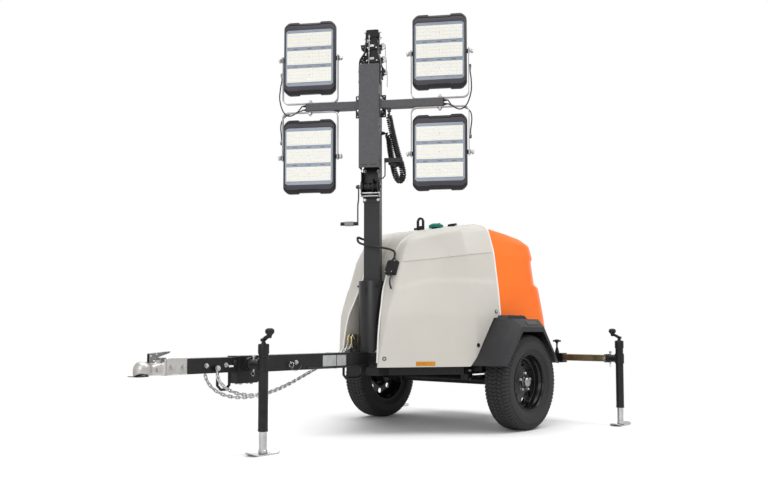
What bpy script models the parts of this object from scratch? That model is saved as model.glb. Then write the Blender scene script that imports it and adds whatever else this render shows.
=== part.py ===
"""Mobile light tower: a single-axle trailer with a moulded canopy, a telescoping
mast that turns in a round post, four LED floodlights, and three screw jacks.

Metres, +Z up. +X is the trailer's left side, -Y is the drawbar end. The origin
is on the floor, at the middle of the whole length and width.
"""
import math

import bmesh
import bpy
from mathutils import Matrix, Vector

# Clearances
GAP = 0.0003
SLIDE_FIT = 0.0005

# Overall reach along Y, measured from the axle
COUPLER_TIP_Y = -2.401
JACK_FOOT_LENGTH = 0.190
JACK_FOOT_WIDTH = 0.080
OUTRIGGER_Y = 0.643
AXLE_Y = -(COUPLER_TIP_Y + OUTRIGGER_Y + JACK_FOOT_LENGTH / 2) / 2

# Wheels
TYRE_RADIUS = 0.305
TYRE_WIDTH = 0.175
WHEEL_X = 0.6105
RIM_RADIUS = 0.185
WHEEL_SIDES = 40
STUB_RADIUS = 0.018
STUB_REACH = 0.020
STUB_SIDES = 20

# Chassis
RAIL_SIZE = 0.050
RAIL_TOP = 0.410
RAIL_X = 0.400
RAIL_FRONT_Y = -0.340
PAN_SHEET = 0.003
AXLE_RADIUS = 0.030
SPRING_WIDTH = 0.045
SPRING_EYE_Y = 0.300
FENDER_TAB_Y = 0.260
FENDER_TAB_TOP = 0.470

# Drawbar
DRAWBAR_OUTER = 0.0889
DRAWBAR_WALL = 0.005
DRAWBAR_Z = 0.459
DRAWBAR_JOINT_Y = -1.830
DRAWBAR_NOSE_Y = -2.235
DRAWBAR_OVERLAP = 0.450
CHAIN_BOLT_Y = -1.966
CHAIN_BOLT_Z = 0.4445
CHAIN_LUG_X = 0.053
CHAIN_LUG_BOTTOM = 0.432
CHAIN_PITCH = 0.034
CHAIN_WIDTH = 0.026
HOOK_ROD = 0.0045
HOOK_Y = -0.855
HOOK_PLATE_TOP = 0.6037

# Mast seat and round post
MAST_Y = -0.745
MAST_YAW = math.radians(33.3)
SEAT_HALF_WIDTH = 0.120
SEAT_HALF_LENGTH = 0.090
SEAT_TOP = 0.503
POST_RADIUS = 0.090
POST_WALL = 0.007
POST_FLOOR = 0.006
POST_SIDES = 40
POST_TOP = 0.946

# Mast sections
MAST_SIZE = 0.100
MAST_WALL = 0.0055
MAST_FIT = 0.0005
MAST_FOOT = SEAT_TOP + POST_FLOOR + GAP
MAST_HEAD = 2.300
HEAD_STEP = 0.085
HEAD_COLLAR = 0.045
COLLAR_SHEET = 0.007

# Winch
WINCH_Z = 1.548
DRUM_DROP = 0.015
CRANK_DROP = 0.246
CLIP_RISE = 0.158

# Lamp head
COVER_WIDTH = 0.126
COVER_DEPTH = 0.103
COVER_TOP = MAST_HEAD - 0.008
COVER_BOTTOM = COVER_TOP - 0.651
COVER_FRONT = 0.165
COVER_SHEET = 0.003
BAR_LENGTH = 0.870
BAR_SIZE = 0.050
BAR_DROP = 0.257
BAR_Z = MAST_HEAD - BAR_DROP
BAR_FORWARD = 0.110
BAR_SHIFT = 0.026
CORD_GLAND_DROP = 0.143
LAMP_X = BAR_LENGTH / 2 - 0.024
LAMP_RISE = 0.315
LAMP_WIDTH = 0.336
LAMP_HEIGHT = 0.470
LAMP_DEPTH = 0.075
YOKE_BAR = 0.006
YOKE_WIDTH = 0.030
YOKE_BEND = 0.035
YOKE_SIDE_GAP = 0.010
LEAD_RADIUS = 0.004
LEAD_SADDLE = 0.100
LEAD_SADDLE_REACH = 0.012
BAR_GLAND = 0.010
CORD_GLAND = 0.020
CURLY_RADIUS = 0.0235
CORD_X = 0.120
LEAD_UPPER = (-0.010, 0.010)
LEAD_LOWER = (0.010, -0.008)
CABLE_RADIUS = 0.0065

# Canopy
CANOPY_WALL = 0.006
SEAM_Y = -0.100
SEAM_GAP = 0.006
SEAM_CREST = 1.350
HINGE_X = 0.150
HINGE_Z = SEAM_CREST + 0.008
HINGE_RADIUS = 0.009
HINGE_WIDTH = 0.050
HINGE_LEAF = 0.030
HINGE_FOOT = SEAM_CREST - 0.034
KNUCKLE_WIDTH = 0.018
EYE_Y = -0.270
EYE_WIDTH = 0.060
EYE_SHEET = 0.012
EYE_RISE = 0.0867
EYE_CLEARANCE = 0.006
EYE_TAIL = 0.011
EYE_STEP = 0.001
CAP_X = 0.150
CAP_Y = -0.290
CAP_RISE = 0.0073
CAP_NECK = 0.026
BOX_SLOPE = math.radians(21.5)
BOX_CENTRE = (0.148, -0.7334, 1.0269)
BOX_SIZE = (0.075, 0.040, 0.095)

# Fenders
FENDER_SHEET = 0.003
FENDER_INNER_X = 0.502
FENDER_CREASE_X = 0.665
FENDER_OUTER_X = 0.720
FENDER_BASE = 0.420
FENDER_TOP = 0.710

# Jacks and outriggers
JACK_RADIUS = 0.0255
JACK_WALL = 0.0045
JACK_LEG_RADIUS = JACK_RADIUS - JACK_WALL - SLIDE_FIT
JACK_HEAD = 0.012
JACK_TRAVEL = 0.090
JACK_END_CLEARANCE = 0.006
SWIVEL_RADIUS = 0.0295
JACK_BOTTOM = 0.118
JACK_TOP = 0.550
TONGUE_JACK_X = 0.175
TONGUE_JACK_Y = -1.765
OUTRIGGER_X = 0.985
OUTRIGGER_Z = 0.447
BEAM_SIZE = 0.045
BEAM_INNER_X = 0.325
HOUSING_HALF_LENGTH = 0.572
HOUSING_SIZE = 0.066

PALETTE = {
    "black_paint": ((0.018, 0.018, 0.019), 0.35, 0.0),
    "charcoal": ((0.055, 0.055, 0.058), 0.6, 0.0),
    "beige": ((0.70, 0.67, 0.60), 0.4, 0.0),
    "orange": ((0.90, 0.20, 0.02), 0.35, 0.0),
    "zinc": ((0.62, 0.63, 0.64), 0.35, 1.0),
    "yellow_zinc": ((0.45, 0.40, 0.24), 0.45, 1.0),
    "rubber": ((0.02, 0.02, 0.02), 0.85, 0.0),
    "lens": ((0.85, 0.87, 0.85), 0.1, 0.0),
    "green": ((0.0, 0.22, 0.13), 0.5, 0.0),
    "engine": ((0.10, 0.11, 0.12), 0.6, 0.0),
}

# Roof line of the canopy on the centre plane, front to rear, as (y, z)
CREST = ((-0.410, 1.294), (-0.390, 1.298), (-0.350, 1.304), (-0.310, 1.311), (-0.250, 1.322),
         (-0.180, 1.335), (SEAM_Y, SEAM_CREST))

X_AXIS = Matrix.Rotation(math.pi / 2, 4, "Y")
Y_AXIS = Matrix.Rotation(-math.pi / 2, 4, "X")
Z_AXIS = Matrix.Identity(4)
FRONT_PLANE = Matrix.Rotation(math.pi / 2, 4, "X")
SIDE_PLANE = Matrix(((0, 0, 1, 0), (1, 0, 0, 0), (0, 1, 0, 0), (0, 0, 0, 1)))


def clear_scene():
    """Remove every object of the open file."""
    for old in list(bpy.data.objects):
        bpy.data.objects.remove(old, do_unlink=True)


def make_collection(name):
    """Make a collection in the scene."""
    made = bpy.data.collections.new(name)
    bpy.context.scene.collection.children.link(made)
    return made


clear_scene()
PARTS = make_collection("mobile_light_tower")


def material(name):
    """Return the named paint as a Principled material, made on first use."""
    found = bpy.data.materials.get(name)
    if found:
        return found
    colour, roughness, metallic = PALETTE[name]
    made = bpy.data.materials.new(name)
    made.use_nodes = True
    shader = made.node_tree.nodes["Principled BSDF"]
    shader.inputs["Base Color"].default_value = (*colour, 1.0)
    shader.inputs["Roughness"].default_value = roughness
    shader.inputs["Metallic"].default_value = metallic
    made.diffuse_color = (*colour, 1.0)
    return made


def empty(name, location, parent=None, yaw=0.0):
    """Make an empty that carries a group of parts."""
    made = bpy.data.objects.new(name, None)
    made.location = location
    made.rotation_euler = (0.0, 0.0, yaw)
    made.parent = parent
    PARTS.objects.link(made)
    return made


AXLE = empty("axle_datum", (0.0, AXLE_Y, 0.0))
MAST = empty("mast_turn_axis", (0.0, MAST_Y, 0.0), AXLE, MAST_YAW)


def mesh_object(bm, location=(0, 0, 0), parent=None, name="piece"):
    """Turn a bmesh into an object under its parent."""
    mesh = bpy.data.meshes.new(name)
    bm.normal_update()
    bm.to_mesh(mesh)
    bm.free()
    made = bpy.data.objects.new(name, mesh)
    made.location = location
    made.parent = parent or AXLE
    PARTS.objects.link(made)
    return made


def box(size, centre, parent=None, turn=None, bevel=0.0):
    """A box of the given size, turned about its own centre."""
    bm = bmesh.new()
    bmesh.ops.create_cube(bm, size=1.0)
    bmesh.ops.scale(bm, vec=Vector(size), verts=bm.verts)
    if bevel > 0:
        bmesh.ops.bevel(bm, geom=bm.edges[:], offset=bevel, segments=1, affect="EDGES")
    if turn is not None:
        bmesh.ops.transform(bm, matrix=turn, verts=bm.verts)
    return mesh_object(bm, centre, parent)


def rod(radius, length, centre, axis=Z_AXIS, parent=None, sides=20, top_radius=None):
    """A round bar or cone, centred, along the given axis."""
    bm = bmesh.new()
    end = radius if top_radius is None else top_radius
    bmesh.ops.create_cone(
        bm, cap_ends=True, segments=sides, radius1=radius, radius2=end, depth=length)
    bmesh.ops.transform(bm, matrix=axis, verts=bm.verts)
    return mesh_object(bm, centre, parent)


def ball(radius, centre, parent=None, sides=16):
    """A sphere."""
    bm = bmesh.new()
    bmesh.ops.create_uvsphere(bm, u_segments=sides, v_segments=sides // 2, radius=radius)
    return mesh_object(bm, centre, parent)


def plate(outline, thickness, centre, normal=Z_AXIS, parent=None):
    """A flat outline, given as points in its plane, with a thickness."""
    curve = bpy.data.curves.new("outline", "CURVE")
    curve.dimensions = "2D"
    curve.fill_mode = "BOTH"
    curve.extrude = thickness / 2
    spline = curve.splines.new("POLY")
    spline.points.add(len(outline) - 1)
    for point, (across, up) in zip(spline.points, outline):
        point.co = (across, up, 0.0, 1.0)
    spline.use_cyclic_u = True
    made = bpy.data.objects.new("outline", curve)
    PARTS.objects.link(made)
    solid = as_mesh(made, parent)
    solid.data.transform(normal)
    solid.location = centre
    return solid


def wire(points, radius, parent=None, resolution=2, closed=False, radii=None):
    """A round rod or cord along the given points, with a radius at each point if given."""
    curve = bpy.data.curves.new("wire", "CURVE")
    curve.dimensions = "3D"
    curve.bevel_depth = radius
    curve.bevel_resolution = resolution
    curve.use_fill_caps = not closed
    spline = curve.splines.new("POLY")
    spline.points.add(len(points) - 1)
    for index, (point, place) in enumerate(zip(spline.points, points)):
        point.co = (*place, 1.0)
        point.radius = radii[index] if radii else 1.0
    spline.use_cyclic_u = closed
    made = bpy.data.objects.new("wire", curve)
    PARTS.objects.link(made)
    return as_mesh(made, parent)


def as_mesh(curve_object, parent):
    """Swap a curve object for a welded mesh of the same shape."""
    bpy.context.view_layer.update()
    graph = bpy.context.evaluated_depsgraph_get()
    mesh = bpy.data.meshes.new_from_object(curve_object.evaluated_get(graph))
    bm = bmesh.new()
    bm.from_mesh(mesh)
    bmesh.ops.remove_doubles(bm, verts=bm.verts, dist=0.00001)
    bmesh.ops.recalc_face_normals(bm, faces=bm.faces)
    bm.to_mesh(mesh)
    bm.free()
    made = bpy.data.objects.new("piece", mesh)
    made.parent = parent or AXLE
    PARTS.objects.link(made)
    bpy.data.objects.remove(curve_object, do_unlink=True)
    return made


def turned(profile, centre, axis=Z_AXIS, parent=None, sides=32):
    """A turned shape: the profile's (radius, height) points run down its outer side."""
    bm = bmesh.new()
    points = [bm.verts.new((radius, 0.0, height)) for radius, height in profile]
    for first, second in zip(points, points[1:] + points[:1]):
        if first.co.x > 0 or second.co.x > 0:
            bm.edges.new((first, second))
    made = mesh_object(bm, (0, 0, 0), parent)
    screw = made.modifiers.new("turn", "SCREW")
    screw.steps = sides
    screw.render_steps = sides
    screw.use_merge_vertices = True
    screw.merge_threshold = 0.00001
    apply_modifiers(made)
    made.data.transform(axis)
    made.location = centre
    return made


def apply_modifiers(target):
    """Make the evaluated shape the object's own mesh."""
    bpy.context.view_layer.update()
    graph = bpy.context.evaluated_depsgraph_get()
    mesh = bpy.data.meshes.new_from_object(target.evaluated_get(graph))
    target.modifiers.clear()
    target.data = mesh


def combine(target, others, operation):
    """Join to or cut from the target, and remove the other pieces."""
    for other in others:
        step = target.modifiers.new(operation.lower(), "BOOLEAN")
        step.operation = operation
        step.solver = "EXACT"
        step.object = other
    apply_modifiers(target)
    for other in others:
        bpy.data.objects.remove(other, do_unlink=True)
    return target


def fuse(*pieces):
    """Weld pieces that overlap into the first one."""
    return combine(pieces[0], pieces[1:], "UNION")


def cut(target, *cutters):
    """Cut pieces away from the target."""
    return combine(target, cutters, "DIFFERENCE")


def named(target, name, paint):
    """Give a finished piece its name and paint, shaded smooth between sharp edges."""
    target.name = name
    target.data.name = name
    target.data.materials.clear()
    target.data.materials.append(material(paint))
    target.data.shade_smooth()
    target.data.set_sharp_from_angle(angle=math.radians(35))
    return target


def square_tube(outer, wall, start, end, axis, parent=None, centre=(0, 0)):
    """A square tube, open at both ends, from start to end along Y or Z."""
    middle = (start + end) / 2
    length = end - start
    inner = outer - 2 * wall
    if axis == "Y":
        place = (centre[0], middle, centre[1])
        return cut(box((outer, length, outer), place, parent),
                   box((inner, length + 1.0, inner), place, parent))
    place = (centre[0], centre[1], middle)
    return cut(box((outer, outer, length), place, parent),
               box((inner, inner, length + 1.0), place, parent))


def shell(rows, thickness, mirror=True, closed=False):
    """A sheet through rows of points, thickened inwards and mirrored across X."""
    bm = bmesh.new()
    grid = [[bm.verts.new(point) for point in row] for row in rows]
    for low, high in zip(grid, grid[1:]):
        for column in range(len(low) - 1):
            bm.faces.new((low[column], low[column + 1], high[column + 1], high[column]))
    if closed:
        bm.faces.new(grid[0])
    bmesh.ops.recalc_face_normals(bm, faces=bm.faces)
    made = mesh_object(bm)
    if mirror:
        half = made.modifiers.new("mirror", "MIRROR")
        half.merge_threshold = 0.0001
        half.use_clip = True
    skin = made.modifiers.new("skin", "SOLIDIFY")
    skin.thickness = thickness
    skin.offset = -1.0
    skin.use_even_offset = True
    apply_modifiers(made)
    return made


def smooth_route(controls, spacing):
    """Evenly spaced points on a smooth curve, with its first and last steps kept straight."""
    marks = [Vector(control) for control in controls]
    fine = []
    for before, start, end, after in zip(marks, marks[1:], marks[2:], marks[3:]):
        for step in range(16):
            share = step / 16
            blend = 2 * start + (end - before) * share
            blend += (2 * before - 5 * start + 4 * end - after) * share ** 2
            blend += (3 * start - before - 3 * end + after) * share ** 3
            fine.append(blend / 2)
    fine.append(marks[-2])
    return [marks[0]] + evenly(fine, spacing) + [marks[-1]]


def evenly(points, spacing):
    """Points at an even spacing along a route, from its first point to its last."""
    lengths = [(b - a).length for a, b in zip(points, points[1:])]
    count = max(round(sum(lengths) / spacing), 2)
    step = sum(lengths) / count
    walked = [points[0]]
    passed = 0.0
    for first, second, length in zip(points, points[1:], lengths):
        while len(walked) < count and passed + length >= len(walked) * step:
            walked.append(first.lerp(second, (len(walked) * step - passed) / length))
        passed += length
    walked.append(points[-1])
    return walked


def seat_on(piece, support, outward):
    """Trim a piece to the surface that carries it, a gap clear of it."""
    form = bpy.data.objects.new("form", support.data.copy())
    form.parent = support.parent
    form.location = support.location + Vector(outward) * GAP * 2
    PARTS.objects.link(form)
    return cut(piece, form)


def cord(name, controls, radius, parent=None):
    """A cord of even thickness along a smooth route."""
    points = smooth_route(controls, radius * 5)
    return named(wire(points, radius, parent), name, "rubber")


# Wheels

def build_wheel(side, sign):
    """Tyre with a blocky tread and a steel disc wheel with round hand holes."""
    hub = empty("wheel_axis_" + side, (sign * WHEEL_X, 0.0, TYRE_RADIUS), AXLE)
    half = TYRE_WIDTH / 2
    shoulder = TYRE_RADIUS - 0.012
    profile = [
        (shoulder, half * 0.86), (TYRE_RADIUS, half * 0.70), (TYRE_RADIUS, -half * 0.70),
        (shoulder, -half * 0.86), (TYRE_RADIUS - 0.060, -half), (RIM_RADIUS + 0.010, -half * 0.80),
        (RIM_RADIUS - 0.012, -half * 0.74), (RIM_RADIUS - 0.012, half * 0.74),
        (RIM_RADIUS + 0.010, half * 0.80), (TYRE_RADIUS - 0.060, half)]
    tyre = turned(profile, (0, 0, 0), X_AXIS, hub, WHEEL_SIDES)
    named(tyre, "tyre_" + side, "rubber")
    rim = wheel_disc(hub, sign)
    named(rim, "wheel_" + side, "black_paint")
    return hub


def wheel_disc(hub, sign):
    """The rim, its disc with hand holes, and the hub cap."""
    seat = RIM_RADIUS - 0.012 - GAP
    half = TYRE_WIDTH / 2 * 0.74
    profile = [
        (seat, half), (seat, -half), (seat - 0.004, -half), (seat - 0.012, -0.008),
        (0.045, -0.002), (0.045, 0.022), (0.075, 0.014), (seat - 0.022, 0.006),
        (seat - 0.010, half)]
    disc = turned(profile, (0, 0, 0), X_AXIS, hub, WHEEL_SIDES)
    holes = []
    for index in range(8):
        angle = index * math.pi / 4
        spot = (0.0, 0.118 * math.cos(angle), 0.118 * math.sin(angle))
        holes.append(rod(0.017, 0.12, spot, X_AXIS, hub, 10))
    cut(disc, *holes)
    inboard = -0.060
    cap = turned([(0.0, 0.062), (0.022, 0.060), (0.031, 0.050), (0.033, 0.024), (0.052, 0.018),
                  (0.052, -0.008), (0.042, -0.012), (0.042, inboard), (0.0, inboard)],
                 (0, 0, 0), X_AXIS, hub, 20)
    end = STUB_REACH + SLIDE_FIT
    length = end - inboard + 0.010
    bore = (STUB_RADIUS + SLIDE_FIT) / math.cos(math.pi / STUB_SIDES)
    cut(cap, rod(bore, length, (end - length / 2, 0, 0), X_AXIS, hub, STUB_SIDES))
    fuse(disc, cap)
    if sign < 0:
        disc.data.transform(Matrix.Rotation(math.pi, 4, "Z"))
    return disc


# Chassis

def build_chassis():
    """Rails, crossmembers and the front plate, welded into one frame."""
    level = RAIL_TOP - RAIL_SIZE / 2
    rear = OUTRIGGER_Y + HOUSING_SIZE / 2
    pieces = []
    for sign in (1, -1):
        length = rear - RAIL_FRONT_Y
        pieces.append(box((RAIL_SIZE, length, RAIL_SIZE),
                          (sign * RAIL_X, (rear + RAIL_FRONT_Y) / 2, level)))
        pieces.append(diagonal_rail(sign, level))
    for place in (RAIL_FRONT_Y, 0.380):
        pieces.append(box((2 * RAIL_X, RAIL_SIZE * 0.98, RAIL_SIZE * 0.96), (0, place, level)))
    for sign in (1, -1):
        for place in (FENDER_TAB_Y, -FENDER_TAB_Y):
            pieces.append(fender_tab(sign, place))
    pieces.append(box((2 * RAIL_X, RAIL_SIZE * 0.98, RAIL_SIZE * 0.96),
                      (0, rear - RAIL_SIZE / 2, level)))
    pieces.append(box((0.26, 0.24, RAIL_SIZE), (0, MAST_Y + 0.030, level)))
    frame = pieces.pop(0)
    fuse(frame, *pieces)
    named(frame, "chassis_rails", "black_paint")


def fender_tab(sign, place):
    """A bracket from the side rail out to the fender's inner wall."""
    sheet = 0.006
    width = 0.040
    depth = 0.030
    reach = FENDER_INNER_X - GAP
    inner = reach - 0.001
    arm = box((inner - RAIL_X, width, depth),
              (sign * (inner + RAIL_X) / 2, place, RAIL_TOP - 0.001 - depth / 2))
    low = RAIL_TOP - depth
    upright = box((sheet, width * 0.999, FENDER_TAB_TOP - low),
                  (sign * (reach - sheet / 2), place, (FENDER_TAB_TOP + low) / 2))
    return fuse(arm, upright)


def diagonal_rail(sign, level):
    """A rail from the front plate out to the side rail."""
    start = Vector((sign * 0.11, MAST_Y + 0.02, level))
    end = Vector((sign * RAIL_X, RAIL_FRONT_Y, level))
    run = end - start
    turn = Matrix.Rotation(math.atan2(-run.x, run.y), 4, "Z")
    return box((RAIL_SIZE, run.length, RAIL_SIZE * 0.999), (start + end) / 2, None, turn)


def build_pan():
    """The floor sheet that closes the canopy from below."""
    back = OUTRIGGER_Y - HOUSING_SIZE / 2 - 0.012
    seat = SEAT_HALF_WIDTH + 0.005
    notch = MAST_Y + SEAT_HALF_LENGTH + 0.005
    half = [(seat, notch), (seat, MAST_Y - 0.085), (0.155, MAST_Y - 0.120), (0.490, -0.385),
            (0.490, back)]
    outline = half + [(-x, y) for x, y in reversed(half)]
    pan = plate(outline, PAN_SHEET, (0, 0, RAIL_TOP + GAP + PAN_SHEET / 2))
    named(pan, "floor_pan", "black_paint")


def build_axle():
    """Round axle beam with stub ends, under two leaf springs."""
    reach = WHEEL_X + STUB_REACH
    beam = rod(AXLE_RADIUS, 2 * (WHEEL_X - TYRE_WIDTH / 2 - 0.006), (0, 0, TYRE_RADIUS), X_AXIS)
    stub = rod(STUB_RADIUS, 2 * reach, (0, 0, TYRE_RADIUS), X_AXIS, None, STUB_SIDES)
    fuse(beam, stub)
    named(beam, "axle_beam", "black_paint")
    for side, sign in (("left", 1), ("right", -1)):
        named(leaf_spring(sign), "leaf_spring_" + side, "black_paint")


def leaf_spring(sign):
    """A stacked spring with its two hangers, clamped round the axle."""
    top = TYRE_RADIUS + AXLE_RADIUS + GAP
    under_rail = RAIL_TOP - RAIL_SIZE - GAP
    place = sign * RAIL_X
    main = box((SPRING_WIDTH, 2 * SPRING_EYE_Y, 0.007), (place, 0, top + 0.0085))
    second = box((SPRING_WIDTH, 0.36, 0.010), (place, 0, top + 0.005))
    hangers = []
    for end in (SPRING_EYE_Y, -SPRING_EYE_Y):
        height = under_rail - top + 0.010
        hangers.append(box((SPRING_WIDTH + 0.012, 0.050, height),
                           (place, end, under_rail - height / 2)))
    clamp = box((SPRING_WIDTH + 0.016, 0.090, 0.008), (place, 0, top + 0.014))
    return fuse(main, second, clamp, *hangers)


def build_outrigger_housing():
    """The square tube across the rear that the outrigger beams slide in."""
    bottom = RAIL_TOP + GAP
    level = bottom + HOUSING_SIZE / 2
    bore = BEAM_SIZE + 2 * SLIDE_FIT
    tube = box((2 * HOUSING_HALF_LENGTH, HOUSING_SIZE, HOUSING_SIZE), (0, OUTRIGGER_Y, level))
    cut(tube, box((3.0, bore, bore), (0, OUTRIGGER_Y, OUTRIGGER_Z)))
    pins = []
    for sign in (1, -1):
        place = sign * (HOUSING_HALF_LENGTH - 0.060)
        top = level + HOUSING_SIZE / 2
        pins.append(rod(0.012, 0.030, (place, OUTRIGGER_Y, top + 0.010), Z_AXIS, None, 12))
        pins.append(rod(0.006, 0.074, (place, OUTRIGGER_Y, top + 0.045), Z_AXIS, None, 10))
        pins.append(rod(0.0065, 0.060, (place, OUTRIGGER_Y, top + 0.085), X_AXIS, None, 8))
    fuse(tube, *pins)
    named(tube, "outrigger_housing", "black_paint")


# Drawbar and coupler

def build_drawbar():
    """Rear and front drawbar tubes, one sliding in the other, with what is welded on them."""
    rear_end = MAST_Y - SEAT_HALF_LENGTH - GAP
    rear = square_tube(DRAWBAR_OUTER, DRAWBAR_WALL, DRAWBAR_JOINT_Y, rear_end, "Y", None,
                       (0, DRAWBAR_Z))
    fuse(rear, guard_loop(DRAWBAR_OUTER, -1.005, -0.848, 0.347), *jack_bracket())
    named(rear, "drawbar_rear_tube", "black_paint")
    front_size = DRAWBAR_OUTER - 2 * DRAWBAR_WALL - 2 * SLIDE_FIT
    front = square_tube(front_size, DRAWBAR_WALL, DRAWBAR_NOSE_Y,
                        DRAWBAR_JOINT_Y + DRAWBAR_OVERLAP, "Y", None, (0, DRAWBAR_Z))
    fuse(front, *chain_lugs())
    fuse(front, guard_loop(front_size, -1.925, -1.850, 0.330))
    named(front, "drawbar_front_tube", "black_paint")
    build_coupler(front_size)


def guard_loop(tube_size, front_y, rear_y, low_z):
    """A bent round bar under a drawbar tube."""
    bend = 0.022
    root = DRAWBAR_Z - tube_size / 2 + DRAWBAR_WALL * 0.6
    return wire([(0, front_y, root), (0, front_y, low_z + bend), (0, front_y + bend, low_z),
                 (0, rear_y - bend, low_z), (0, rear_y, low_z + bend), (0, rear_y, root)], 0.0078)


def jack_bracket():
    """The box under the drawbar and the swivel stub beside it that carry the tongue jack."""
    under = DRAWBAR_Z - DRAWBAR_OUTER / 2
    chamfer = 0.022
    front = TONGUE_JACK_Y - 0.055
    rear = TONGUE_JACK_Y + 0.100
    low = under - 0.056
    outline = [(front, under + 0.002), (front, low), (rear - chamfer, low), (rear, low + chamfer),
               (rear, under + 0.002)]
    side_face = DRAWBAR_OUTER / 2
    length = tongue_swivel_start() - GAP - side_face
    stub = rod(0.036, length + 0.002, (side_face + (length - 0.002) / 2, TONGUE_JACK_Y, DRAWBAR_Z),
               X_AXIS)
    return plate(outline, 0.060, (0, 0, 0), SIDE_PLANE), stub


def tongue_swivel_start():
    """How far from the centre plane the tongue jack's own swivel begins."""
    return DRAWBAR_OUTER / 2 + 0.030


def chain_lugs():
    """The cross bolt with a lug on each side that the chains hang from."""
    height = 0.022
    pieces = [rod(0.0066, 2 * CHAIN_LUG_X + 0.030, (0, CHAIN_BOLT_Y, CHAIN_BOLT_Z), X_AXIS, None, 10)]
    for sign in (1, -1):
        pieces.append(box((0.014, 0.020, height),
                          (sign * CHAIN_LUG_X, CHAIN_BOLT_Y, CHAIN_LUG_BOTTOM + height / 2)))
    return pieces


def build_coupler(front_size):
    """Ball coupler: a channel over the drawbar's nose, a neck and a round socket."""
    sheet = 0.005
    rear_y = DRAWBAR_NOSE_Y + 0.095
    nose_y = COUPLER_TIP_Y + 0.042
    width = front_size + 2 * GAP + 2 * sheet
    height = front_size + sheet + GAP
    low = DRAWBAR_Z - front_size / 2
    channel = box((width, rear_y - DRAWBAR_NOSE_Y + 0.020, height),
                  (0, (rear_y + DRAWBAR_NOSE_Y - 0.020) / 2, low + height / 2))
    cut(channel, box((front_size + 2 * GAP, 0.20, front_size + GAP + 0.1),
                     (0, DRAWBAR_NOSE_Y + 0.1 - GAP, DRAWBAR_Z - 0.05 + GAP / 2)))
    neck_end = DRAWBAR_NOSE_Y - 0.008
    neck = box((0.056, neck_end - nose_y, 0.050), (0, (neck_end + nose_y) / 2, low + 0.034))
    socket = turned([(0.0, 0.070), (0.024, 0.064), (0.039, 0.046), (0.042, 0.0), (0.0, 0.0)],
                    (0, nose_y, low), Z_AXIS, None, 24)
    body = fuse(channel, neck, socket)
    cut(body, ball(0.027, (0, nose_y, low + 0.018)))
    cut(body, rod(0.026, 0.04, (0, nose_y, low - 0.005), Z_AXIS, None, 20))
    named(body, "ball_coupler", "zinc")
    neck_top = low + 0.059
    lever = plate([(0.0, 0.0), (0.030, 0.0), (0.034, 0.018), (0.062, 0.014), (0.065, 0.022),
                   (0.040, 0.030), (0.113, 0.048), (0.115, 0.056), (0.060, 0.052), (0.0, 0.047)],
                  0.022, (0, nose_y + 0.032, neck_top + GAP), SIDE_PLANE)
    named(lever, "coupler_lever", "zinc")


def sag_route(start, end, low_z, count):
    """Points on a hanging curve, lowest nearer its start, with upright first and last steps."""
    start = Vector(start)
    end = Vector(end)
    lead = Vector((0.0, 0.0, 0.014))
    upper = start - lead
    lower = end - lead
    drop = (upper.z + lower.z) / 2 - low_z
    points = [start]
    for index in range(count):
        share = index / (count - 1)
        place = upper.lerp(lower, share)
        across = min(max((share - 0.15) / 0.6, 0.0), 1.0)
        place.x = upper.x + (lower.x - upper.x) * across * across * (3 - 2 * across)
        swept = share ** 0.62
        place.z -= 4 * drop * swept * (1 - swept)
        points.append(place)
    points.append(end)
    return points


def build_chain(name, side_x, hook_x, low_z):
    """A safety chain, as a bar that swells at every link, with the hook on its end."""
    start = (side_x, CHAIN_BOLT_Y, CHAIN_LUG_BOTTOM - GAP)
    end = (hook_x, HOOK_Y, 0.548)
    stations = evenly(sag_route(start, end, low_z, 200), CHAIN_PITCH / 2)
    radii = [CHAIN_WIDTH / 2 if index % 2 else CHAIN_WIDTH / 4 for index in range(len(stations))]
    radii[-1] = CHAIN_WIDTH / 4
    chain = wire(stations, 1.0, None, 0, False, radii)
    fuse(chain, chain_hook(hook_x, end[2]))
    named(chain, name, "zinc")


def chain_hook(place_x, start_z):
    """A bent hook that hangs over the top edge of the hook plate."""
    over = HOOK_PLATE_TOP + GAP + HOOK_ROD
    middle = hook_plate_y()
    half = middle - HOOK_Y
    return wire([(place_x, HOOK_Y, start_z - 0.004), (place_x, HOOK_Y, over - 0.018),
                 (place_x, HOOK_Y + half * 0.3, over - 0.004), (place_x, middle - 0.012, over),
                 (place_x, middle + 0.012, over), (place_x, middle + half * 0.7, over - 0.004),
                 (place_x, middle + half, over - 0.018), (place_x, middle + half, over - 0.036)],
                HOOK_ROD)


def hook_plate_y():
    """The middle plane of the hook plate, just behind the mast seat's front face."""
    return MAST_Y - SEAT_HALF_LENGTH + 0.009


# Mast

def build_mast_seat():
    """The box that carries the round post, with the chain hook plate on its top."""
    height = SEAT_TOP - RAIL_TOP - GAP
    seat = box((2 * SEAT_HALF_WIDTH, 2 * SEAT_HALF_LENGTH, height),
               (0, MAST_Y, RAIL_TOP + GAP + height / 2), None, None, 0.003)
    bore = POST_RADIUS - POST_WALL
    root = SEAT_TOP - 0.004
    floor = SEAT_TOP + POST_FLOOR
    post = turned([(POST_RADIUS, POST_TOP), (POST_RADIUS, root), (0.0, root), (0.0, floor),
                   (bore, floor), (bore, POST_TOP)], (0, MAST_Y, 0), Z_AXIS, None, POST_SIDES)
    low = SEAT_TOP - 0.002
    hook_plate = box((0.056, 0.006, HOOK_PLATE_TOP - low),
                     (-0.092, hook_plate_y(), (HOOK_PLATE_TOP + low) / 2))
    fuse(seat, post, hook_plate)
    aim = math.radians(15)
    spot = (math.sin(aim) * POST_RADIUS, MAST_Y - math.cos(aim) * POST_RADIUS, POST_TOP - 0.075)
    cut(seat, box((0.014, 0.040, 0.070), spot, None, Matrix.Rotation(aim, 4, "Z")))
    named(seat, "mast_seat", "black_paint")


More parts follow.
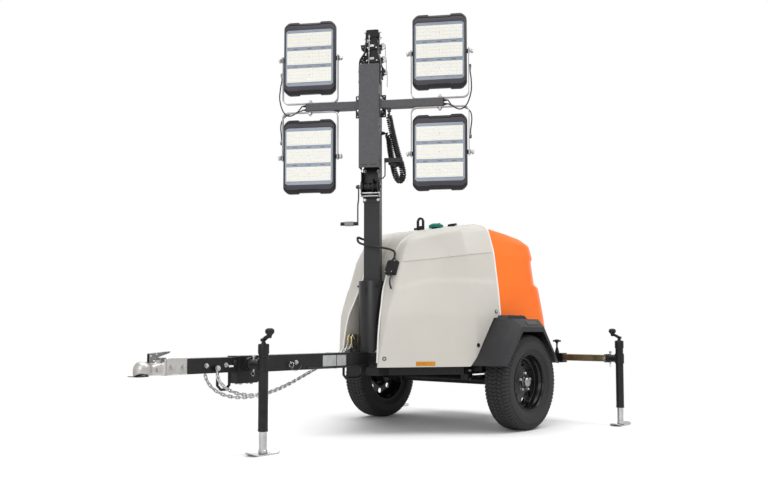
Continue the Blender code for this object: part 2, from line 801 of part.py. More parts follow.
def turning_rings():
    """Discs round the mast's foot that turn in the post's bore."""
    radius = (POST_RADIUS - POST_WALL) * math.cos(math.pi / POST_SIDES) - GAP
    rings = []
    for low, high in ((MAST_FOOT, MAST_FOOT + 0.030), (POST_TOP - 0.040, POST_TOP - 0.003)):
        middle = (0, 0, (low + high) / 2)
        inner = MAST_SIZE - MAST_WALL
        rings.append(cut(rod(radius, high - low, middle, Z_AXIS, MAST, POST_SIDES),
                         box((inner, inner, 1.0), middle, MAST)))
    return rings


def pulley(size, head):
    """A cable pulley and its block on the right of a section's head."""
    face = size / 2 + COLLAR_SHEET
    block = box((0.016, 0.024, 0.030), (face + 0.006, 0, head - 0.020), MAST)
    wheel = rod(0.019, 0.010, (face + 0.018, 0, head - 0.012), Y_AXIS, MAST, 16)
    return fuse(block, wheel)


def section_size(index):
    """Outer width of a mast section, each one fitting inside the one before."""
    return MAST_SIZE - index * 2 * (MAST_WALL + MAST_FIT)


def build_sections():
    """Four nested square tubes with a collar at each head."""
    names = ("mast_tube", "mast_section_two", "mast_section_three", "mast_section_four")
    tubes = []
    for index, name in enumerate(names):
        size = section_size(index)
        foot = MAST_FOOT + index * 0.015
        head = MAST_HEAD + index * HEAD_STEP
        tube = square_tube(size, MAST_WALL, foot, head, "Z", MAST)
        collar = square_tube(size + 2 * COLLAR_SHEET, COLLAR_SHEET + MAST_WALL * 0.5,
                             head - HEAD_COLLAR, head, "Z", MAST)
        fuse(tube, collar)
        if index < 3:
            fuse(tube, pulley(size, head))
        if index == 0:
            fuse(tube, *turning_rings(), mast_gland())
        tubes.append(tube)
        if index < 3:
            named(tube, name, "charcoal")
    build_head_bracket(tubes[3])
    named(tubes[3], "mast_section_four", "charcoal")


def mast_gland():
    """The curly cord's gland on the mast's right side."""
    length = 0.017
    place = (MAST_SIZE / 2 + length / 2 - 0.001, 0.030, BAR_Z - CORD_GLAND_DROP)
    return rod(0.014, length, place, X_AXIS, MAST, 12, 0.008)


def build_head_bracket(tube):
    """The top plate and side straps that hang the cover and lamp bar on the last section."""
    top = MAST_HEAD + 3 * HEAD_STEP
    reach = COVER_FRONT - 0.020
    strap_x = COVER_WIDTH / 2 + GAP + 0.003
    arm = box((2 * strap_x + 0.006, reach + 0.030, 0.012), (0, -(reach - 0.030) / 2, top + 0.002),
              MAST)
    straps = []
    for sign in (1, -1):
        low = COVER_TOP - 0.120
        straps.append(box((0.006, 0.050, top - low), (sign * strap_x, -reach + 0.025,
                                                       (top + low) / 2), MAST))
    fuse(tube, arm, *straps)


def build_cover():
    """The folded channel in front of the mast that the lamp bar passes through."""
    middle_z = (COVER_BOTTOM + COVER_TOP) / 2
    height = COVER_TOP - COVER_BOTTOM
    cover = box((COVER_WIDTH, COVER_DEPTH, height), (0, -COVER_FRONT + COVER_DEPTH / 2, middle_z),
                MAST)
    cut(cover, box((COVER_WIDTH - 2 * COVER_SHEET, COVER_DEPTH, height + 0.1),
                   (0, -COVER_FRONT + COVER_DEPTH / 2 + COVER_SHEET, middle_z), MAST))
    hole = BAR_SIZE + 2 * GAP
    cut(cover, box((COVER_WIDTH + 0.1, hole, hole), (0, -BAR_FORWARD, BAR_Z), MAST))
    named(cover, "mast_cover", "charcoal")


def build_lamp_bar():
    """The square bar across the cover, with its bolting plates."""
    bar = box((BAR_LENGTH, BAR_SIZE, BAR_SIZE), (BAR_SHIFT, -BAR_FORWARD, BAR_Z), MAST, None, 0.003)
    plates = []
    for sign in (1, -1):
        plates.append(box((0.005, 0.080, 0.120),
                          (sign * (COVER_WIDTH / 2 + GAP + 0.0025), -BAR_FORWARD, BAR_Z), MAST))
    overlap = 0.002
    gland = rod(0.012, CORD_GLAND + overlap,
                (CORD_X, -BAR_FORWARD, BAR_Z - BAR_SIZE / 2 - (CORD_GLAND - overlap) / 2), Z_AXIS, MAST,
                12)
    lead_glands = []
    for sign in (1, -1):
        for across, up in (LEAD_UPPER, LEAD_LOWER):
            place = BAR_SHIFT + sign * (BAR_LENGTH / 2 + (BAR_GLAND - overlap) / 2)
            lead_glands.append(rod(0.006, BAR_GLAND + overlap,
                                   (place, -BAR_FORWARD + across, BAR_Z + up), X_AXIS, MAST, 10))
    fuse(bar, gland, *plates, *lead_glands)
    named(bar, "lamp_bar", "charcoal")


def build_yoke(name, place_x, sign_z):
    """The flat strap that is bolted to the bar and holds a lamp by its sides."""
    reach = LAMP_WIDTH / 2 + YOKE_SIDE_GAP
    half = YOKE_BAR / 2
    mitre = half * math.tan(math.pi / 8)
    bend = YOKE_BEND
    root = BAR_SIZE / 2 + GAP + half
    top = LAMP_RISE - root + 0.020
    right = [(reach - bend + mitre, -half), (reach + half, bend - mitre), (reach + half, top),
             (reach - half, top), (reach - half, bend + mitre), (reach - bend - mitre, half)]
    outline = right + [(-x, z) for x, z in reversed(right)]
    strap = plate([(x, sign_z * z) for x, z in outline], YOKE_WIDTH,
                  (place_x, -BAR_FORWARD, BAR_Z + sign_z * root), FRONT_PLANE, MAST)
    side = math.copysign(1.0, place_x)
    saddle = box((LEAD_SADDLE_REACH + 0.002, 0.016, 0.020),
                 (place_x + side * (reach + half + (LEAD_SADDLE_REACH - 0.002) / 2), -BAR_FORWARD,
                  BAR_Z + sign_z * (LAMP_RISE - LEAD_SADDLE)), MAST)
    fuse(strap, saddle)
    named(strap, name, "charcoal")


def build_lamp(name, place_x, sign_z):
    """An LED floodlight: a chamfered housing with fins, side bosses and three lenses."""
    pivot = empty(name + "_pivot", (place_x, -BAR_FORWARD, BAR_Z + sign_z * LAMP_RISE), MAST)
    half_w = LAMP_WIDTH / 2
    half_h = LAMP_HEIGHT / 2
    bevel = 0.035
    outline = [(half_w, half_h - bevel), (half_w - bevel, half_h), (-half_w + bevel, half_h),
               (-half_w, half_h - bevel), (-half_w, -half_h + bevel), (-half_w + bevel, -half_h),
               (half_w - bevel, -half_h), (half_w, -half_h + bevel)]
    body = plate(outline, LAMP_DEPTH * 0.6, (0, -LAMP_DEPTH * 0.2, 0), FRONT_PLANE, pivot)
    back = box((LAMP_WIDTH * 0.7, LAMP_DEPTH * 0.4 + 0.004, LAMP_HEIGHT * 0.62),
               (0, LAMP_DEPTH * 0.3 - 0.002, 0), pivot)
    boss_reach = LAMP_WIDTH / 2 + YOKE_SIDE_GAP - YOKE_BAR / 2 - GAP
    boss = rod(0.014, 2 * boss_reach, (0, 0, 0), X_AXIS, pivot, 14)
    fuse(body, back, boss)
    front = -LAMP_DEPTH * 0.5
    window_width = LAMP_WIDTH - 0.030
    window_height = LAMP_HEIGHT - 0.110
    cut(body, box((window_width, 0.012, window_height), (0, front, 0), pivot))
    named(body, name + "_housing", "charcoal")
    lens = box((window_width - 2 * GAP, 0.004, window_height - 2 * GAP),
               (0, front + 0.004 - GAP, 0), pivot)
    pitch = window_height * 0.315
    modules = []
    for row in (-1, 0, 1):
        modules.append(box((window_width - 0.014, 0.009, pitch * 0.8),
                           (0, front + 0.0005, row * pitch), pivot, None, 0.003))
    fuse(lens, *modules)
    named(lens, name + "_lens", "lens")


def build_winch():
    """The hand winch low on the mast's front, with its drum and crank."""
    front = -(MAST_SIZE / 2 + GAP)
    sheet = 0.006
    back_plate = box((0.110, sheet, 0.215), (0, front - sheet / 2, WINCH_Z), MAST)
    cheeks = []
    for sign in (1, -1):
        cheeks.append(box((0.005, 0.075, 0.150), (sign * 0.052, front - 0.040, WINCH_Z), MAST))
    clip_y = front - 0.0012
    clip_z = WINCH_Z + CLIP_RISE
    clip = box((0.115, sheet, 0.028), (0.1375, clip_y, clip_z), MAST)
    stay = wire([(0.085, clip_y, clip_z), (0.085, clip_y, clip_z - 0.096),
                 (0.075, clip_y - 0.0055, WINCH_Z + 0.045), (0.052, clip_y - 0.0085, WINCH_Z + 0.040)],
                0.004, MAST)
    frame = fuse(back_plate, *cheeks, stay, clip)
    depth = front - 0.045
    level = WINCH_Z - DRUM_DROP
    journal = 0.010
    cut(frame, rod(journal + SLIDE_FIT, 0.20, (0, depth, level), X_AXIS, MAST, 16))
    named(frame, "winch_frame", "black_paint")
    drum = rod(journal, 0.150, (-0.006, depth, level), X_AXIS, MAST, 16)
    core = rod(0.020, 0.092, (0, depth, level), X_AXIS, MAST, 20)
    rims = [rod(0.033, 0.004, (sign * 0.045, depth, level), X_AXIS, MAST, 24) for sign in (1, -1)]
    arm_length = 0.250
    arm = box((0.008, 0.022, arm_length), (-0.078, depth, level + 0.010 - arm_length / 2), MAST)
    grip = rod(0.014, 0.110, (-0.134, depth, WINCH_Z - CRANK_DROP), X_AXIS, MAST, 14)
    fuse(drum, core, arm, grip, *rims)
    named(drum, "winch_crank", "zinc")


# Canopy

def build_canopy():
    """The moulded front shell, with a recess for the mast between two wings."""
    base = RAIL_TOP + GAP + PAN_SHEET + GAP
    rings = [
        [(0.0, -0.600, base), (0.140, -0.600, base), (0.150, -0.872, base), (0.166, -0.885, base),
         (0.370, -0.600, base), (0.520, -0.352, base), (0.540, SEAM_Y, base)],
        [(0.0, -0.600, 0.730), (0.128, -0.600, 0.730), (0.137, -0.828, 0.730),
         (0.203, -0.832, 0.730), (0.370, -0.590, 0.730), (0.502, -0.345, 0.730),
         (0.533, SEAM_Y, 0.730)],
        [(0.0, -0.600, 0.900), (0.096, -0.600, 0.900), (0.102, -0.762, 0.900),
         (0.207, -0.764, 0.900), (0.345, -0.560, 0.900), (0.475, -0.340, 0.900),
         (0.516, SEAM_Y, 0.900)],
        [(0.0, -0.590, 1.060), (0.092, -0.590, 1.060), (0.098, -0.698, 1.060),
         (0.201, -0.700, 1.065), (0.325, -0.520, 1.090), (0.440, -0.330, 1.120),
         (0.482, SEAM_Y, 1.150)],
        [(0.0, -0.490, 1.262), (0.088, -0.495, 1.255), (0.100, -0.620, 1.205),
         (0.186, -0.630, 1.205), (0.275, -0.480, 1.245), (0.380, -0.320, 1.285),
         (0.432, SEAM_Y, 1.315)],
        [(0.0, -0.430, 1.288), (0.090, -0.435, 1.285), (0.112, -0.560, 1.235),
         (0.165, -0.570, 1.240), (0.230, -0.440, 1.280), (0.310, -0.310, 1.310),
         (0.370, SEAM_Y, 1.338)],
        [(0.0, y, z) for y, z in CREST]]
    canopy = shell(rings, CANOPY_WALL)
    under = box((3.0, 4.0, 0.2), (0, 0, base - 0.1))
    cut(canopy, under, *fender_notches(), *roof_holes())
    named(canopy, "canopy_shell", "beige")


def crest_height(place_y):
    """Height of the canopy's roof line at a place along the trailer."""
    for (start_y, start_z), (end_y, end_z) in zip(CREST, CREST[1:]):
        if place_y <= end_y:
            break
    return start_z + (end_z - start_z) * (place_y - start_y) / (end_y - start_y)


def roof_holes():
    """Cutters for the lifting eye, the filler neck and the two hinge leaves."""
    width = EYE_WIDTH - 2 * EYE_STEP
    depth = EYE_SHEET - 2 * EYE_STEP
    slot = box((width + 2 * GAP, depth + 2 * GAP, 0.2), (0, EYE_Y, crest_height(EYE_Y)))
    filler = rod(CAP_NECK + 2 * GAP, 0.2, (CAP_X, CAP_Y, crest_height(CAP_Y)), Z_AXIS, None, 24)
    cutters = [slot, filler]
    for sign in (1, -1):
        depth = HINGE_LEAF + GAP + 0.020
        cutters.append(box((HINGE_WIDTH + 2 * GAP, depth, 0.2),
                           (sign * HINGE_X, SEAM_Y - HINGE_LEAF - GAP + depth / 2, HINGE_Z)))
    return cutters


def build_hood_hinge():
    """Two hinge leaves set in the canopy's rear edge, on a bar under the roof."""
    pin_y = SEAM_Y + SEAM_GAP / 2
    height = HINGE_Z + 0.002 - HINGE_FOOT
    level = HINGE_FOOT + height / 2
    rear = SEAM_Y - HINGE_LEAF
    web = 0.018
    cheek = (HINGE_WIDTH - KNUCKLE_WIDTH) / 2
    pieces = []
    for sign in (1, -1):
        pieces.append(box((HINGE_WIDTH, web, height), (sign * HINGE_X, rear + web / 2, level)))
        for end in (1, -1):
            place = sign * HINGE_X + end * (HINGE_WIDTH - cheek) / 2
            pieces.append(box((cheek, HINGE_LEAF, height * 0.999),
                              (place, rear + HINGE_LEAF / 2, level)))
            pieces.append(rod(HINGE_RADIUS, cheek * 0.999, (place, pin_y, HINGE_Z), X_AXIS, None, 16))
    bar = box((2 * HINGE_X, web * 0.999, 0.014), (0, rear + web / 2, HINGE_FOOT - 0.004))
    fuse(bar, *pieces)
    named(bar, "hood_hinge", "black_paint")


def hood_knuckles():
    """The hood's own hinge knuckles, between the leaves' cheeks."""
    pin_y = SEAM_Y + SEAM_GAP / 2
    front = SEAM_Y + SEAM_GAP
    width = KNUCKLE_WIDTH - 2 * GAP
    low = HINGE_Z - 0.034
    pieces = []
    for sign in (1, -1):
        barrel = rod(HINGE_RADIUS, width, (sign * HINGE_X, pin_y, HINGE_Z), X_AXIS, None, 16)
        arm = box((width * 0.999, 0.030, 0.032), (sign * HINGE_X, front + 0.0155, low + 0.016))
        pieces.append(fuse(barrel, arm))
    return pieces


def build_hood():
    """The rear hood, hinged at the roof seam."""
    front = SEAM_Y + SEAM_GAP
    hinge = empty("hood_hinge", (0, 0, 0), AXLE)
    base = 0.490
    levels = [
        ("base", base, 0.538, 0.590), ("waist", 0.730, 0.525, 0.555),
        ("ledge", 0.935, 0.506, 0.518), ("band_low", 0.955, 0.502, 0.472),
        ("band_high", 1.118, 0.481, 0.464), ("brow", 1.135, 0.480, 0.488),
        ("shoulder", 1.230, 0.455, 0.484)]
    rings = []
    for _, height, side_x, rear_y in levels:
        corner = 0.140
        rings.append([(side_x, front, height), (side_x, 0.150, height),
                      (side_x, rear_y - corner, height),
                      (side_x - corner * 0.293, rear_y - corner * 0.293, height),
                      (side_x - corner, rear_y, height), (0.0, rear_y, height)])
    rings.append([(0.420, front, 1.308), (0.415, 0.150, 1.290), (0.405, 0.330, 1.272),
                  (0.360, 0.415, 1.262), (0.280, 0.440, 1.260), (0.0, 0.440, 1.262)])
    rings.append([(0.360, front, 1.331), (0.350, 0.150, 1.312), (0.340, 0.300, 1.290),
                  (0.310, 0.350, 1.284), (0.250, 0.370, 1.282), (0.0, 0.375, 1.284)])
    rings.append([(0.0, front, 1.342), (0.0, 0.050, 1.332), (0.0, 0.150, 1.322),
                  (0.0, 0.230, 1.312), (0.0, 0.300, 1.300), (0.0, 0.350, 1.291)])
    hood = shell(rings, CANOPY_WALL)
    cut(hood, *fender_notches())
    fuse(hood, *hood_knuckles())
    hood.parent = hinge
    named(hood, "rear_hood", "orange")


def fender_outline(inset=0.0, base=FENDER_BASE):
    """The fender's side outline as (y, z) points, front to rear."""
    slope = inset * 0.6
    return [(-0.385 + inset, base), (-0.165 + slope * 0.6, FENDER_TOP - inset),
            (0.135 - slope * 0.6, FENDER_TOP - inset), (0.355 - inset, base)]


def fender_notches():
    """Cutters for the canopy above both fenders, a little larger than the fenders."""
    cutters = []
    outline = fender_outline(-0.008, 0.2)
    outline[0] = (outline[0][0] - 0.16, 0.2)
    outline[3] = (outline[3][0] + 0.16, 0.2)
    for sign in (1, -1):
        cutters.append(plate(outline, 0.6, (sign * 0.75, 0, 0), SIDE_PLANE))
    return cutters


def build_fender(side, sign):
    """A folded sheet fender with a chamfered outer edge and an inner wall."""
    outer = fender_outline(0.0)
    chamfer = fender_outline(0.052)
    opening = fender_outline(0.082)
    opening[0] = (chamfer[0][0] + 0.012, FENDER_BASE)
    opening[3] = (chamfer[3][0] - 0.012, FENDER_BASE)
    rows = [[(FENDER_INNER_X, y, z) for y, z in outer],
            [(FENDER_CREASE_X, y, z) for y, z in outer],
            [(FENDER_OUTER_X, y, z) for y, z in chamfer],
            [(FENDER_OUTER_X, y, z) for y, z in opening]]
    if sign < 0:
        rows = [[(-x, y, z) for x, y, z in row] for row in rows]
    fender = shell(rows, FENDER_SHEET, False, True)
    named(fender, "fender_" + side, "charcoal")


def build_power_unit():
    """The engine and generator as one block on the floor pan."""
    floor = RAIL_TOP + GAP + PAN_SHEET + GAP
    block = box((0.44, 0.66, 0.50), (0, 0.020, floor + 0.25), None, None, 0.02)
    named(block, "engine_generator", "engine")


def build_roof_fittings():
    """Lifting eye on the centre line and the fuel cap beside it."""
    build_lifting_eye()
    level = crest_height(CAP_Y) + CAP_RISE
    cap = turned([(0.0, 0.030), (0.030, 0.028), (0.042, 0.018), (0.042, 0.001), (CAP_NECK, 0.001),
                  (CAP_NECK, -0.040), (0.0, -0.040)], (CAP_X, CAP_Y, level), Z_AXIS, None, 24)
    named(cap, "fuel_cap", "green")


def build_lifting_eye():
    """A flat eye whose thinner tail goes down through the roof."""
    roof = crest_height(EYE_Y)
    shoulder = roof + EYE_CLEARANCE
    height = EYE_RISE - EYE_CLEARANCE
    half = EYE_WIDTH / 2
    eye = plate([(-half, 0.0), (half, 0.0), (half, height - 0.026), (half * 0.6, height - 0.006),
                 (0.0, height), (-half * 0.6, height - 0.006), (-half, height - 0.026)],
                EYE_SHEET, (0, EYE_Y, shoulder), FRONT_PLANE)
    foot = roof - CANOPY_WALL - EYE_TAIL
    overlap = 0.002
    tail = box((EYE_WIDTH - 2 * EYE_STEP, EYE_SHEET - 2 * EYE_STEP, shoulder + overlap - foot),
               (0, EYE_Y, (shoulder + overlap + foot) / 2))
    fuse(eye, tail)
    hole = 0.016
    top = roof + EYE_RISE - 0.014 - hole
    low = roof + EYE_RISE - 0.060
    cut(eye, rod(hole, 0.10, (0, EYE_Y, top), Y_AXIS, None, 16),
        box((2 * hole * 0.98, 0.10, top - low), (0, EYE_Y, (top + low) / 2)))
    named(eye, "lifting_eye", "black_paint")


# Cords

def build_connector_box():
    """The plug box on the canopy's left wing, with its short tail."""
    tilt = Matrix.Rotation(-BOX_SLOPE, 4, "X")
    block = box(BOX_SIZE, BOX_CENTRE, None, tilt, 0.004)
    tail = wire([(0.165, -0.744, 0.990), (0.168, -0.763, 0.970), (0.176, -0.783, 0.942),
                 (0.186, -0.792, 0.915), (0.194, -0.789, 0.890)], 0.006)
    fuse(block, tail)
    seat_on(block, bpy.data.objects["canopy_shell"], tilt @ Vector((0, -1, 0)))
    named(block, "connector_box", "rubber")


def build_mast_cable():
    """The cable from the recess wall, round the mast clear of its turn, to the plug box."""
    up = Matrix.Rotation(-BOX_SLOPE, 4, "X") @ Vector((0, 0, 1))
    end = Vector(BOX_CENTRE) + up * (BOX_SIZE[2] / 2 + GAP)
    in_axle = Matrix.Translation((0, MAST_Y, 0)) @ Matrix.Rotation(MAST_YAW, 4, "Z")
    start = [Vector(place) for place in (
        (-0.0995, -0.590, 1.175), (-0.0790, -0.591, 1.177), (-0.064, -0.620, 1.188),
        (-0.072, -0.680, 1.206), (-0.088, -0.742, 1.220))]
    round_mast = [in_axle @ Vector(place) for place in (
        (-0.092, -0.028, 1.222), (-0.080, -0.070, 1.190), (-0.045, -0.095, 1.172),
        (0.010, -0.102, 1.160), (0.0485, -0.100, 1.1535), (0.083, -0.090, 1.148),
        (0.122, -0.072, 1.140), (0.146, -0.052, 1.124))]
    cable = cord("mast_cable", start + round_mast + [end + up * 0.018, end], CABLE_RADIUS)
    seat_on(cable, bpy.data.objects["canopy_shell"], (1, 0, 0))
    named(cable, "mast_cable", "rubber")


def build_cords():
    """The mast cable, the curly cord behind the mast and the four lamp leads."""
    build_mast_cable()
    curly = [(0.120, -0.110, -0.0453), (0.120, -0.110, -0.075), (0.128, -0.080, -0.133),
             (0.146, -0.045, -0.223), (0.170, -0.025, -0.318), (0.190, -0.010, -0.383),
             (0.190, 0.015, -0.433), (0.165, 0.050, -0.451), (0.138, 0.070, -0.418),
             (0.118, 0.066, -0.3415), (0.102, 0.050, -0.243), (0.098, 0.036, -0.180),
             (0.086, 0.030, -CORD_GLAND_DROP), (0.0663, 0.030, -CORD_GLAND_DROP)]
    route = smooth_route([(x, y, z + BAR_Z) for x, y, z in curly], CURLY_RADIUS * 1.4)
    radii = [1.0] * len(route)
    radii[:3] = (0.33, 0.33, 0.8)
    radii[-3:] = (0.8, 0.33, 0.33)
    named(wire(route, CURLY_RADIUS, MAST, 4, False, radii), "curly_cord", "rubber")
    upper = [(0.598, 0.000, 0.2047), (0.598, 0.000, 0.185), (0.605, -0.010, 0.127),
             (0.604, -0.024, 0.052), (0.580, -0.030, -0.023), (0.540, -0.031, -0.055),
             (0.490, -0.026, -0.032), (0.462, -0.010, 0.010), (0.4453, -0.010, 0.010)]
    lower = [(0.598, 0.000, -0.2047), (0.598, 0.000, -0.185), (0.606, 0.010, -0.103),
             (0.592, 0.028, -0.050), (0.545, 0.032, -0.022), (0.490, 0.022, -0.016),
             (0.462, 0.010, -0.008), (0.4453, 0.010, -0.008)]
    for side, sign in (("left", 1), ("right", -1)):
        for height, route in (("upper", upper), ("lower", lower)):
            points = [(BAR_SHIFT + sign * x, y - BAR_FORWARD, z + BAR_Z) for x, y, z in route]
            cord("lamp_lead_" + height + "_" + side, points, LEAD_RADIUS, MAST)


# Jacks and outriggers

def jack_body(place, inboard, parent, swivel_start, level):
    """Outer tube, cap, swivel and the top crank of a screw jack."""
    middle = (JACK_TOP + JACK_BOTTOM) / 2
    across, along = place
    tube = rod(JACK_RADIUS, JACK_TOP - JACK_BOTTOM, (across, along, middle), Z_AXIS, parent, 24)
    cap = rod(JACK_RADIUS + 0.006, 0.022, (across, along, JACK_TOP + 0.002), Z_AXIS, parent)
    pin = rod(0.009, 0.040, (across, along, JACK_TOP + 0.025), Z_AXIS, parent, 12)
    arm_end = (across + inboard * 0.045, along, JACK_TOP + 0.060)
    arm = wire([(across - inboard * 0.003, along, JACK_TOP + 0.0335), arm_end], 0.0062, parent)
    knob = rod(0.014, 0.050, (arm_end[0] + inboard * 0.004, along, arm_end[2] + 0.014),
               Z_AXIS, parent, 14)
    reach = abs(across) - swivel_start
    side = math.copysign(1.0, across)
    reach -= 0.004
    swivel = rod(SWIVEL_RADIUS, reach, (side * (swivel_start + reach / 2), along, level), X_AXIS,
                 parent, 18)
    fuse(tube, swivel)
    head = fuse(cap, pin, arm, knob)
    depth = JACK_TOP - JACK_HEAD - JACK_BOTTOM
    bore = rod(JACK_RADIUS - JACK_WALL, depth + 0.1,
               (across, along, JACK_TOP - JACK_HEAD - (depth + 0.1) / 2), Z_AXIS, parent, 24)
    cut(tube, bore)
    return fuse(tube, head)


def jack_leg(name, place, parent):
    """Inner tube with its foot plate on the floor."""
    top = JACK_TOP - JACK_HEAD - JACK_TRAVEL - JACK_END_CLEARANCE
    bottom = 0.003
    leg = rod(JACK_LEG_RADIUS, top - bottom, (place[0], place[1], (top + bottom) / 2), Z_AXIS,
              parent, 24)
    fuse(leg, foot_plate(place, parent))
    named(leg, name, "zinc")


def foot_plate(place, parent):
    """A long flat foot with rounded corners and turned-up ends."""
    sheet = 0.006
    rise = 0.014
    half = JACK_FOOT_LENGTH / 2
    flat = half - 0.040
    side = [(-half, rise), (-flat, 0.0), (flat, 0.0), (half, rise), (half, rise + sheet),
            (flat, sheet), (-flat, sheet), (-half, rise + sheet)]
    bent = plate(side, JACK_FOOT_WIDTH, (place[0], place[1], 0), SIDE_PLANE, parent)
    edge = JACK_FOOT_WIDTH / 2
    corner = 0.022
    quarter = [(edge, half - corner), (edge - corner * 0.29, half - corner * 0.29),
               (edge - corner, half)]
    outline = quarter + [(-x, y) for x, y in reversed(quarter)]
    outline += [(-x, -y) for x, y in outline]
    return combine(bent, [plate(outline, 0.1, (place[0], place[1], 0), Z_AXIS, parent)],
                   "INTERSECT")


def build_tongue_jack():
    """The jack beside the drawbar, on a swivel tube."""
    place = (TONGUE_JACK_X, TONGUE_JACK_Y)
    pivot = empty("tongue_jack_pivot", (0, 0, 0), AXLE)
    body = jack_body(place, 1, pivot, tongue_swivel_start(), DRAWBAR_Z)
    named(body, "tongue_jack_body", "black_paint")
    jack_leg("tongue_jack_leg", place, pivot)


def build_outrigger(side, sign):
    """A sliding beam with a swivel jack on its end."""
    place = (sign * OUTRIGGER_X, OUTRIGGER_Y)
    swivel_start = OUTRIGGER_X - 0.085
    length = swivel_start - GAP - BEAM_INNER_X
    beam = box((length, BEAM_SIZE, BEAM_SIZE),
               (sign * (BEAM_INNER_X + length / 2), OUTRIGGER_Y, OUTRIGGER_Z))
    collar = box((0.012, BEAM_SIZE + 0.012, BEAM_SIZE + 0.012),
                 (sign * (swivel_start - GAP - 0.006), OUTRIGGER_Y, OUTRIGGER_Z))
    fuse(beam, collar)
    named(beam, "outrigger_beam_" + side, "yellow_zinc")
    body = jack_body(place, -sign, AXLE, swivel_start, OUTRIGGER_Z)
    named(body, "outrigger_jack_body_" + side, "black_paint")
    jack_leg("outrigger_jack_leg_" + side, place, AXLE)


def build_all():
    """Build every sub-part."""
    for side, sign in (("left", 1), ("right", -1)):
        build_wheel(side, sign)
        build_fender(side, sign)
        build_outrigger(side, sign)
    build_chassis()
    build_pan()
    build_axle()
    build_outrigger_housing()
    build_drawbar()
    build_chain("safety_chain_left", CHAIN_LUG_X, -0.080, 0.320)
    build_chain("safety_chain_right", -CHAIN_LUG_X, -0.110, 0.300)
    build_mast_seat()
    build_sections()
    build_cover()
    build_lamp_bar()
    for height, sign_z in (("upper", 1), ("lower", -1)):
        for side, place_x in (("right", BAR_SHIFT - LAMP_X), ("left", BAR_SHIFT + LAMP_X)):
            build_yoke("yoke_" + height + "_" + side, place_x, sign_z)
            build_lamp("lamp_" + height + "_" + side, place_x, sign_z)
    build_winch()
    build_canopy()
    build_hood_hinge()
    build_hood()
    build_power_unit()
    build_roof_fittings()
    build_tongue_jack()
    build_connector_box()
    build_cords()


build_all()
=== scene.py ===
"""Looks of the mobile light tower: detailed pieces, finishes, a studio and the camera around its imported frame."""

import logging
import math
from dataclasses import dataclass, field
from enum import Enum
from functools import reduce

import bmesh
import bpy
import numpy as np
from mathutils import Matrix, Vector


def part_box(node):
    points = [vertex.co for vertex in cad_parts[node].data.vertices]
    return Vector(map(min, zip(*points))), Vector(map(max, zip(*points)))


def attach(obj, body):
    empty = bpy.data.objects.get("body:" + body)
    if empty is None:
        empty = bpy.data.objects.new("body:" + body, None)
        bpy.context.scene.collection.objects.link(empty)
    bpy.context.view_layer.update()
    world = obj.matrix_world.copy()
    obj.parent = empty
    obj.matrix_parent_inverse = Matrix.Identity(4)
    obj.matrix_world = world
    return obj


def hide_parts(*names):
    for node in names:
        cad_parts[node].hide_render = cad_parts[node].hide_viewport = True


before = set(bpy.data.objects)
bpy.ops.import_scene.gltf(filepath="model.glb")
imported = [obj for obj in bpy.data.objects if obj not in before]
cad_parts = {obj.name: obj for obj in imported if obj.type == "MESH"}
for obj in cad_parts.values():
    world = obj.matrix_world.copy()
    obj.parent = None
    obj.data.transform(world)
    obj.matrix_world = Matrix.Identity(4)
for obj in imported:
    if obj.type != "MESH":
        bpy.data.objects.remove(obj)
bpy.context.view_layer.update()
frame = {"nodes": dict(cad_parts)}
LOG = logging.getLogger("light_tower")
Colour = tuple[float, float, float]

# Places that the pieces share, in metres
WHEEL_LOW, WHEEL_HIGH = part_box("tyre_left")
AXLE_Y = (WHEEL_LOW.y + WHEEL_HIGH.y) / 2
MAST_Y = -0.745
MAST_YAW = 33.3
TRAILER = "trailer"
SIDES = (("left", 1), ("right", -1))


# Shapes as whole arrays

def unit(vectors: np.ndarray) -> np.ndarray:
    """Scale vectors to length one."""
    return vectors / np.maximum(np.linalg.norm(vectors, axis=-1, keepdims=True), 1e-12)


def ramp(values: np.ndarray, start: float, width: float) -> np.ndarray:
    """Rise from 0 at the start to 1 a width further on, and stay there."""
    return np.clip((values - start) / width, 0, 1)


def shift(x: float, y: float, z: float) -> np.ndarray:
    """A move as a 4x4 matrix."""
    made = np.eye(4)
    made[:3, 3] = (x, y, z)
    return made


def turn(axis: str, degrees: float) -> np.ndarray:
    """A turn about X, Y or Z as a 4x4 matrix."""
    return np.array(Matrix.Rotation(math.radians(degrees), 4, axis))


def stretch(x: float, y: float, z: float) -> np.ndarray:
    """A scaling as a 4x4 matrix."""
    return np.diag((x, y, z, 1.0))


IN_AXLE = shift(0.0, AXLE_Y, 0.0)
IN_MAST = IN_AXLE @ shift(0.0, MAST_Y, 0.0) @ turn("Z", MAST_YAW)
IN_BAR = IN_MAST @ shift(0.026, -0.110, 2.043)
ALONG_X = turn("Y", 90)
ALONG_Y = turn("X", -90)
ON_SIDE = np.array([(0, 0, 1, 0), (1, 0, 0, 0), (0, 1, 0, 0), (0, 0, 0, 1)], float)  # (along, up) square to X


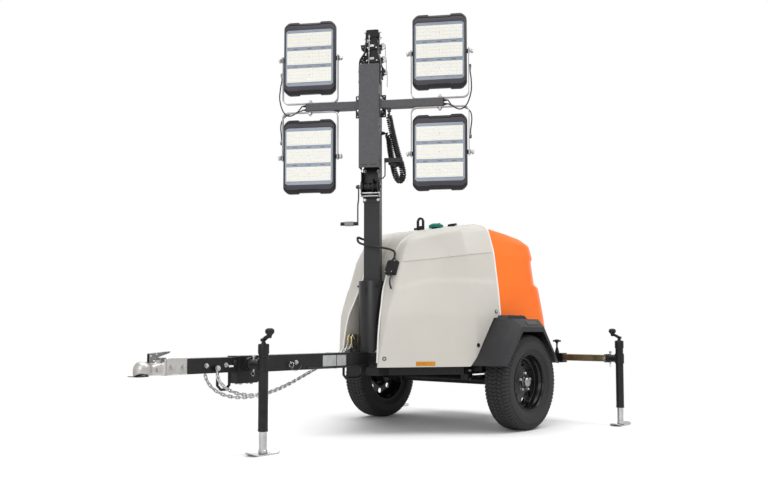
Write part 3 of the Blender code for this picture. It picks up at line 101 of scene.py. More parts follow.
@dataclass
class Surface:
    """Points, four-sided faces and closing polygons, kept as whole arrays.

    Args:
        points: The corners, one row each.
        quads: Four corner numbers a row.
        caps: Closing polygons as lists of corner numbers.
    """

    points: np.ndarray
    quads: np.ndarray
    caps: list[list[int]] = field(default_factory=list)

    def at(self, *matrices: np.ndarray) -> "Surface":
        """Return the surface moved by the matrices, the last one first."""
        whole = reduce(np.matmul, matrices)
        return Surface(self.points @ whole[:3, :3].T + whole[:3, 3], self.quads, self.caps)

    def copies(self, matrices: list[np.ndarray]) -> "Surface":
        """Return one copy at each matrix, all as one surface: point k of copy i is matrix i times point k."""
        stack = np.asarray(matrices, float)
        points = np.einsum("kij,nj->kni", stack[:, :3, :3], self.points) + stack[:, None, :3, 3]
        starts = np.arange(len(stack)) * len(self.points)
        quads = (self.quads[None] + starts[:, None, None]).reshape(-1, 4)
        caps = [[corner + int(start) for corner in cap] for start in starts for cap in self.caps]
        return Surface(points.reshape(-1, 3), quads, caps)


def joined(*surfaces: Surface) -> Surface:
    """Put several surfaces in one, each with its own corners.

    Args:
        surfaces: The surfaces, in any number.

    Returns:
        One surface.
    """
    starts = np.cumsum([0] + [len(one.points) for one in surfaces])
    quads = [one.quads + start for one, start in zip(surfaces, starts)]
    caps = [[corner + int(start) for corner in cap] for one, start in zip(surfaces, starts) for cap in one.caps]
    return Surface(np.concatenate([one.points for one in surfaces]), np.concatenate(quads), caps)


def grid_quads(rows: int, columns: int, ring: bool, loop: bool = False) -> np.ndarray:
    """Faces of a grid of points: each joins a point, its right neighbour and the two in the next row.

    Args:
        rows: Rows of points.
        columns: Points in a row.
        ring: Whether the last column joins the first.
        loop: Whether the last row joins the first.

    Returns:
        Corner numbers, four a row.
    """
    row = np.arange(rows if loop else rows - 1)[:, None]
    column = np.arange(columns if ring else columns - 1)[None, :]
    below, right = (row + 1) % rows, (column + 1) % columns
    corners = (row * columns + column, row * columns + right, below * columns + right, below * columns + column)
    return np.stack(corners, -1).reshape(-1, 4)


def woven(grid: np.ndarray, ring: bool = True, loop: bool = False, capped: bool = True) -> Surface:
    """Turn rows of points into a surface, with its two ends closed where asked.

    Args:
        grid: Points in rows.
        ring: Whether a row closes on itself.
        loop: Whether the last row joins the first.
        capped: Whether open ends are closed.

    Returns:
        The surface.
    """
    rows, columns = grid.shape[:2]
    caps = []
    if capped and ring and not loop:
        caps = [list(range(columns))[::-1], list(range((rows - 1) * columns, rows * columns))]
    return Surface(grid.reshape(-1, 3), grid_quads(rows, columns, ring, loop), caps)


def circle(radius: float, sides: int) -> np.ndarray:
    """Points of a circle: radius times (cosine, sine) of even angles."""
    angles = np.arange(sides) * 2 * math.pi / sides
    return radius * np.stack((np.cos(angles), np.sin(angles)), -1)


def carried(path: np.ndarray, profile: np.ndarray, upright: tuple = (0, 0, 1), loop: bool = False,
            swell: np.ndarray | None = None) -> Surface:
    """Carry a profile along a path: path point + side * across + up * height, square to the path.

    Args:
        path: Points of the path.
        profile: Closed outline as (across, height) pairs.
        upright: A direction that the path never runs along.
        loop: Whether the path closes on itself.
        swell: A scale for the profile at each path point.

    Returns:
        The closed surface.
    """
    path = np.asarray(path, float)
    if loop:
        along = np.roll(path, -1, 0) - np.roll(path, 1, 0)
    else:
        along = np.gradient(path, axis=0)
    along = unit(along)
    side = unit(np.cross(along, np.asarray(upright, float)))
    above = np.cross(side, along)
    scale = np.ones(len(path)) if swell is None else swell
    outline = profile[None] * scale[:, None, None]
    grid = path[:, None] + side[:, None] * outline[..., :1] + above[:, None] * outline[..., 1:]
    return woven(grid, True, loop)


def turned(profile: list[tuple[float, float]], sides: int = 48, closed: bool = False) -> Surface:
    """Turn a profile of (radius, height) about Z: (radius cos, radius sin, height) at even angles.

    Args:
        profile: The points, in order along the outline.
        sides: Steps round the axis.
        closed: Whether the profile's end joins its start, as for a ring.

    Returns:
        The surface, its ends closed by polygons where they aren't on the axis.
    """
    shape = np.asarray(profile, float)
    shape[:, 0] = np.maximum(shape[:, 0], 1e-5)
    around = circle(1.0, sides)
    grid = np.empty((len(shape), sides, 3))
    grid[..., :2] = shape[:, None, :1] * around[None]
    grid[..., 2] = shape[:, 1:]
    return woven(grid, True, closed)


def rounded(profile: list[tuple[float, float]], radius: float, steps: int = 3) -> list[tuple[float, float]]:
    """Round the inner corners of an open outline with quadratic arcs: (1-t)^2 a + 2t(1-t) b + t^2 c.

    Args:
        profile: The outline's points.
        radius: How far from a corner its arc starts.
        steps: Steps in an arc.

    Returns:
        The new points.
    """
    shape = np.asarray(profile, float)
    before, corner, after = shape[:-2], shape[1:-1], shape[2:]
    back, ahead = before - corner, after - corner
    reach = np.minimum(radius, np.minimum(np.linalg.norm(back, axis=1), np.linalg.norm(ahead, axis=1)) * 0.45)
    start, end = corner + unit(back) * reach[:, None], corner + unit(ahead) * reach[:, None]
    share = np.linspace(0, 1, steps + 1)[None, :, None]
    arcs = (1 - share) ** 2 * start[:, None] + 2 * share * (1 - share) * corner[:, None] + share ** 2 * end[:, None]
    whole = np.concatenate((shape[:1], arcs.reshape(-1, 2), shape[-1:]))
    return [tuple(point) for point in whole]


def rounded_outline(points: list[tuple[float, float]], radius: float, steps: int = 4) -> np.ndarray:
    """Round every corner of a closed outline.

    Args:
        points: The outline's corners.
        radius: How far from a corner its arc starts.
        steps: Steps in an arc.

    Returns:
        The new points, one a row.
    """
    shape = np.asarray(points, float)
    middle = (shape[-1] + shape[0]) / 2
    opened = [tuple(middle)] + [tuple(point) for point in shape] + [tuple(middle)]
    return np.asarray(rounded(opened, radius, steps))[1:]


def rectangle(width: float, height: float, radius: float, steps: int = 4) -> np.ndarray:
    """A rectangle with rounded corners, centred."""
    across, up = width / 2, height / 2
    return rounded_outline([(across, -up), (across, up), (-across, up), (-across, -up)], radius, steps)


def inset(outline: np.ndarray, depth: float) -> np.ndarray:
    """Move a closed outline inwards: point - depth * (n1 + n2) / (1 + n1.n2), with both side normals.

    Args:
        outline: Points of the outline.
        depth: How far it moves.

    Returns:
        The moved points.
    """
    after = np.roll(outline, -1, 0) - outline
    normal = unit(np.stack((after[:, 1], -after[:, 0]), -1))
    earlier = np.roll(normal, 1, 0)
    area = np.sum(outline[:, 0] * np.roll(outline[:, 1], -1) - np.roll(outline[:, 0], -1) * outline[:, 1])
    share = (normal + earlier) / (1 + np.sum(normal * earlier, -1, keepdims=True))
    return outline - depth * share * math.copysign(1.0, area)


def slab(outline: np.ndarray, depth: float, bevel: float = 0.001) -> Surface:
    """A flat outline with a thickness along Z and bevelled edges: four rings, the outer two drawn in.

    Args:
        outline: Points of the outline.
        depth: The whole thickness.
        bevel: Width of the bevel.

    Returns:
        The closed surface, centred on its thickness.
    """
    outline = np.asarray(outline, float)
    small = inset(outline, bevel)
    rings = ((small, -depth / 2), (outline, -depth / 2 + bevel), (outline, depth / 2 - bevel), (small, depth / 2))
    grid = np.stack([np.column_stack((ring, np.full(len(ring), height))) for ring, height in rings])
    return woven(grid)


def block(width: float, length: float, height: float, bevel: float = 0.001, corner: float = 0.0015) -> Surface:
    """A box with its edges and corners eased, centred."""
    return slab(rectangle(width, length, corner, 2), height, bevel)


def bar(radius: float, length: float, sides: int = 20, bevel: float = 0.001) -> Surface:
    """A round bar along Z with eased ends, centred."""
    half = length / 2
    return turned([(radius - bevel, -half), (radius, -half + bevel), (radius, half - bevel),
                   (radius - bevel, half)],
                  sides)


def hexagon(across: float, height: float) -> Surface:
    """A hexagon head or nut along Z, its foot at zero."""
    return slab(circle(across / math.sqrt(3), 6), height, height * 0.12).at(shift(0, 0, height / 2))


def bolt(size: float, washer: bool = True, tail: float = 0.0) -> Surface:
    """A hexagon bolt head on its washer along Z, with the thread's end beyond it where asked.

    Args:
        size: Thread diameter.
        washer: Whether it has one.
        tail: How far the thread's end shows.

    Returns:
        The surface, its foot at zero.
    """
    sheet = size * 0.12 if washer else 0.0
    parts = [hexagon(size * 1.65, size * 0.65).at(shift(0, 0, sheet))]
    if washer:
        parts.append(bar(size * 1.15, sheet, 20, sheet * 0.2).at(shift(0, 0, sheet / 2)))
    if tail:
        parts.append(bar(size / 2, tail, 14, size * 0.08).at(shift(0, 0, sheet + size * 0.6 + tail / 2)))
    return joined(*parts)


def smooth_path(controls: list, spacing: float) -> np.ndarray:
    """Even points on a smooth curve through the controls.

    Each stretch is a blend of four neighbours: half of 2b + (c-a)t + (2a-5b+4c-d)t^2 + (3b-a-3c+d)t^3.

    Args:
        controls: Points that the curve passes through.
        spacing: About how far apart the new points lie.

    Returns:
        The points, one a row.
    """
    marks = np.asarray(controls, float)
    marks = np.concatenate((2 * marks[:1] - marks[1:2], marks, 2 * marks[-1:] - marks[-2:-1]))
    a, b, c, d = (marks[start:len(marks) - 3 + start, None] for start in range(4))
    t = np.linspace(0, 1, 24, endpoint=False)[None, :, None]
    fine = (2 * b + (c - a) * t + (2 * a - 5 * b + 4 * c - d) * t ** 2 + (3 * b - a - 3 * c + d) * t ** 3) / 2
    fine = np.concatenate((fine.reshape(-1, marks.shape[1]), marks[-2:-1]))
    return evenly(fine, spacing)


def evenly(path: np.ndarray, spacing: float) -> np.ndarray:
    """Points at even distances along a path, by reading it off against its running length.

    Args:
        path: Points of the path.
        spacing: About how far apart the new points lie.

    Returns:
        The new points.
    """
    walked = np.concatenate(([0.0], np.cumsum(np.linalg.norm(np.diff(path, axis=0), axis=1))))
    count = max(int(round(walked[-1] / spacing)), 2) + 1
    marks = np.linspace(0, walked[-1], count)
    return np.stack([np.interp(marks, walked, path[:, axis]) for axis in range(path.shape[1])], -1)


def wire(controls: list, radius: float, spacing: float = 0.006, sides: int = 12,
         upright: tuple = (0, 0, 1)) -> Surface:
    """A round rod along a smooth path."""
    return carried(smooth_path(controls, spacing), circle(radius, sides), upright)


def bent(controls: list, radius: float, bend: float, sides: int = 12, upright: tuple = (0, 0, 1)) -> Surface:
    """A round rod of straight runs with rounded bends.

    Args:
        controls: Corners of the path.
        radius: The rod's radius.
        bend: How far a bend reaches.
        sides: Steps round the rod.
        upright: A direction that the path never runs along.

    Returns:
        The rod.
    """
    marks = np.asarray(controls, float)
    before, corner, after = marks[:-2], marks[1:-1], marks[2:]
    start = corner + unit(before - corner) * bend
    end = corner + unit(after - corner) * bend
    share = np.linspace(0, 1, 7)[None, :, None]
    arcs = (1 - share) ** 2 * start[:, None] + 2 * share * (1 - share) * corner[:, None] + share ** 2 * end[:, None]
    path = np.concatenate((marks[:1], arcs.reshape(-1, 3), marks[-1:]))
    return carried(path, circle(radius, sides), upright)


def softened(grid: np.ndarray, rows: float, columns: float) -> np.ndarray:
    """Blur a grid of points with a bell curve, its edge rows and columns held in place.

    Args:
        grid: Points in rows.
        rows: Width of the blur across rows, in steps.
        columns: Width of the blur along a row, in steps.

    Returns:
        The blurred grid: each point is the weighted mean of its neighbours, with 2 * edge - mirror beyond an edge.
    """
    for axis, width in ((0, rows), (1, columns)):
        reach = int(math.ceil(width * 3))
        if reach < 1:
            continue
        offsets = np.arange(-reach, reach + 1)
        weights = np.exp(-offsets ** 2 / (2 * width ** 2))
        weights /= weights.sum()
        turned_grid = np.moveaxis(grid, axis, 0)
        head = 2 * turned_grid[:1] - turned_grid[1:reach + 1][::-1]
        tail = 2 * turned_grid[-1:] - turned_grid[-reach - 1:-1][::-1]
        padded = np.concatenate((head, turned_grid, tail))
        size = len(turned_grid)
        turned_grid = sum(weight * padded[start:start + size] for start, weight in enumerate(weights))
        grid = np.moveaxis(turned_grid, 0, axis)
    return grid


def outward(grid: np.ndarray) -> np.ndarray:
    """Unit normals of a grid of points, turned away from the plane x = 0."""
    normal = unit(np.cross(np.gradient(grid, axis=1), np.gradient(grid, axis=0)))
    return normal * math.copysign(1.0, float(np.sum(normal[..., 0] * np.sign(grid[..., 0]))))


def resampled(rows: list, spacing: float) -> np.ndarray:
    """Fill in a grid of control points by straight lines both ways, with about the same step everywhere.

    Args:
        rows: Control points in rows.
        spacing: About how far apart the new points lie.

    Returns:
        The filled grid.
    """
    control = np.asarray(rows, float)
    for axis in (1, 0):
        lengths = np.linalg.norm(np.diff(control, axis=axis), axis=-1)
        longest = lengths.max(axis=1 - axis)
        counts = np.maximum(np.round(longest / spacing).astype(int), 1)
        marks = np.concatenate([index + np.arange(count) / count for index, count in enumerate(counts)]
                               + [[float(len(counts))]])
        low = np.minimum(marks.astype(int), len(counts) - 1)
        share = marks - low
        share = share[None, :, None] if axis == 1 else share[:, None, None]
        control = np.take(control, low, axis) * (1 - share) + np.take(control, low + 1, axis) * share
    return control


# Putting pieces in the scene

def to_mesh(name: str, surface: Surface, mend: bool = True) -> bpy.types.Mesh:
    """Make a mesh of a surface, with faces turned outwards.

    Args:
        name: The mesh's name.
        surface: The surface.
        mend: Whether to merge doubles and work the normals out again.

    Returns:
        The new mesh.
    """
    mesh = bpy.data.meshes.new(name)
    mesh.from_pydata(surface.points, [], surface.quads.tolist() + surface.caps)
    if mend:
        bm = bmesh.new()
        bm.from_mesh(mesh)
        bmesh.ops.remove_doubles(bm, verts=bm.verts, dist=2e-6)
        bmesh.ops.dissolve_degenerate(bm, edges=bm.edges, dist=1e-7)
        bmesh.ops.recalc_face_normals(bm, faces=bm.faces)
        bm.to_mesh(mesh)
        bm.free()
    return mesh


def in_scene(name: str, mesh: bpy.types.Mesh) -> bpy.types.Object:
    """Put a mesh in the scene as an object."""
    made = bpy.data.objects.new(name, mesh)
    bpy.context.scene.collection.objects.link(made)
    return made


def piece(name: str, surface: Surface, body: str, finish: "Finish", angle: float = 35.0,
          replaces: tuple[str, ...] = ()) -> bpy.types.Object:
    """Make a finished piece of the object.

    Args:
        name: The piece's name.
        surface: Its shape, in the row frame.
        body: The CAD body that it rides on.
        finish: Its surface finish.
        angle: Edges sharper than this stay sharp, in degrees.
        replaces: CAD nodes that it stands for.

    Returns:
        The object.
    """
    mesh = to_mesh(name, surface)
    return settle(in_scene(name, mesh), body, finish, angle, replaces)


def settle(made: bpy.types.Object, body: str, finish: "Finish", angle: float = 35.0,
           replaces: tuple[str, ...] = ()) -> bpy.types.Object:
    """Shade a new object, give it its finish and let it ride on its body.

    Args:
        made: The object.
        body: The CAD body that it rides on.
        finish: Its surface finish.
        angle: Edges sharper than this stay sharp, in degrees.
        replaces: CAD nodes that it stands for.

    Returns:
        The object.
    """
    made.data.shade_smooth()
    made.data.set_sharp_from_angle(angle=math.radians(angle))
    made.data.materials.clear()
    made.data.materials.append(finish.material())
    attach(made, body)
    if replaces:
        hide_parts(*replaces)
    LOG.info("%s: %d faces on %s", made.name, len(made.data.polygons), body)
    return made


def carved(made: bpy.types.Object, *cutters: Surface) -> bpy.types.Object:
    """Cut surfaces out of an object and keep the result as its mesh.

    Args:
        made: The object.
        cutters: What is cut out of it.

    Returns:
        The object.
    """
    tools = [in_scene("cutter", to_mesh("cutter", cutter)) for cutter in cutters]
    for tool in tools:
        step = made.modifiers.new("carve", "BOOLEAN")
        step.operation = "DIFFERENCE"
        step.solver = "EXACT"
        step.object = tool
    bake(made)
    for tool in tools:
        bpy.data.objects.remove(tool, do_unlink=True)
    return made


def bake(made: bpy.types.Object) -> bpy.types.Object:
    """Keep what the modifiers make as the object's own mesh.

    Args:
        made: The object.

    Returns:
        The object, without modifiers.
    """
    bpy.context.view_layer.update()
    graph = bpy.context.evaluated_depsgraph_get()
    mesh = bpy.data.meshes.new_from_object(made.evaluated_get(graph))
    made.modifiers.clear()
    made.data = mesh
    return made


def ease(made: bpy.types.Object, width: float, segments: int = 2, angle: float = 32.0) -> bpy.types.Object:
    """Round an object's sharp edges with a bevel.

    Args:
        made: The object.
        width: Width of the bevel.
        segments: Steps across it.
        angle: Edges sharper than this are eased, in degrees.

    Returns:
        The object.
    """
    step = made.modifiers.new("eased_edges", "BEVEL")
    step.width = width
    step.segments = segments
    step.limit_method = "ANGLE"
    step.angle_limit = math.radians(angle)
    step.use_clamp_overlap = True
    return made


# Finishes

class Graph:
    """A material's nodes, added one by one and linked as they come."""

    def __init__(self, name: str) -> None:
        """Start a material with its Principled shader."""
        self.material = bpy.data.materials.new(name)
        self.material.use_nodes = True
        self.tree = self.material.node_tree
        self.shader = self.tree.nodes["Principled BSDF"]
        self.place = self.node("ShaderNodeTexCoord").outputs["Object"]

    def node(self, kind: str, wiring: dict | None = None, **settings: object) -> bpy.types.Node:
        """Add a node, set its options and fill its inputs with sockets or plain values.

        Args:
            kind: The node's type.
            wiring: Sockets or plain values for its inputs.
            settings: Its options.

        Returns:
            The node.
        """
        made = self.tree.nodes.new(kind)
        for option, value in settings.items():
            setattr(made, option, value)
        for socket, value in (wiring or {}).items():
            self.plug(value, made.inputs[socket])
        return made

    def plug(self, value: object, socket: bpy.types.NodeSocket) -> None:
        """Link a socket, or set a plain value."""
        if isinstance(value, bpy.types.NodeSocket):
            self.tree.links.new(value, socket)
        else:
            socket.default_value = value

    def set(self, socket: str, value: object) -> None:
        """Fill an input of the shader."""
        self.plug(value, self.shader.inputs[socket])

    def noise(self, scale: float, detail: float = 3.0, place: object = None) -> bpy.types.NodeSocket:
        """Cloudy noise, scale per metre."""
        wiring = {"Vector": place or self.place, "Scale": scale, "Detail": detail, "Roughness": 0.55}
        return self.node("ShaderNodeTexNoise", wiring).outputs["Fac"]

    def cells(self, scale: float, feature: str = "F1", place: object = None, output: str = "Distance",
              random: float = 1.0) -> bpy.types.NodeSocket:
        """A pattern of cells, scale per metre."""
        wiring = {"Vector": place or self.place, "Scale": scale, "Randomness": random}
        return self.node("ShaderNodeTexVoronoi", wiring, feature=feature).outputs[output]

    def stretched(self, x: float, y: float, z: float) -> bpy.types.NodeSocket:
        """The object's coordinates, scaled along each axis."""
        node = self.node("ShaderNodeMapping", {"Vector": self.place})
        node.inputs["Scale"].default_value = (x, y, z)
        return node.outputs["Vector"]

    def span(self, value: object, low: float, high: float, first: float = 0.0, last: float = 1.0) -> object:
        """Map a value from low..high to first..last, held at the ends."""
        wiring = {"Value": value, "From Min": low, "From Max": high, "To Min": first, "To Max": last}
        return self.node("ShaderNodeMapRange", wiring).outputs["Result"]

    def times(self, first: object, second: object) -> bpy.types.NodeSocket:
        """Multiply two values."""
        return self.node("ShaderNodeMath", {0: first, 1: second}, operation="MULTIPLY").outputs[0]

    def plus(self, first: object, second: object) -> bpy.types.NodeSocket:
        """Add two values."""
        return self.node("ShaderNodeMath", {0: first, 1: second}, operation="ADD").outputs[0]

    def blend(self, share: object, first: object, second: object) -> bpy.types.NodeSocket:
        """Blend two colours."""
        wiring = {0: share, 6: whole(first), 7: whole(second)}
        return self.node("ShaderNodeMix", wiring, data_type="RGBA").outputs[2]

    def bump(self, height: object, depth: float, normal: object = None) -> bpy.types.NodeSocket:
        """Raise the surface by height times depth in metres.

        Args:
            height: The height, 0 to 1.
            depth: What a height of 1 is, in metres.
            normal: A normal to start from.

        Returns:
            The new normal.
        """
        wiring = {"Height": height, "Distance": depth, "Strength": 1.0}
        if normal is not None:
            wiring["Normal"] = normal
        return self.node("ShaderNodeBump", wiring).outputs["Normal"]

    def edge_wear_and_highlight_mask(self, radius: float) -> bpy.types.NodeSocket:
        """How much a point lies on an edge, for edge wear and a painted highlight: where the rounded and the plain
        normal differ.

        Args:
            radius: How wide an edge's wear and painted highlight are.

        Returns:
            A value from 0 to 1.
        """
        rounded_normal = self.node("ShaderNodeBevel", {"Radius": radius}, samples=3).outputs["Normal"]
        plain = self.node("ShaderNodeNewGeometry").outputs["Normal"]
        alike = self.node("ShaderNodeVectorMath", {0: rounded_normal, 1: plain}, operation="DOT_PRODUCT")
        return self.span(alike.outputs["Value"], 0.97, 0.75)


def whole(colour: object) -> object:
    """Give a plain colour its fourth number."""
    return (*colour, 1.0) if isinstance(colour, tuple) else colour


@dataclass(frozen=True)
class Finish:
    """A surface finish, worked out from the object's own coordinates.

    Args:
        name: The material's name.
        colour: Its main colour, linear.
        drift: The colour that it drifts to in soft patches.
        roughness: Its middle roughness.
        spread: How far the roughness drifts.
        metallic: 1 for bare metal.
        coat: Strength of a clear coat.
        patches: Patches a metre.
        grain: Fine bumps a metre.
        relief: Depth of the fine bumps, in metres.
        edge: The colour of worn edges, or None.
        dust: How much pale dust settles low down.
        gloss: Strength of the plain reflection.
    """

    name: str
    colour: Colour
    drift: Colour
    roughness: float = 0.4
    spread: float = 0.08
    metallic: float = 0.0
    coat: float = 0.0
    patches: float = 7.0
    grain: float = 900.0
    relief: float = 0.00002
    # edge: The colour of edges, lightened for wear and as a painted highlight, or None.
    edge: Colour | None = None
    dust: float = 0.0
    gloss: float = 0.22

    def material(self) -> bpy.types.Material:
        """Return the material, made on first use."""
        found = bpy.data.materials.get(self.name)
        if found:
            return found
        graph = Graph(self.name)
        self.paint(graph)
        return graph.material

    def paint(self, graph: Graph) -> None:
        """Lay colour, gloss and relief on the shader.

        Args:
            graph: The material's nodes.
        """
        cloud = graph.noise(self.patches, 4.0)
        colour = graph.blend(graph.span(cloud, 0.35, 0.68), self.colour, self.drift)
        fine = graph.noise(self.grain, 2.0)
        rough = graph.span(cloud, 0.3, 0.7, self.roughness - self.spread, self.roughness + self.spread)
        # Edges turn lighter in noisy patches: partly edge wear, partly a painted highlight.
        if self.edge:
            edge_wear_and_highlight = graph.times(graph.edge_wear_and_highlight_mask(0.0025), graph.span(graph.noise(60.0), 0.35, 0.6, 0.25, 1.0))
            colour = graph.blend(edge_wear_and_highlight, colour, self.edge)
        if self.dust:
            height = graph.node("ShaderNodeSeparateXYZ", {"Vector": graph.place}).outputs["Z"]
            settled = graph.times(graph.span(height, 0.55, 0.02, 0.0, self.dust),
                                  graph.span(graph.noise(24.0, 5.0), 0.4, 0.7))
            colour = graph.blend(settled, colour, (0.30, 0.27, 0.23))
            rough = graph.plus(rough, graph.times(settled, 0.4))
        graph.set("Base Color", self.finishing(graph, colour))
        graph.set("Roughness", rough)
        graph.set("Metallic", self.metallic)
        graph.set("Specular IOR Level", self.gloss)
        graph.set("Coat Weight", self.coat)
        graph.set("Coat Roughness", 0.08)
        graph.set("Normal", self.surface(graph, fine))

    def finishing(self, graph: Graph, colour: object) -> object:
        """Return the colour with what this kind of finish adds to it."""
        return colour

    def surface(self, graph: Graph, fine: object) -> object:
        """Return the normal with this finish's relief."""
        return graph.bump(fine, self.relief)


class Plating(Finish):
    """Zinc plate with its flowery crystals and faint streaks."""

    def finishing(self, graph: Graph, colour: object) -> object:
        """Darken some crystals and draw streaks along the metal."""
        crystals = graph.cells(260.0, output="Color")
        grey = graph.node("ShaderNodeSeparateColor", {"Color": crystals}).outputs["Red"]
        streak = graph.noise(18.0, 4.0, graph.stretched(1.0, 1.0, 9.0))
        toned = graph.blend(graph.span(grey, 0.0, 1.0, 0.0, 0.18), colour, self.drift)
        return graph.blend(graph.span(streak, 0.45, 0.75, 0.0, 0.3), toned, self.drift)


class Moulding(Finish):
    """Moulded, glossy plastic with the soft waviness of a rotational mould."""

    def surface(self, graph: Graph, fine: object) -> object:
        """Add long, shallow waves under the fine skin."""
        waves = graph.bump(graph.noise(9.0, 1.0), 0.0009)
        return graph.bump(fine, self.relief, waves)


class Tread(Finish):
    """Tyre rubber with a fine cloudy relief over its grain."""

    def surface(self, graph: Graph, fine: object) -> object:
        """Add a fine cloudy relief over the grain."""
        return graph.bump(graph.noise(140.0, 5.0), 0.00025, graph.bump(fine, self.relief))


class Prism(Finish):
    """A reflector with small prisms under a clear skin."""

    def finishing(self, graph: Graph, colour: object) -> object:
        """Tone the prisms one by one."""
        cells = graph.cells(420.0, output="Color", random=0.2)
        grey = graph.node("ShaderNodeSeparateColor", {"Color": cells}).outputs["Green"]
        return graph.blend(grey, colour, self.drift)

    def surface(self, graph: Graph, fine: object) -> object:
        """Raise each prism."""
        return graph.bump(graph.cells(420.0, random=0.2), 0.0008)


BLACK = Finish("satin_black_paint", (0.0085, 0.0085, 0.0092), (0.014, 0.014, 0.015), 0.34, 0.06, grain=700.0,
               relief=0.00003, edge=(0.045, 0.045, 0.048), dust=0.04)
CHARCOAL = Finish("textured_charcoal_paint", (0.030, 0.030, 0.032), (0.038, 0.038, 0.041), 0.48, 0.06,
                  grain=520.0, relief=0.00016, edge=(0.075, 0.075, 0.08))
FENDER = Finish("textured_fender_paint", (0.022, 0.022, 0.024), (0.029, 0.029, 0.031), 0.46, 0.06,
                grain=520.0, relief=0.00014, edge=(0.06, 0.06, 0.065))
GLOSS_BLACK = Finish("gloss_black_enamel", (0.006, 0.006, 0.0065), (0.010, 0.010, 0.011), 0.20, 0.05, coat=0.12,
                     grain=300.0, relief=0.00002, edge=(0.035, 0.035, 0.035), dust=0.03)
CASTING = Finish("lamp_casting_paint", (0.015, 0.0145, 0.017), (0.021, 0.0205, 0.024), 0.42, 0.05, grain=600.0,
                 relief=0.00012, edge=(0.045, 0.045, 0.05))
VISOR = Finish("lamp_visor_paint", (0.052, 0.048, 0.056), (0.062, 0.058, 0.067), 0.44, 0.05, grain=600.0,
               relief=0.00010, edge=(0.09, 0.085, 0.095))
BEZEL = Finish("grey_lamp_bezel", (0.235, 0.268, 0.315), (0.29, 0.325, 0.37), 0.42, 0.06, 0.35, grain=500.0,
               relief=0.00004)
BEIGE = Moulding("beige_moulded_shell", (0.535, 0.512, 0.468), (0.565, 0.542, 0.497), 0.42, 0.05, coat=0.05,
                 patches=3.0, grain=420.0, relief=0.00005, edge=(0.76, 0.74, 0.70), dust=0.05, gloss=0.3)
ORANGE = Moulding("orange_moulded_shell", (0.90, 0.150, 0.006), (0.93, 0.175, 0.010), 0.42, 0.05, coat=0.04,
                  patches=3.0, grain=420.0, relief=0.00005, edge=(0.95, 0.26, 0.04), dust=0.03, gloss=0.18)
# Pale trim colour; on the recess beads the pale colour is a painted highlight.
PALE_TRIM_AND_HIGHLIGHT = Finish("pale_edge_trim", (0.80, 0.79, 0.76), (0.84, 0.83, 0.80), 0.3, 0.05, gloss=0.4)
ZINC = Plating("bright_zinc_plate", (0.52, 0.52, 0.525), (0.40, 0.40, 0.405), 0.36, 0.07, 1.0, patches=20.0,
               grain=1200.0, relief=0.00001)
SATIN = Plating("satin_zinc_plate", (0.50, 0.485, 0.47), (0.37, 0.36, 0.35), 0.42, 0.07, 1.0, patches=16.0,
                grain=1000.0, relief=0.00002)
YELLOW_ZINC = Plating("yellow_zinc_plate", (0.36, 0.32, 0.19), (0.25, 0.23, 0.14), 0.42, 0.10, 1.0, patches=12.0,
                      grain=1100.0, relief=0.00002)
GOLD = Plating("gold_passivated_plate", (0.72, 0.58, 0.30), (0.52, 0.42, 0.24), 0.33, 0.08, 1.0, patches=24.0)
STEEL = Plating("dull_cast_steel", (0.22, 0.22, 0.225), (0.14, 0.14, 0.145), 0.44, 0.10, 1.0, patches=24.0)
CHROME = Finish("dull_hub_cap", (0.34, 0.34, 0.35), (0.25, 0.25, 0.26), 0.26, 0.05, 1.0)
SHEATH = Finish("black_cable_sheath", (0.008, 0.008, 0.0085), (0.012, 0.012, 0.013), 0.38, 0.08, grain=800.0,
                relief=0.00002, gloss=0.4)
RUBBER = Tread("tyre_rubber", (0.021, 0.021, 0.0218), (0.036, 0.0355, 0.0355), 0.72, 0.08, patches=14.0,
               grain=900.0, relief=0.00005, dust=0.12, gloss=0.2)
# Moulded black plastic; also the thin black discs and slabs of painted shade that stand for holes and slits.
BLACK_PLASTIC_AND_SHADE = Finish("moulded_black_plastic", (0.010, 0.010, 0.0105), (0.015, 0.015, 0.016), 0.42, 0.06, grain=650.0,
                 relief=0.00005)
GREEN = Finish("green_moulded_cap", (0.004, 0.165, 0.112), (0.006, 0.20, 0.135), 0.38, 0.06, grain=500.0,
               relief=0.00004, edge=(0.03, 0.28, 0.2))
WHITE = Finish("white_guide_block", (0.78, 0.78, 0.77), (0.70, 0.70, 0.68), 0.45, 0.06)
BOARD = Finish("white_light_board", (0.74, 0.745, 0.765), (0.78, 0.785, 0.805), 0.30, 0.04, coat=0.3, patches=30.0,
               grain=400.0, relief=0.00002, gloss=0.4)
CHIP = Finish("warm_light_chip", (0.92, 0.80, 0.42), (0.93, 0.84, 0.50), 0.30, 0.04, coat=0.2, patches=60.0)
OPTIC = Finish("clear_moulded_optic", (0.78, 0.785, 0.78), (0.72, 0.73, 0.74), 0.20, 0.04, coat=0.5, patches=80.0)
AMBER = Prism("amber_reflector", (0.76, 0.32, 0.010), (0.55, 0.20, 0.006), 0.22, 0.03, coat=0.3)
RED = Finish("red_plastic", (0.55, 0.02, 0.02), (0.6, 0.03, 0.03), 0.35, 0.05)
BLANK = Finish("brushed_blank_plate", (0.50, 0.505, 0.51), (0.42, 0.425, 0.43), 0.36, 0.08, 1.0, patches=30.0)
ENGINE = Finish("grey_engine_paint", (0.10, 0.11, 0.12), (0.13, 0.14, 0.15), 0.5, 0.08, grain=200.0, relief=0.0002)
YOKE_GREY = Finish("light_grey_strap", (0.40, 0.40, 0.41), (0.33, 0.33, 0.34), 0.40, 0.06, 0.6, grain=700.0,
                   relief=0.00002)
DARK_STEEL = Plating("blackened_steel", (0.060, 0.060, 0.062), (0.038, 0.038, 0.040), 0.36, 0.08, 1.0, patches=24.0)
GRIP_GREY = Finish("grey_grip_sleeve", (0.22, 0.22, 0.225), (0.26, 0.26, 0.265), 0.45, 0.06, grain=700.0)
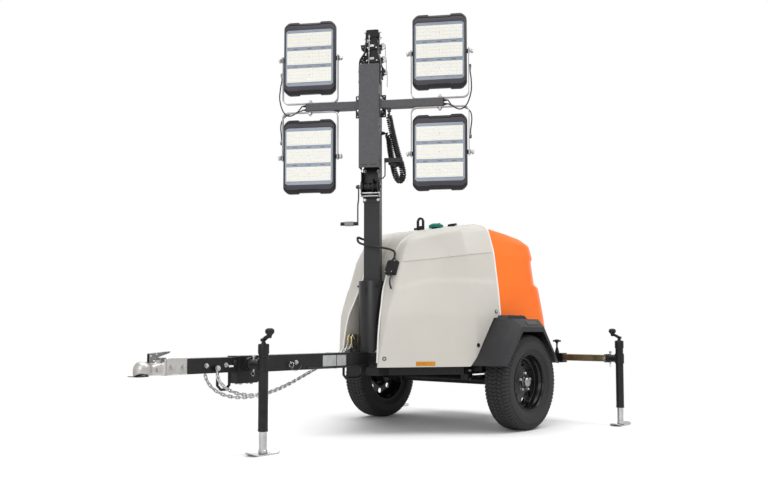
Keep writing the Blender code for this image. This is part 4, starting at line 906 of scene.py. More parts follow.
COVER = Finish("textured_cover_paint", (0.075, 0.075, 0.079), (0.100, 0.100, 0.105), 0.50, 0.06, patches=90.0,
               grain=420.0, relief=0.00020, edge=(0.13, 0.13, 0.135))
MAST_PAINT = Finish("textured_mast_paint", (0.021, 0.021, 0.0225), (0.029, 0.029, 0.031), 0.46, 0.06, grain=520.0,
                    relief=0.00014, edge=(0.06, 0.06, 0.065))
DARK_AMBER = Finish("amber_rib", (0.36, 0.14, 0.006), (0.42, 0.17, 0.01), 0.3, 0.05)
POST_PAINT = Finish("smooth_post_paint", (0.0085, 0.0085, 0.0092), (0.012, 0.012, 0.013), 0.34, 0.05, grain=700.0,
                    relief=0.00002, edge=(0.045, 0.045, 0.048), gloss=0.35)


# Sub-assemblies

@dataclass
class Canopy:
    """The moulded front shell and rear hood with their trim, latches, vents and roof fittings.

    Args:
        wall: Thickness of the mouldings.
        seam: Where the front shell ends, along the trailer.
        seam_gap: Gap between the shell and the hood.
        base: Lower edge of the front shell.
        hood_base: Lower edge of the hood.
        step: Size of a grid step on the mouldings.
        ledge: Height of the shell's ledge at the seam.
        ledge_depth: How far the side below the ledge is set back.
        ledge_fade: How far down that dies away.
        fold_depth: The same, above the lower fold.
        fold_fade: How far up that dies away.
        brow_blur: Width of the blur that rounds the recess's brow, in steps.
    """

    wall: float = 0.006
    seam: float = -0.100
    seam_gap: float = 0.006
    base: float = 0.4136
    hood_base: float = 0.490
    step: float = 0.014
    ledge: float = 1.150
    ledge_depth: float = 0.0050
    ledge_fade: float = 0.16
    fold_depth: float = 0.0065
    fold_fade: float = 0.10
    brow_blur: float = 3.0

    def front_rows(self) -> list:
        """Rows of control points of the shell's left half, from its lower edge up to the roof line.

        Returns:
            Rows of points, each from the centre plane outwards.
        """
        s = self.seam
        crest = ((-0.410, 1.294), (-0.390, 1.298), (-0.350, 1.304), (-0.310, 1.311), (-0.250, 1.322),
                 (-0.180, 1.335), (s, 1.350))
        return [
            [(0.0, -0.600, self.base), (0.140, -0.600, self.base), (0.150, -0.872, self.base),
             (0.166, -0.885, self.base), (0.370, -0.600, self.base), (0.520, -0.352, self.base),
             (0.540, s, self.base)],
            [(0.0, -0.600, 0.730), (0.128, -0.600, 0.730), (0.137, -0.828, 0.730), (0.203, -0.832, 0.730),
             (0.370, -0.590, 0.730), (0.502, -0.345, 0.730), (0.533, s, 0.730)],
            [(0.0, -0.600, 0.900), (0.096, -0.600, 0.900), (0.102, -0.762, 0.900), (0.207, -0.764, 0.900),
             (0.345, -0.560, 0.900), (0.475, -0.340, 0.900), (0.516, s, 0.900)],
            [(0.0, -0.590, 1.060), (0.092, -0.590, 1.060), (0.098, -0.698, 1.060), (0.201, -0.700, 1.065),
             (0.325, -0.520, 1.090), (0.440, -0.330, 1.120), (0.482, s, 1.150)],
            [(0.0, -0.490, 1.262), (0.088, -0.495, 1.255), (0.100, -0.620, 1.205), (0.186, -0.630, 1.205),
             (0.275, -0.480, 1.245), (0.380, -0.320, 1.285), (0.432, s, 1.315)],
            [(0.0, -0.430, 1.288), (0.090, -0.435, 1.285), (0.112, -0.560, 1.235), (0.165, -0.570, 1.240),
             (0.230, -0.440, 1.280), (0.310, -0.310, 1.310), (0.370, s, 1.338)],
            [(0.0, -0.424, 1.291), (0.080, -0.428, 1.289), (0.110, -0.440, 1.284), (0.152, -0.450, 1.281),
             (0.195, -0.395, 1.294), (0.250, -0.290, 1.317), (0.300, s, 1.343)],
            [(0.0, y, z) for y, z in crest]]

    def hood_rows(self) -> list:
        """Rows of control points of the hood's left half.

        Returns:
            Rows of points, each from the seam rearwards and in to the centre plane.
        """
        front = self.seam + self.seam_gap
        corner = 0.140
        levels = ((self.hood_base, 0.538, 0.590), (0.730, 0.525, 0.555), (0.935, 0.506, 0.518),
                  (0.955, 0.502, 0.472), (1.118, 0.481, 0.464), (1.135, 0.480, 0.488), (1.230, 0.455, 0.484))
        rows = [[(side, front, z), (side, 0.150, z), (side, rear - corner, z),
                 (side - corner * 0.293, rear - corner * 0.293, z), (side - corner, rear, z), (0.0, rear, z)]
                for z, side, rear in levels]
        rows.append([(0.420, front, 1.308), (0.415, 0.150, 1.290), (0.405, 0.330, 1.272), (0.360, 0.415, 1.262),
                     (0.280, 0.440, 1.260), (0.0, 0.440, 1.262)])
        rows.append([(0.360, front, 1.331), (0.350, 0.150, 1.312), (0.340, 0.300, 1.290), (0.310, 0.350, 1.284),
                     (0.250, 0.370, 1.282), (0.0, 0.375, 1.284)])
        rows.append([(0.0, front, 1.342), (0.0, 0.050, 1.332), (0.0, 0.150, 1.322), (0.0, 0.230, 1.312),
                     (0.0, 0.300, 1.300), (0.0, 0.350, 1.291)])
        return rows

    def moulded(self, rows: list, name: str, blur: tuple[float, float]) -> bpy.types.Object:
        """Make a shell of half a grid of control points.

        The rows are mirrored across the centre plane, filled in by straight lines and blurred, so that their
        creases become rounds. The sheet is then thickened inwards.

        Args:
            rows: Control points of the left half.
            name: The piece's name.
            blur: Width of the blur across and along the rows, in steps.

        Returns:
            The object, without its finish.
        """
        half = np.asarray(rows, float)
        if abs(half[0, 0, 0]) > 1e-9:
            half = half[:, ::-1]
        mirrored = half[:, :0:-1] * (-1, 1, 1)
        grid = resampled(np.concatenate((mirrored, half), axis=1), self.step)
        grid = self.pressed(softened(grid, *blur))
        surface = woven(grid, ring=False).at(IN_AXLE)
        made = in_scene(name, to_mesh(name, surface))
        skin = made.modifiers.new("wall", "SOLIDIFY")
        skin.thickness = self.wall
        skin.offset = -1.0
        skin.use_even_offset = False
        return bake(made)

    def pressed(self, grid: np.ndarray) -> np.ndarray:
        """Round the recess's brow and press the ledge and the lower fold into the front shell's sides.

        The ledge sets back the rows below its level by depth * exp(-(drop below it / fade)^2). Its row is doubled,
        so that the step stays sharp. The lower fold is a line that climbs rearwards and then runs level; what is
        above it is set back in the same way, without a step.

        Args:
            grid: The moulding's points, in rows. The hood's, which reach behind the seam, are left as they are.

        Returns:
            The pressed grid.
        """
        if grid[..., 1].max() > self.seam + 0.01:
            return grid
        soft = softened(grid, self.brow_blur, self.brow_blur)
        near = ramp(grid[..., 2], 1.10, 0.10) * ramp(-np.abs(grid[..., 0]), -0.30, 0.10)
        grid = grid + (soft - grid) * (near * ramp(-grid[..., 1], 0.36, 0.08))[..., None]
        side, rear = ramp(np.abs(grid[..., 0]), 0.19, 0.03), ramp(-grid[..., 1], 0.012 - self.seam, 0.03)
        line = np.minimum(0.985 + 0.28 * (grid[..., 1] + 0.40), 0.940)
        lift = grid[..., 2] - line
        fold = self.fold_depth * ramp(lift, 0, 0.030) * np.exp(-np.maximum(lift, 0) ** 2 / self.fold_fade ** 2)
        grid = grid - outward(grid) * (fold * side * rear)[..., None]
        row = int(np.argmin(np.abs(grid[:, -1, 2] - self.ledge)))
        below = np.maximum(grid[row, :, 2] - grid[..., 2], 0.0)
        back = self.ledge_depth * np.exp(-(below / self.ledge_fade) ** 2) * side * rear
        moved = grid - outward(grid) * back[..., None]
        return np.concatenate((moved[:row + 1], grid[row:]))

    def arches(self) -> Surface:
        """The room that both fenders need, as prisms across the side walls."""
        outline = np.array([(-0.56, 0.2), (-0.377 - 0.008, 0.42), (-0.165 - 0.005, 0.718), (0.135 + 0.005, 0.718),
                            (0.347 + 0.008, 0.42), (0.53, 0.2)])
        prism = slab(outline, 0.6, 0.0005)
        return prism.copies([shift(x, 0, 0) @ IN_AXLE @ ON_SIDE for x in (0.75, -0.75)])

    def build(self) -> None:
        """Make the shell, the hood and everything on them."""
        shell = self.moulded(self.front_rows(), "front_canopy", (1.1, 1.1))
        roof = [block(0.0586, 0.0106, 0.3, 0.0004).at(IN_AXLE, shift(0, -0.270, 1.32)),
                bar(0.0268, 0.3, 32).at(IN_AXLE, shift(0.150, -0.290, 1.32)),
                block(0.0506, 0.060, 0.2, 0.0004).copies([IN_AXLE @ shift(x, self.seam, 1.36)
                                                          for x in (0.15, -0.15)])]
        vents = slab(rectangle(0.150, 0.010, 0.0048), 0.2, 0.001)
        carved(shell, self.arches(), *roof)
        settle(shell, TRAILER, BEIGE, 55, ("canopy_shell",))
        hood = self.moulded(self.hood_rows(), "orange_hood", (0.75, 1.6))
        slots = [IN_AXLE @ shift(0.0, 0.47, z) @ ALONG_Y for z in np.arange(0.985, 1.105, 0.024)]
        carved(hood, self.arches(), vents.at(stretch(3.6, 1.0, 1.0)).copies(slots))
        settle(hood, "hood", ORANGE, 40, ("rear_hood",))
        self.knuckles()
        self.louvres()
        self.trim()
        self.fasteners(shell)
        self.roof_fittings()

    def knuckles(self) -> None:
        """The hood's own hinge knuckles on their arms, and the hinges' pins."""
        barrel = bar(0.009, 0.0174, 24).at(ALONG_X)
        arm = block(0.0172, 0.032, 0.030, 0.002).at(shift(0, 0.0185, -0.019))
        spots = [IN_AXLE @ shift(x, self.seam + self.seam_gap / 2, 1.358) for x in (0.15, -0.15)]
        piece("hood_hinge_knuckles", joined(barrel, arm).copies(spots), "hood", BLACK)
        pin = bolt(0.006, False).at(shift(0.0252, 0, 0) @ ALONG_X)
        piece("hood_hinge_pins", joined(pin, pin.at(turn("Z", 180))).copies(spots), TRAILER, ZINC)

    def louvres(self) -> None:
        """Slanted blades behind the hood's rear air slots, and the two draw latches beside them."""
        blade = block(0.56, 0.016, 0.0016, 0.0004).at(turn("X", 38))
        spots = [IN_AXLE @ shift(0, 0.452, z) for z in np.arange(0.985, 1.105, 0.024)]
        cheeks = block(0.004, 0.020, 0.150, 0.001).copies([IN_AXLE @ shift(x, 0.452, 1.045)
                                                           for x in (0.281, -0.281)])
        piece("hood_air_blades", joined(blade.copies(spots), cheeks), "hood", BLACK_PLASTIC_AND_SHADE)
        plate = block(0.030, 0.004, 0.070, 0.001, 0.001)
        loop = bent([(-0.008, -0.006, 0.03), (-0.008, -0.008, -0.03), (0.008, -0.008, -0.03),
                     (0.008, -0.006, 0.03)],
                    0.002, 0.005, 10, (0, 1, 0))
        latch = joined(plate, block(0.016, 0.012, 0.034, 0.002).at(shift(0, 0.006, -0.008)),
                       loop.at(turn("Z", 180)))
        spots = [IN_AXLE @ shift(x, 0.590, 0.600) @ turn("X", 6) for x in (0.28, -0.28)]
        piece("hood_draw_latches", latch.copies(spots), "hood", ZINC)

    def trim(self) -> None:
        """The pale lip along the shell's rear edge, which follows its outermost row, and the recess's two pale
        beads, a painted highlight along its rounded edges.
        """
        rows = np.asarray(self.front_rows(), float)[:, -1]
        rows = rows[rows[:, 2] > 0.715]
        start = np.array([[0.5335, self.seam, 0.722]])
        edge = evenly(np.concatenate((start, rows)), 0.012)
        edge = softened(edge[None], 0.0, 1.5)[0]
        inward = np.array([-0.0030, -0.0062, -0.001])
        left = edge + inward
        right = left * (-1, 1, 1)
        path = np.concatenate((left, right[::-1][1:]))
        lip = carried(path, circle(0.0062, 12), (0, 1, 0.001)).at(IN_AXLE)
        piece("canopy_rear_lip", lip, TRAILER, PALE_TRIM_AND_HIGHLIGHT)
        # Pale rods along the recess's rounded front edges: a painted highlight.
        marks = np.array([(0.149, -0.868, 0.440), (0.1435, -0.851, 0.600), (0.136, -0.828, 0.720),
                          (0.122, -0.798, 0.800), (0.103, -0.760, 0.900), (0.098, -0.700, 1.040)])
        beads = [wire(marks * (sign, 1, 1), 0.0058, 0.012, 10) for sign in (1, -1)]
        piece("canopy_recess_beads", joined(*beads).at(IN_AXLE), TRAILER, PALE_TRIM_AND_HIGHLIGHT)

    def fasteners(self, shell: bpy.types.Object) -> None:
        """Quarter-turn studs with their collars, the round air plug and the ribbed reflector on each side wall."""
        stud = joined(turned(rounded([(0.0, 0.004), (0.0075, 0.0035), (0.0085, 0.0), (0.0085, -0.004)], 0.002), 20),
                      block(0.011, 0.002, 0.0012, 0.0003).at(shift(0, 0, 0.0042)))
        plug = turned(rounded([(0.0, 0.001), (0.0045, 0.001), (0.006, 0.004), (0.012, 0.004), (0.014, 0.0),
                               (0.014, -0.004)], 0.0015), 28)
        lens = slab(rectangle(0.122, 0.026, 0.002), 0.005, 0.0012)
        ribs = block(0.0022, 0.024, 0.0012, 0.0003).copies([shift(x, 0, 0.0028)
                                                            for x in np.linspace(-0.0525, 0.0525, 8)])
        collar = turned([(0.0088, 0.0), (0.0115, 0.0004), (0.0125, 0.0022), (0.0088, 0.0030)], 24)
        for side, sign in SIDES:
            for name, shape, spots, finish in (
                    ("quarter_turn_studs", stud, ((-0.850, 0.466), (-0.146, 0.757)), ZINC),
                    ("stud_collars", collar, ((-0.850, 0.466), (-0.146, 0.757)), BLACK_PLASTIC_AND_SHADE),
                    ("air_plug", plug, ((-0.330, 0.545),), BLACK_PLASTIC_AND_SHADE),
                    ("side_reflector", lens, ((-0.640, 0.434),), AMBER),
                    ("side_reflector_ribs", ribs, ((-0.640, 0.434),), DARK_AMBER)):
                places = [self.seat(shell, sign, y, z) for y, z in spots]
                piece(f"{name}_{side}", shape.copies(places), TRAILER, finish, 40)

    def seat(self, shell: bpy.types.Object, sign: int, y: float, z: float) -> np.ndarray:
        """Find the place on a side wall where a fitting sits, square to the wall.

        Args:
            shell: The shell that carries it.
            sign: 1 on the left, -1 on the right.
            y: Place along the trailer, from the axle.
            z: Height.

        Returns:
            A matrix whose Z points out of the wall and whose X runs along it.
        """
        hit, spot, normal, _ = shell.ray_cast(Vector((sign * 2.0, y + AXLE_Y, z)), Vector((-sign, 0.0, 0.0)))
        facing = np.array(normal) if hit else np.array((sign, 0.0, 0.0))
        along = unit(np.cross((0.0, 0.0, 1.0), facing))
        made = np.eye(4)
        made[:3, 0], made[:3, 1], made[:3, 2] = along, np.cross(facing, along), facing
        made[:3, 3] = np.array(spot) if hit else (sign * 0.5, y + AXLE_Y, z)
        return made

    def roof_fittings(self) -> None:
        """The green filler cap with its ribbed grip and the black neck under it."""
        grip = circle(1.0, 96)
        ridge = 1.0 + 0.035 * np.sign(np.sin(np.arange(96) * math.pi / 4))[:, None]
        radii = np.array([(0.0335, 0.001), (0.042, 0.002), (0.042, 0.017), (0.038, 0.021)])
        skirt = np.empty((4, 96, 3))
        skirt[..., :2] = grip[None] * radii[:, None, :1]
        skirt[1:3, :, :2] *= ridge[None] * 0.966
        skirt[..., 2] = radii[:, 1:]
        dome = turned(rounded([(0.0, 0.030), (0.022, 0.0295), (0.031, 0.027), (0.037, 0.020)], 0.004), 48)
        wings = block(0.058, 0.010, 0.010, 0.003).at(shift(0, 0, 0.0265))
        place = IN_AXLE @ shift(0.150, -0.290, 1.316)
        piece("filler_cap", joined(woven(skirt), dome, wings).at(place, stretch(1.16, 1.16, 1.0)), TRAILER, GREEN,
              30, ("fuel_cap",))
        neck = turned([(0.026, -0.040), (0.026, 0.0006), (0.0315, 0.001), (0.0315, 0.005), (0.02, 0.005)], 40)
        piece("filler_neck", neck.at(place), TRAILER, BLACK_PLASTIC_AND_SHADE)


@dataclass
class Fender:
    """A folded steel fender with its raised step, bolts and marker recess.

    Args:
        side: Its side's name.
        sign: 1 on the left, -1 on the right.
        sheet: Thickness of the sheet.
        inner: Its inner edge, from the centre plane.
        crease: Where the chamfer starts.
        outer: Its outer edge.
        base: Height of its lower ends.
        top: Height of its top.
    """

    side: str
    sign: int
    sheet: float = 0.003
    inner: float = 0.502
    crease: float = 0.665
    outer: float = 0.720
    base: float = 0.420
    top: float = 0.710

    def outline(self, depth: float) -> np.ndarray:
        """The side outline, drawn in by a depth, as (y, z) from front to rear."""
        slope = depth * 0.36
        return np.array([(-0.385 + depth, self.base), (-0.165 + slope, self.top - depth),
                         (0.135 - slope, self.top - depth), (0.355 - depth, self.base)])

    def build(self) -> None:
        """Make the fender and what is on it."""
        opening = self.outline(0.082)
        opening[0, 0], opening[3, 0] = self.outline(0.052)[0, 0] + 0.012, self.outline(0.052)[3, 0] - 0.012
        rows = [self.row(self.inner, self.outline(0.0)), self.row(self.crease, self.outline(0.0)),
                self.row(self.outer, self.outline(0.052)), self.row(self.outer, opening)]
        shape = woven(np.asarray(rows), ring=False)
        shape.caps.append([0, 1, 2, 3])
        made = in_scene("folded_fender_" + self.side, to_mesh("fender",
                                                              shape.at(IN_AXLE, stretch(self.sign, 1, 1))))
        skin = made.modifiers.new("sheet", "SOLIDIFY")
        skin.thickness = self.sheet
        skin.offset = -1.0
        skin.use_even_offset = True
        bake(made)
        settle(made, TRAILER, FENDER, 40, ("fender_" + self.side,))
        ease(made, 0.0022, 2)
        self.step()
        self.marker()

    def row(self, x: float, outline: np.ndarray) -> np.ndarray:
        """Set a side outline at a distance from the centre plane."""
        return np.column_stack((np.full(len(outline), x), outline))

    def step(self) -> None:
        """The raised step along the inner half of the top, with its bolts."""
        outline = np.array([(-0.150, self.top - 0.001), (-0.124, self.top + 0.024), (0.062, self.top + 0.024),
                            (0.105, self.top - 0.001)])
        raised = slab(outline, 0.086, 0.0015).at(shift(self.inner + 0.060, 0, 0), ON_SIDE)
        made = piece("fender_step_" + self.side, raised.at(IN_AXLE, stretch(self.sign, 1, 1)), TRAILER, CHARCOAL)
        ease(made, 0.003, 2)
        heads = bolt(0.006).copies([IN_AXLE @ shift(self.sign * (self.inner + x), y, self.top + 0.024)
                                    for x in (0.030, 0.090) for y in (-0.100, 0.035)])
        piece("fender_bolts_" + self.side, heads, TRAILER, STEEL, 35)

    def marker(self) -> None:
        """The blank marker recess on the fender's chamfer, with its rim, and a thin black disc of painted shade for
        its wire's hole.
        """
        slope = math.degrees(math.atan2(0.052, self.outer - self.crease))
        middle = ((self.outer + self.crease) / 2, 0.005, self.top - 0.026)
        place = IN_AXLE @ stretch(self.sign, 1, 1) @ shift(*middle) @ turn("Y", slope)
        frame_rim = slab(rectangle(0.038, 0.126, 0.003), 0.005, 0.001)
        well = slab(rectangle(0.030, 0.116, 0.002), 0.002, 0.0004).at(shift(0, 0, 0.0024))
        piece("marker_rim_" + self.side, frame_rim.at(place), TRAILER, CHARCOAL)
        piece("marker_well_" + self.side, well.at(place), TRAILER, GLOSS_BLACK)
        # The wire's hole is a thin black disc: painted shade.
        piece("marker_wire_hole_" + self.side, bar(0.0025, 0.001, 10, 0.0002).at(place, shift(0.006, -0.070,
                                                                                              0.001)), TRAILER,
              BLACK_PLASTIC_AND_SHADE)


@dataclass
class RoadWheel:
    """A trailer wheel: block-tread tyre, black steel disc, hub cap, lugs and valve.

    Args:
        side: Its side's name.
        sign: 1 on the left, -1 on the right.
        radius: Radius of the tyre.
        width: Width of the tyre.
        rim: Radius where the tyre's wall meets the rim.
        centre: Its middle plane, from the trailer's.
        pitches: Tread pitches round the tyre.
        groove: Depth of the tread's grooves.
    """

    side: str
    sign: int
    radius: float = 0.305
    width: float = 0.175
    rim: float = 0.190
    centre: float = 0.6105
    pitches: int = 76
    groove: float = 0.0075

    def place(self) -> np.ndarray:
        """The wheel's own frame: Z along the axle, outwards."""
        return IN_AXLE @ shift(self.sign * self.centre, 0, self.radius) @ turn("Y", 90 * self.sign)

    def body(self) -> str:
        """The body that turns."""
        return f"wheel_{self.side}_body"

    def build(self) -> None:
        """Make the tyre, disc and hub."""
        piece("block_tread_tyre_" + self.side, self.tyre().at(self.place()), self.body(), RUBBER, 50,
              ("tyre_" + self.side,))
        self.disc()
        self.hub()

    def tyre(self) -> Surface:
        """The tyre as one grid: its profile turned about the axle, with the tread's grooves pressed in.

        Returns:
            The surface. A tread point's radius is the outline's less the groove depth times the pattern.
        """
        half = self.width / 2
        inner = self.rim - 0.012
        wall = rounded([(inner, -half * 0.74), (self.rim + 0.010, -half * 0.80), (self.rim + 0.022, -half * 0.93),
                        (self.rim + 0.026, -half * 0.985), (self.rim + 0.060, -half),
                        (self.radius - 0.040, -half * 0.985), (self.radius - 0.036, -half * 0.955),
                        (self.radius - 0.016, -half * 0.90)], 0.006, 3)
        tread_y = np.linspace(-half * 0.885, half * 0.885, 46)
        share = np.abs(tread_y) / half
        crown = self.radius - 0.012 * np.clip((share - 0.62) / 0.27, 0, 1) ** 2
        tread = np.column_stack((crown, tread_y))
        profile = np.concatenate((wall, tread, np.asarray(wall)[::-1] * (1, -1)))
        around = self.pitches * 9  # nine points a pitch
        angle = np.arange(around) * 2 * math.pi / around
        radius = np.repeat(profile[:, :1], around, 1)
        cut_zone = slice(len(wall), len(wall) + len(tread))
        radius[cut_zone] -= self.groove * self.pattern(angle[None, :], tread_y[:, None])
        level = np.repeat(profile[:, 1:], around, 1)
        shoulder = (profile[:, 0] > self.radius - 0.044) & (np.abs(profile[:, 1]) > half * 0.88)
        level[shoulder] *= 1 - 0.050 * self.pattern(angle[None, :], level[shoulder])
        grid = np.stack((radius * np.cos(angle), radius * np.sin(angle), level), -1)
        return woven(grid, True, True)

    def pattern(self, angle: np.ndarray, across: np.ndarray) -> np.ndarray:
        """How deep the tread is cut, from 0 to 1.

        Two zigzag grooves a side run round the tyre, and slanted slots cross each rib, each rib's shifted from
        its neighbour's. A groove is 1 at its middle and falls to 0 over a short slope.

        Args:
            angle: Place round the wheel, in radians.
            across: Place across the tread.

        Returns:
            The depth, as a share of the groove's.
        """
        turns = angle * self.pitches / (2 * math.pi)
        zigzag = 0.0035 * (np.abs((turns % 1.0) * 4 - 2) - 1)
        rounds = [1 - np.clip((np.abs(across - middle - zigzag * sway) - 0.0024) / 0.0014, 0, 1)
                  for middle, sway in ((-0.050, 1), (-0.017, -1), (0.017, 1), (0.050, -1))]
        rib = np.digitize(across, (-0.050, -0.017, 0.017, 0.050))
        phase = turns + np.take(np.array([0.1, 0.55, 0.0, 0.45, 0.9]), rib)
        slant = phase + across * np.take(np.array([6.0, -16.0, 16.0, -16.0, 6.0]), rib)
        slot_place = np.abs((slant % 1.0) - 0.5)
        slots = np.clip((slot_place - 0.36) / 0.06, 0, 1)
        return np.clip(reduce(np.maximum, rounds + [slots]), 0, 1)

    def disc(self) -> None:
        """The rim and its disc: a turned profile with eight round hand holes."""
        seat = self.rim - 0.0123
        half = self.width / 2 * 0.74
        profile = rounded([(seat, half), (seat + 0.004, half + 0.004), (seat - 0.002, half + 0.007),
                           (seat - 0.007, half - 0.002), (seat - 0.010, half - 0.016), (seat - 0.018, half - 0.030),
                           (seat - 0.020, 0.010), (seat - 0.030, 0.007), (0.132, 0.016), (0.096, 0.016),
                           (0.080, 0.020), (0.062, 0.026), (0.048, 0.026), (0.036, 0.030), (0.036, 0.020),
                           (0.046, 0.018), (0.060, 0.018), (0.079, 0.012), (0.096, 0.009), (0.128, 0.009),
                           (seat - 0.030, 0.000), (seat - 0.020, -0.010), (seat - 0.012, -0.018),
                           (seat - 0.006, -half + 0.012), (seat - 0.004, -half), (seat, -half)],
                          0.004, 3)
        made = in_scene("steel_wheel_" + self.side, to_mesh("disc", turned(profile, 96, True).at(self.place())))
        spots = [self.place() @ turn("Z", 45.0 * index) @ shift(0.117, 0, 0.01) for index in range(8)]
        holes = bar(0.0180, 0.08, 28).copies(spots)
        carved(made, holes)
        settle(made, self.body(), GLOSS_BLACK, 30, ("wheel_" + self.side,))
        ease(made, 0.0012, 2, 50)

    def hub(self) -> None:
        """The hub barrel, polished cap, five lug bolts, and the valve stem."""
        barrel = turned(rounded([(0.0, -0.055), (0.042, -0.055), (0.044, -0.010), (0.054, -0.006), (0.054, 0.008),
                                 (0.036, 0.010), (0.036, 0.034), (0.0, 0.034)], 0.003), 48)
        piece("hub_barrel_" + self.side, barrel.at(self.place()), self.body(), BLACK)
        cap = turned(rounded([(0.0345, 0.030), (0.0345, 0.036), (0.0325, 0.038), (0.0315, 0.052), (0.024, 0.060),
                              (0.010, 0.0615), (0.0, 0.062)], 0.003, 4), 48)
        piece("hub_cap_" + self.side, cap.at(self.place()), self.body(), CHROME)
        lug = joined(hexagon(0.017, 0.012), turned([(0.011, 0.0), (0.0095, 0.004), (0.0085, 0.004)], 24),
                     turned(rounded([(0.0080, 0.011), (0.0065, 0.016), (0.0, 0.018)], 0.003), 20))
        spots = [self.place() @ turn("Z", 36 + 72 * index) @ shift(0.056, 0, 0.026) for index in range(5)]
        piece("lug_bolts_" + self.side, lug.copies(spots), self.body(), ZINC)
        stem = joined(bar(0.0055, 0.018, 14), bar(0.004, 0.014, 12).at(shift(0, 0, 0.014)))
        place = self.place() @ turn("Z", 22) @ shift(0.150, 0, 0.012) @ turn("Y", -25)
        piece("valve_stem_" + self.side, stem.at(place), self.body(), BLACK_PLASTIC_AND_SHADE)


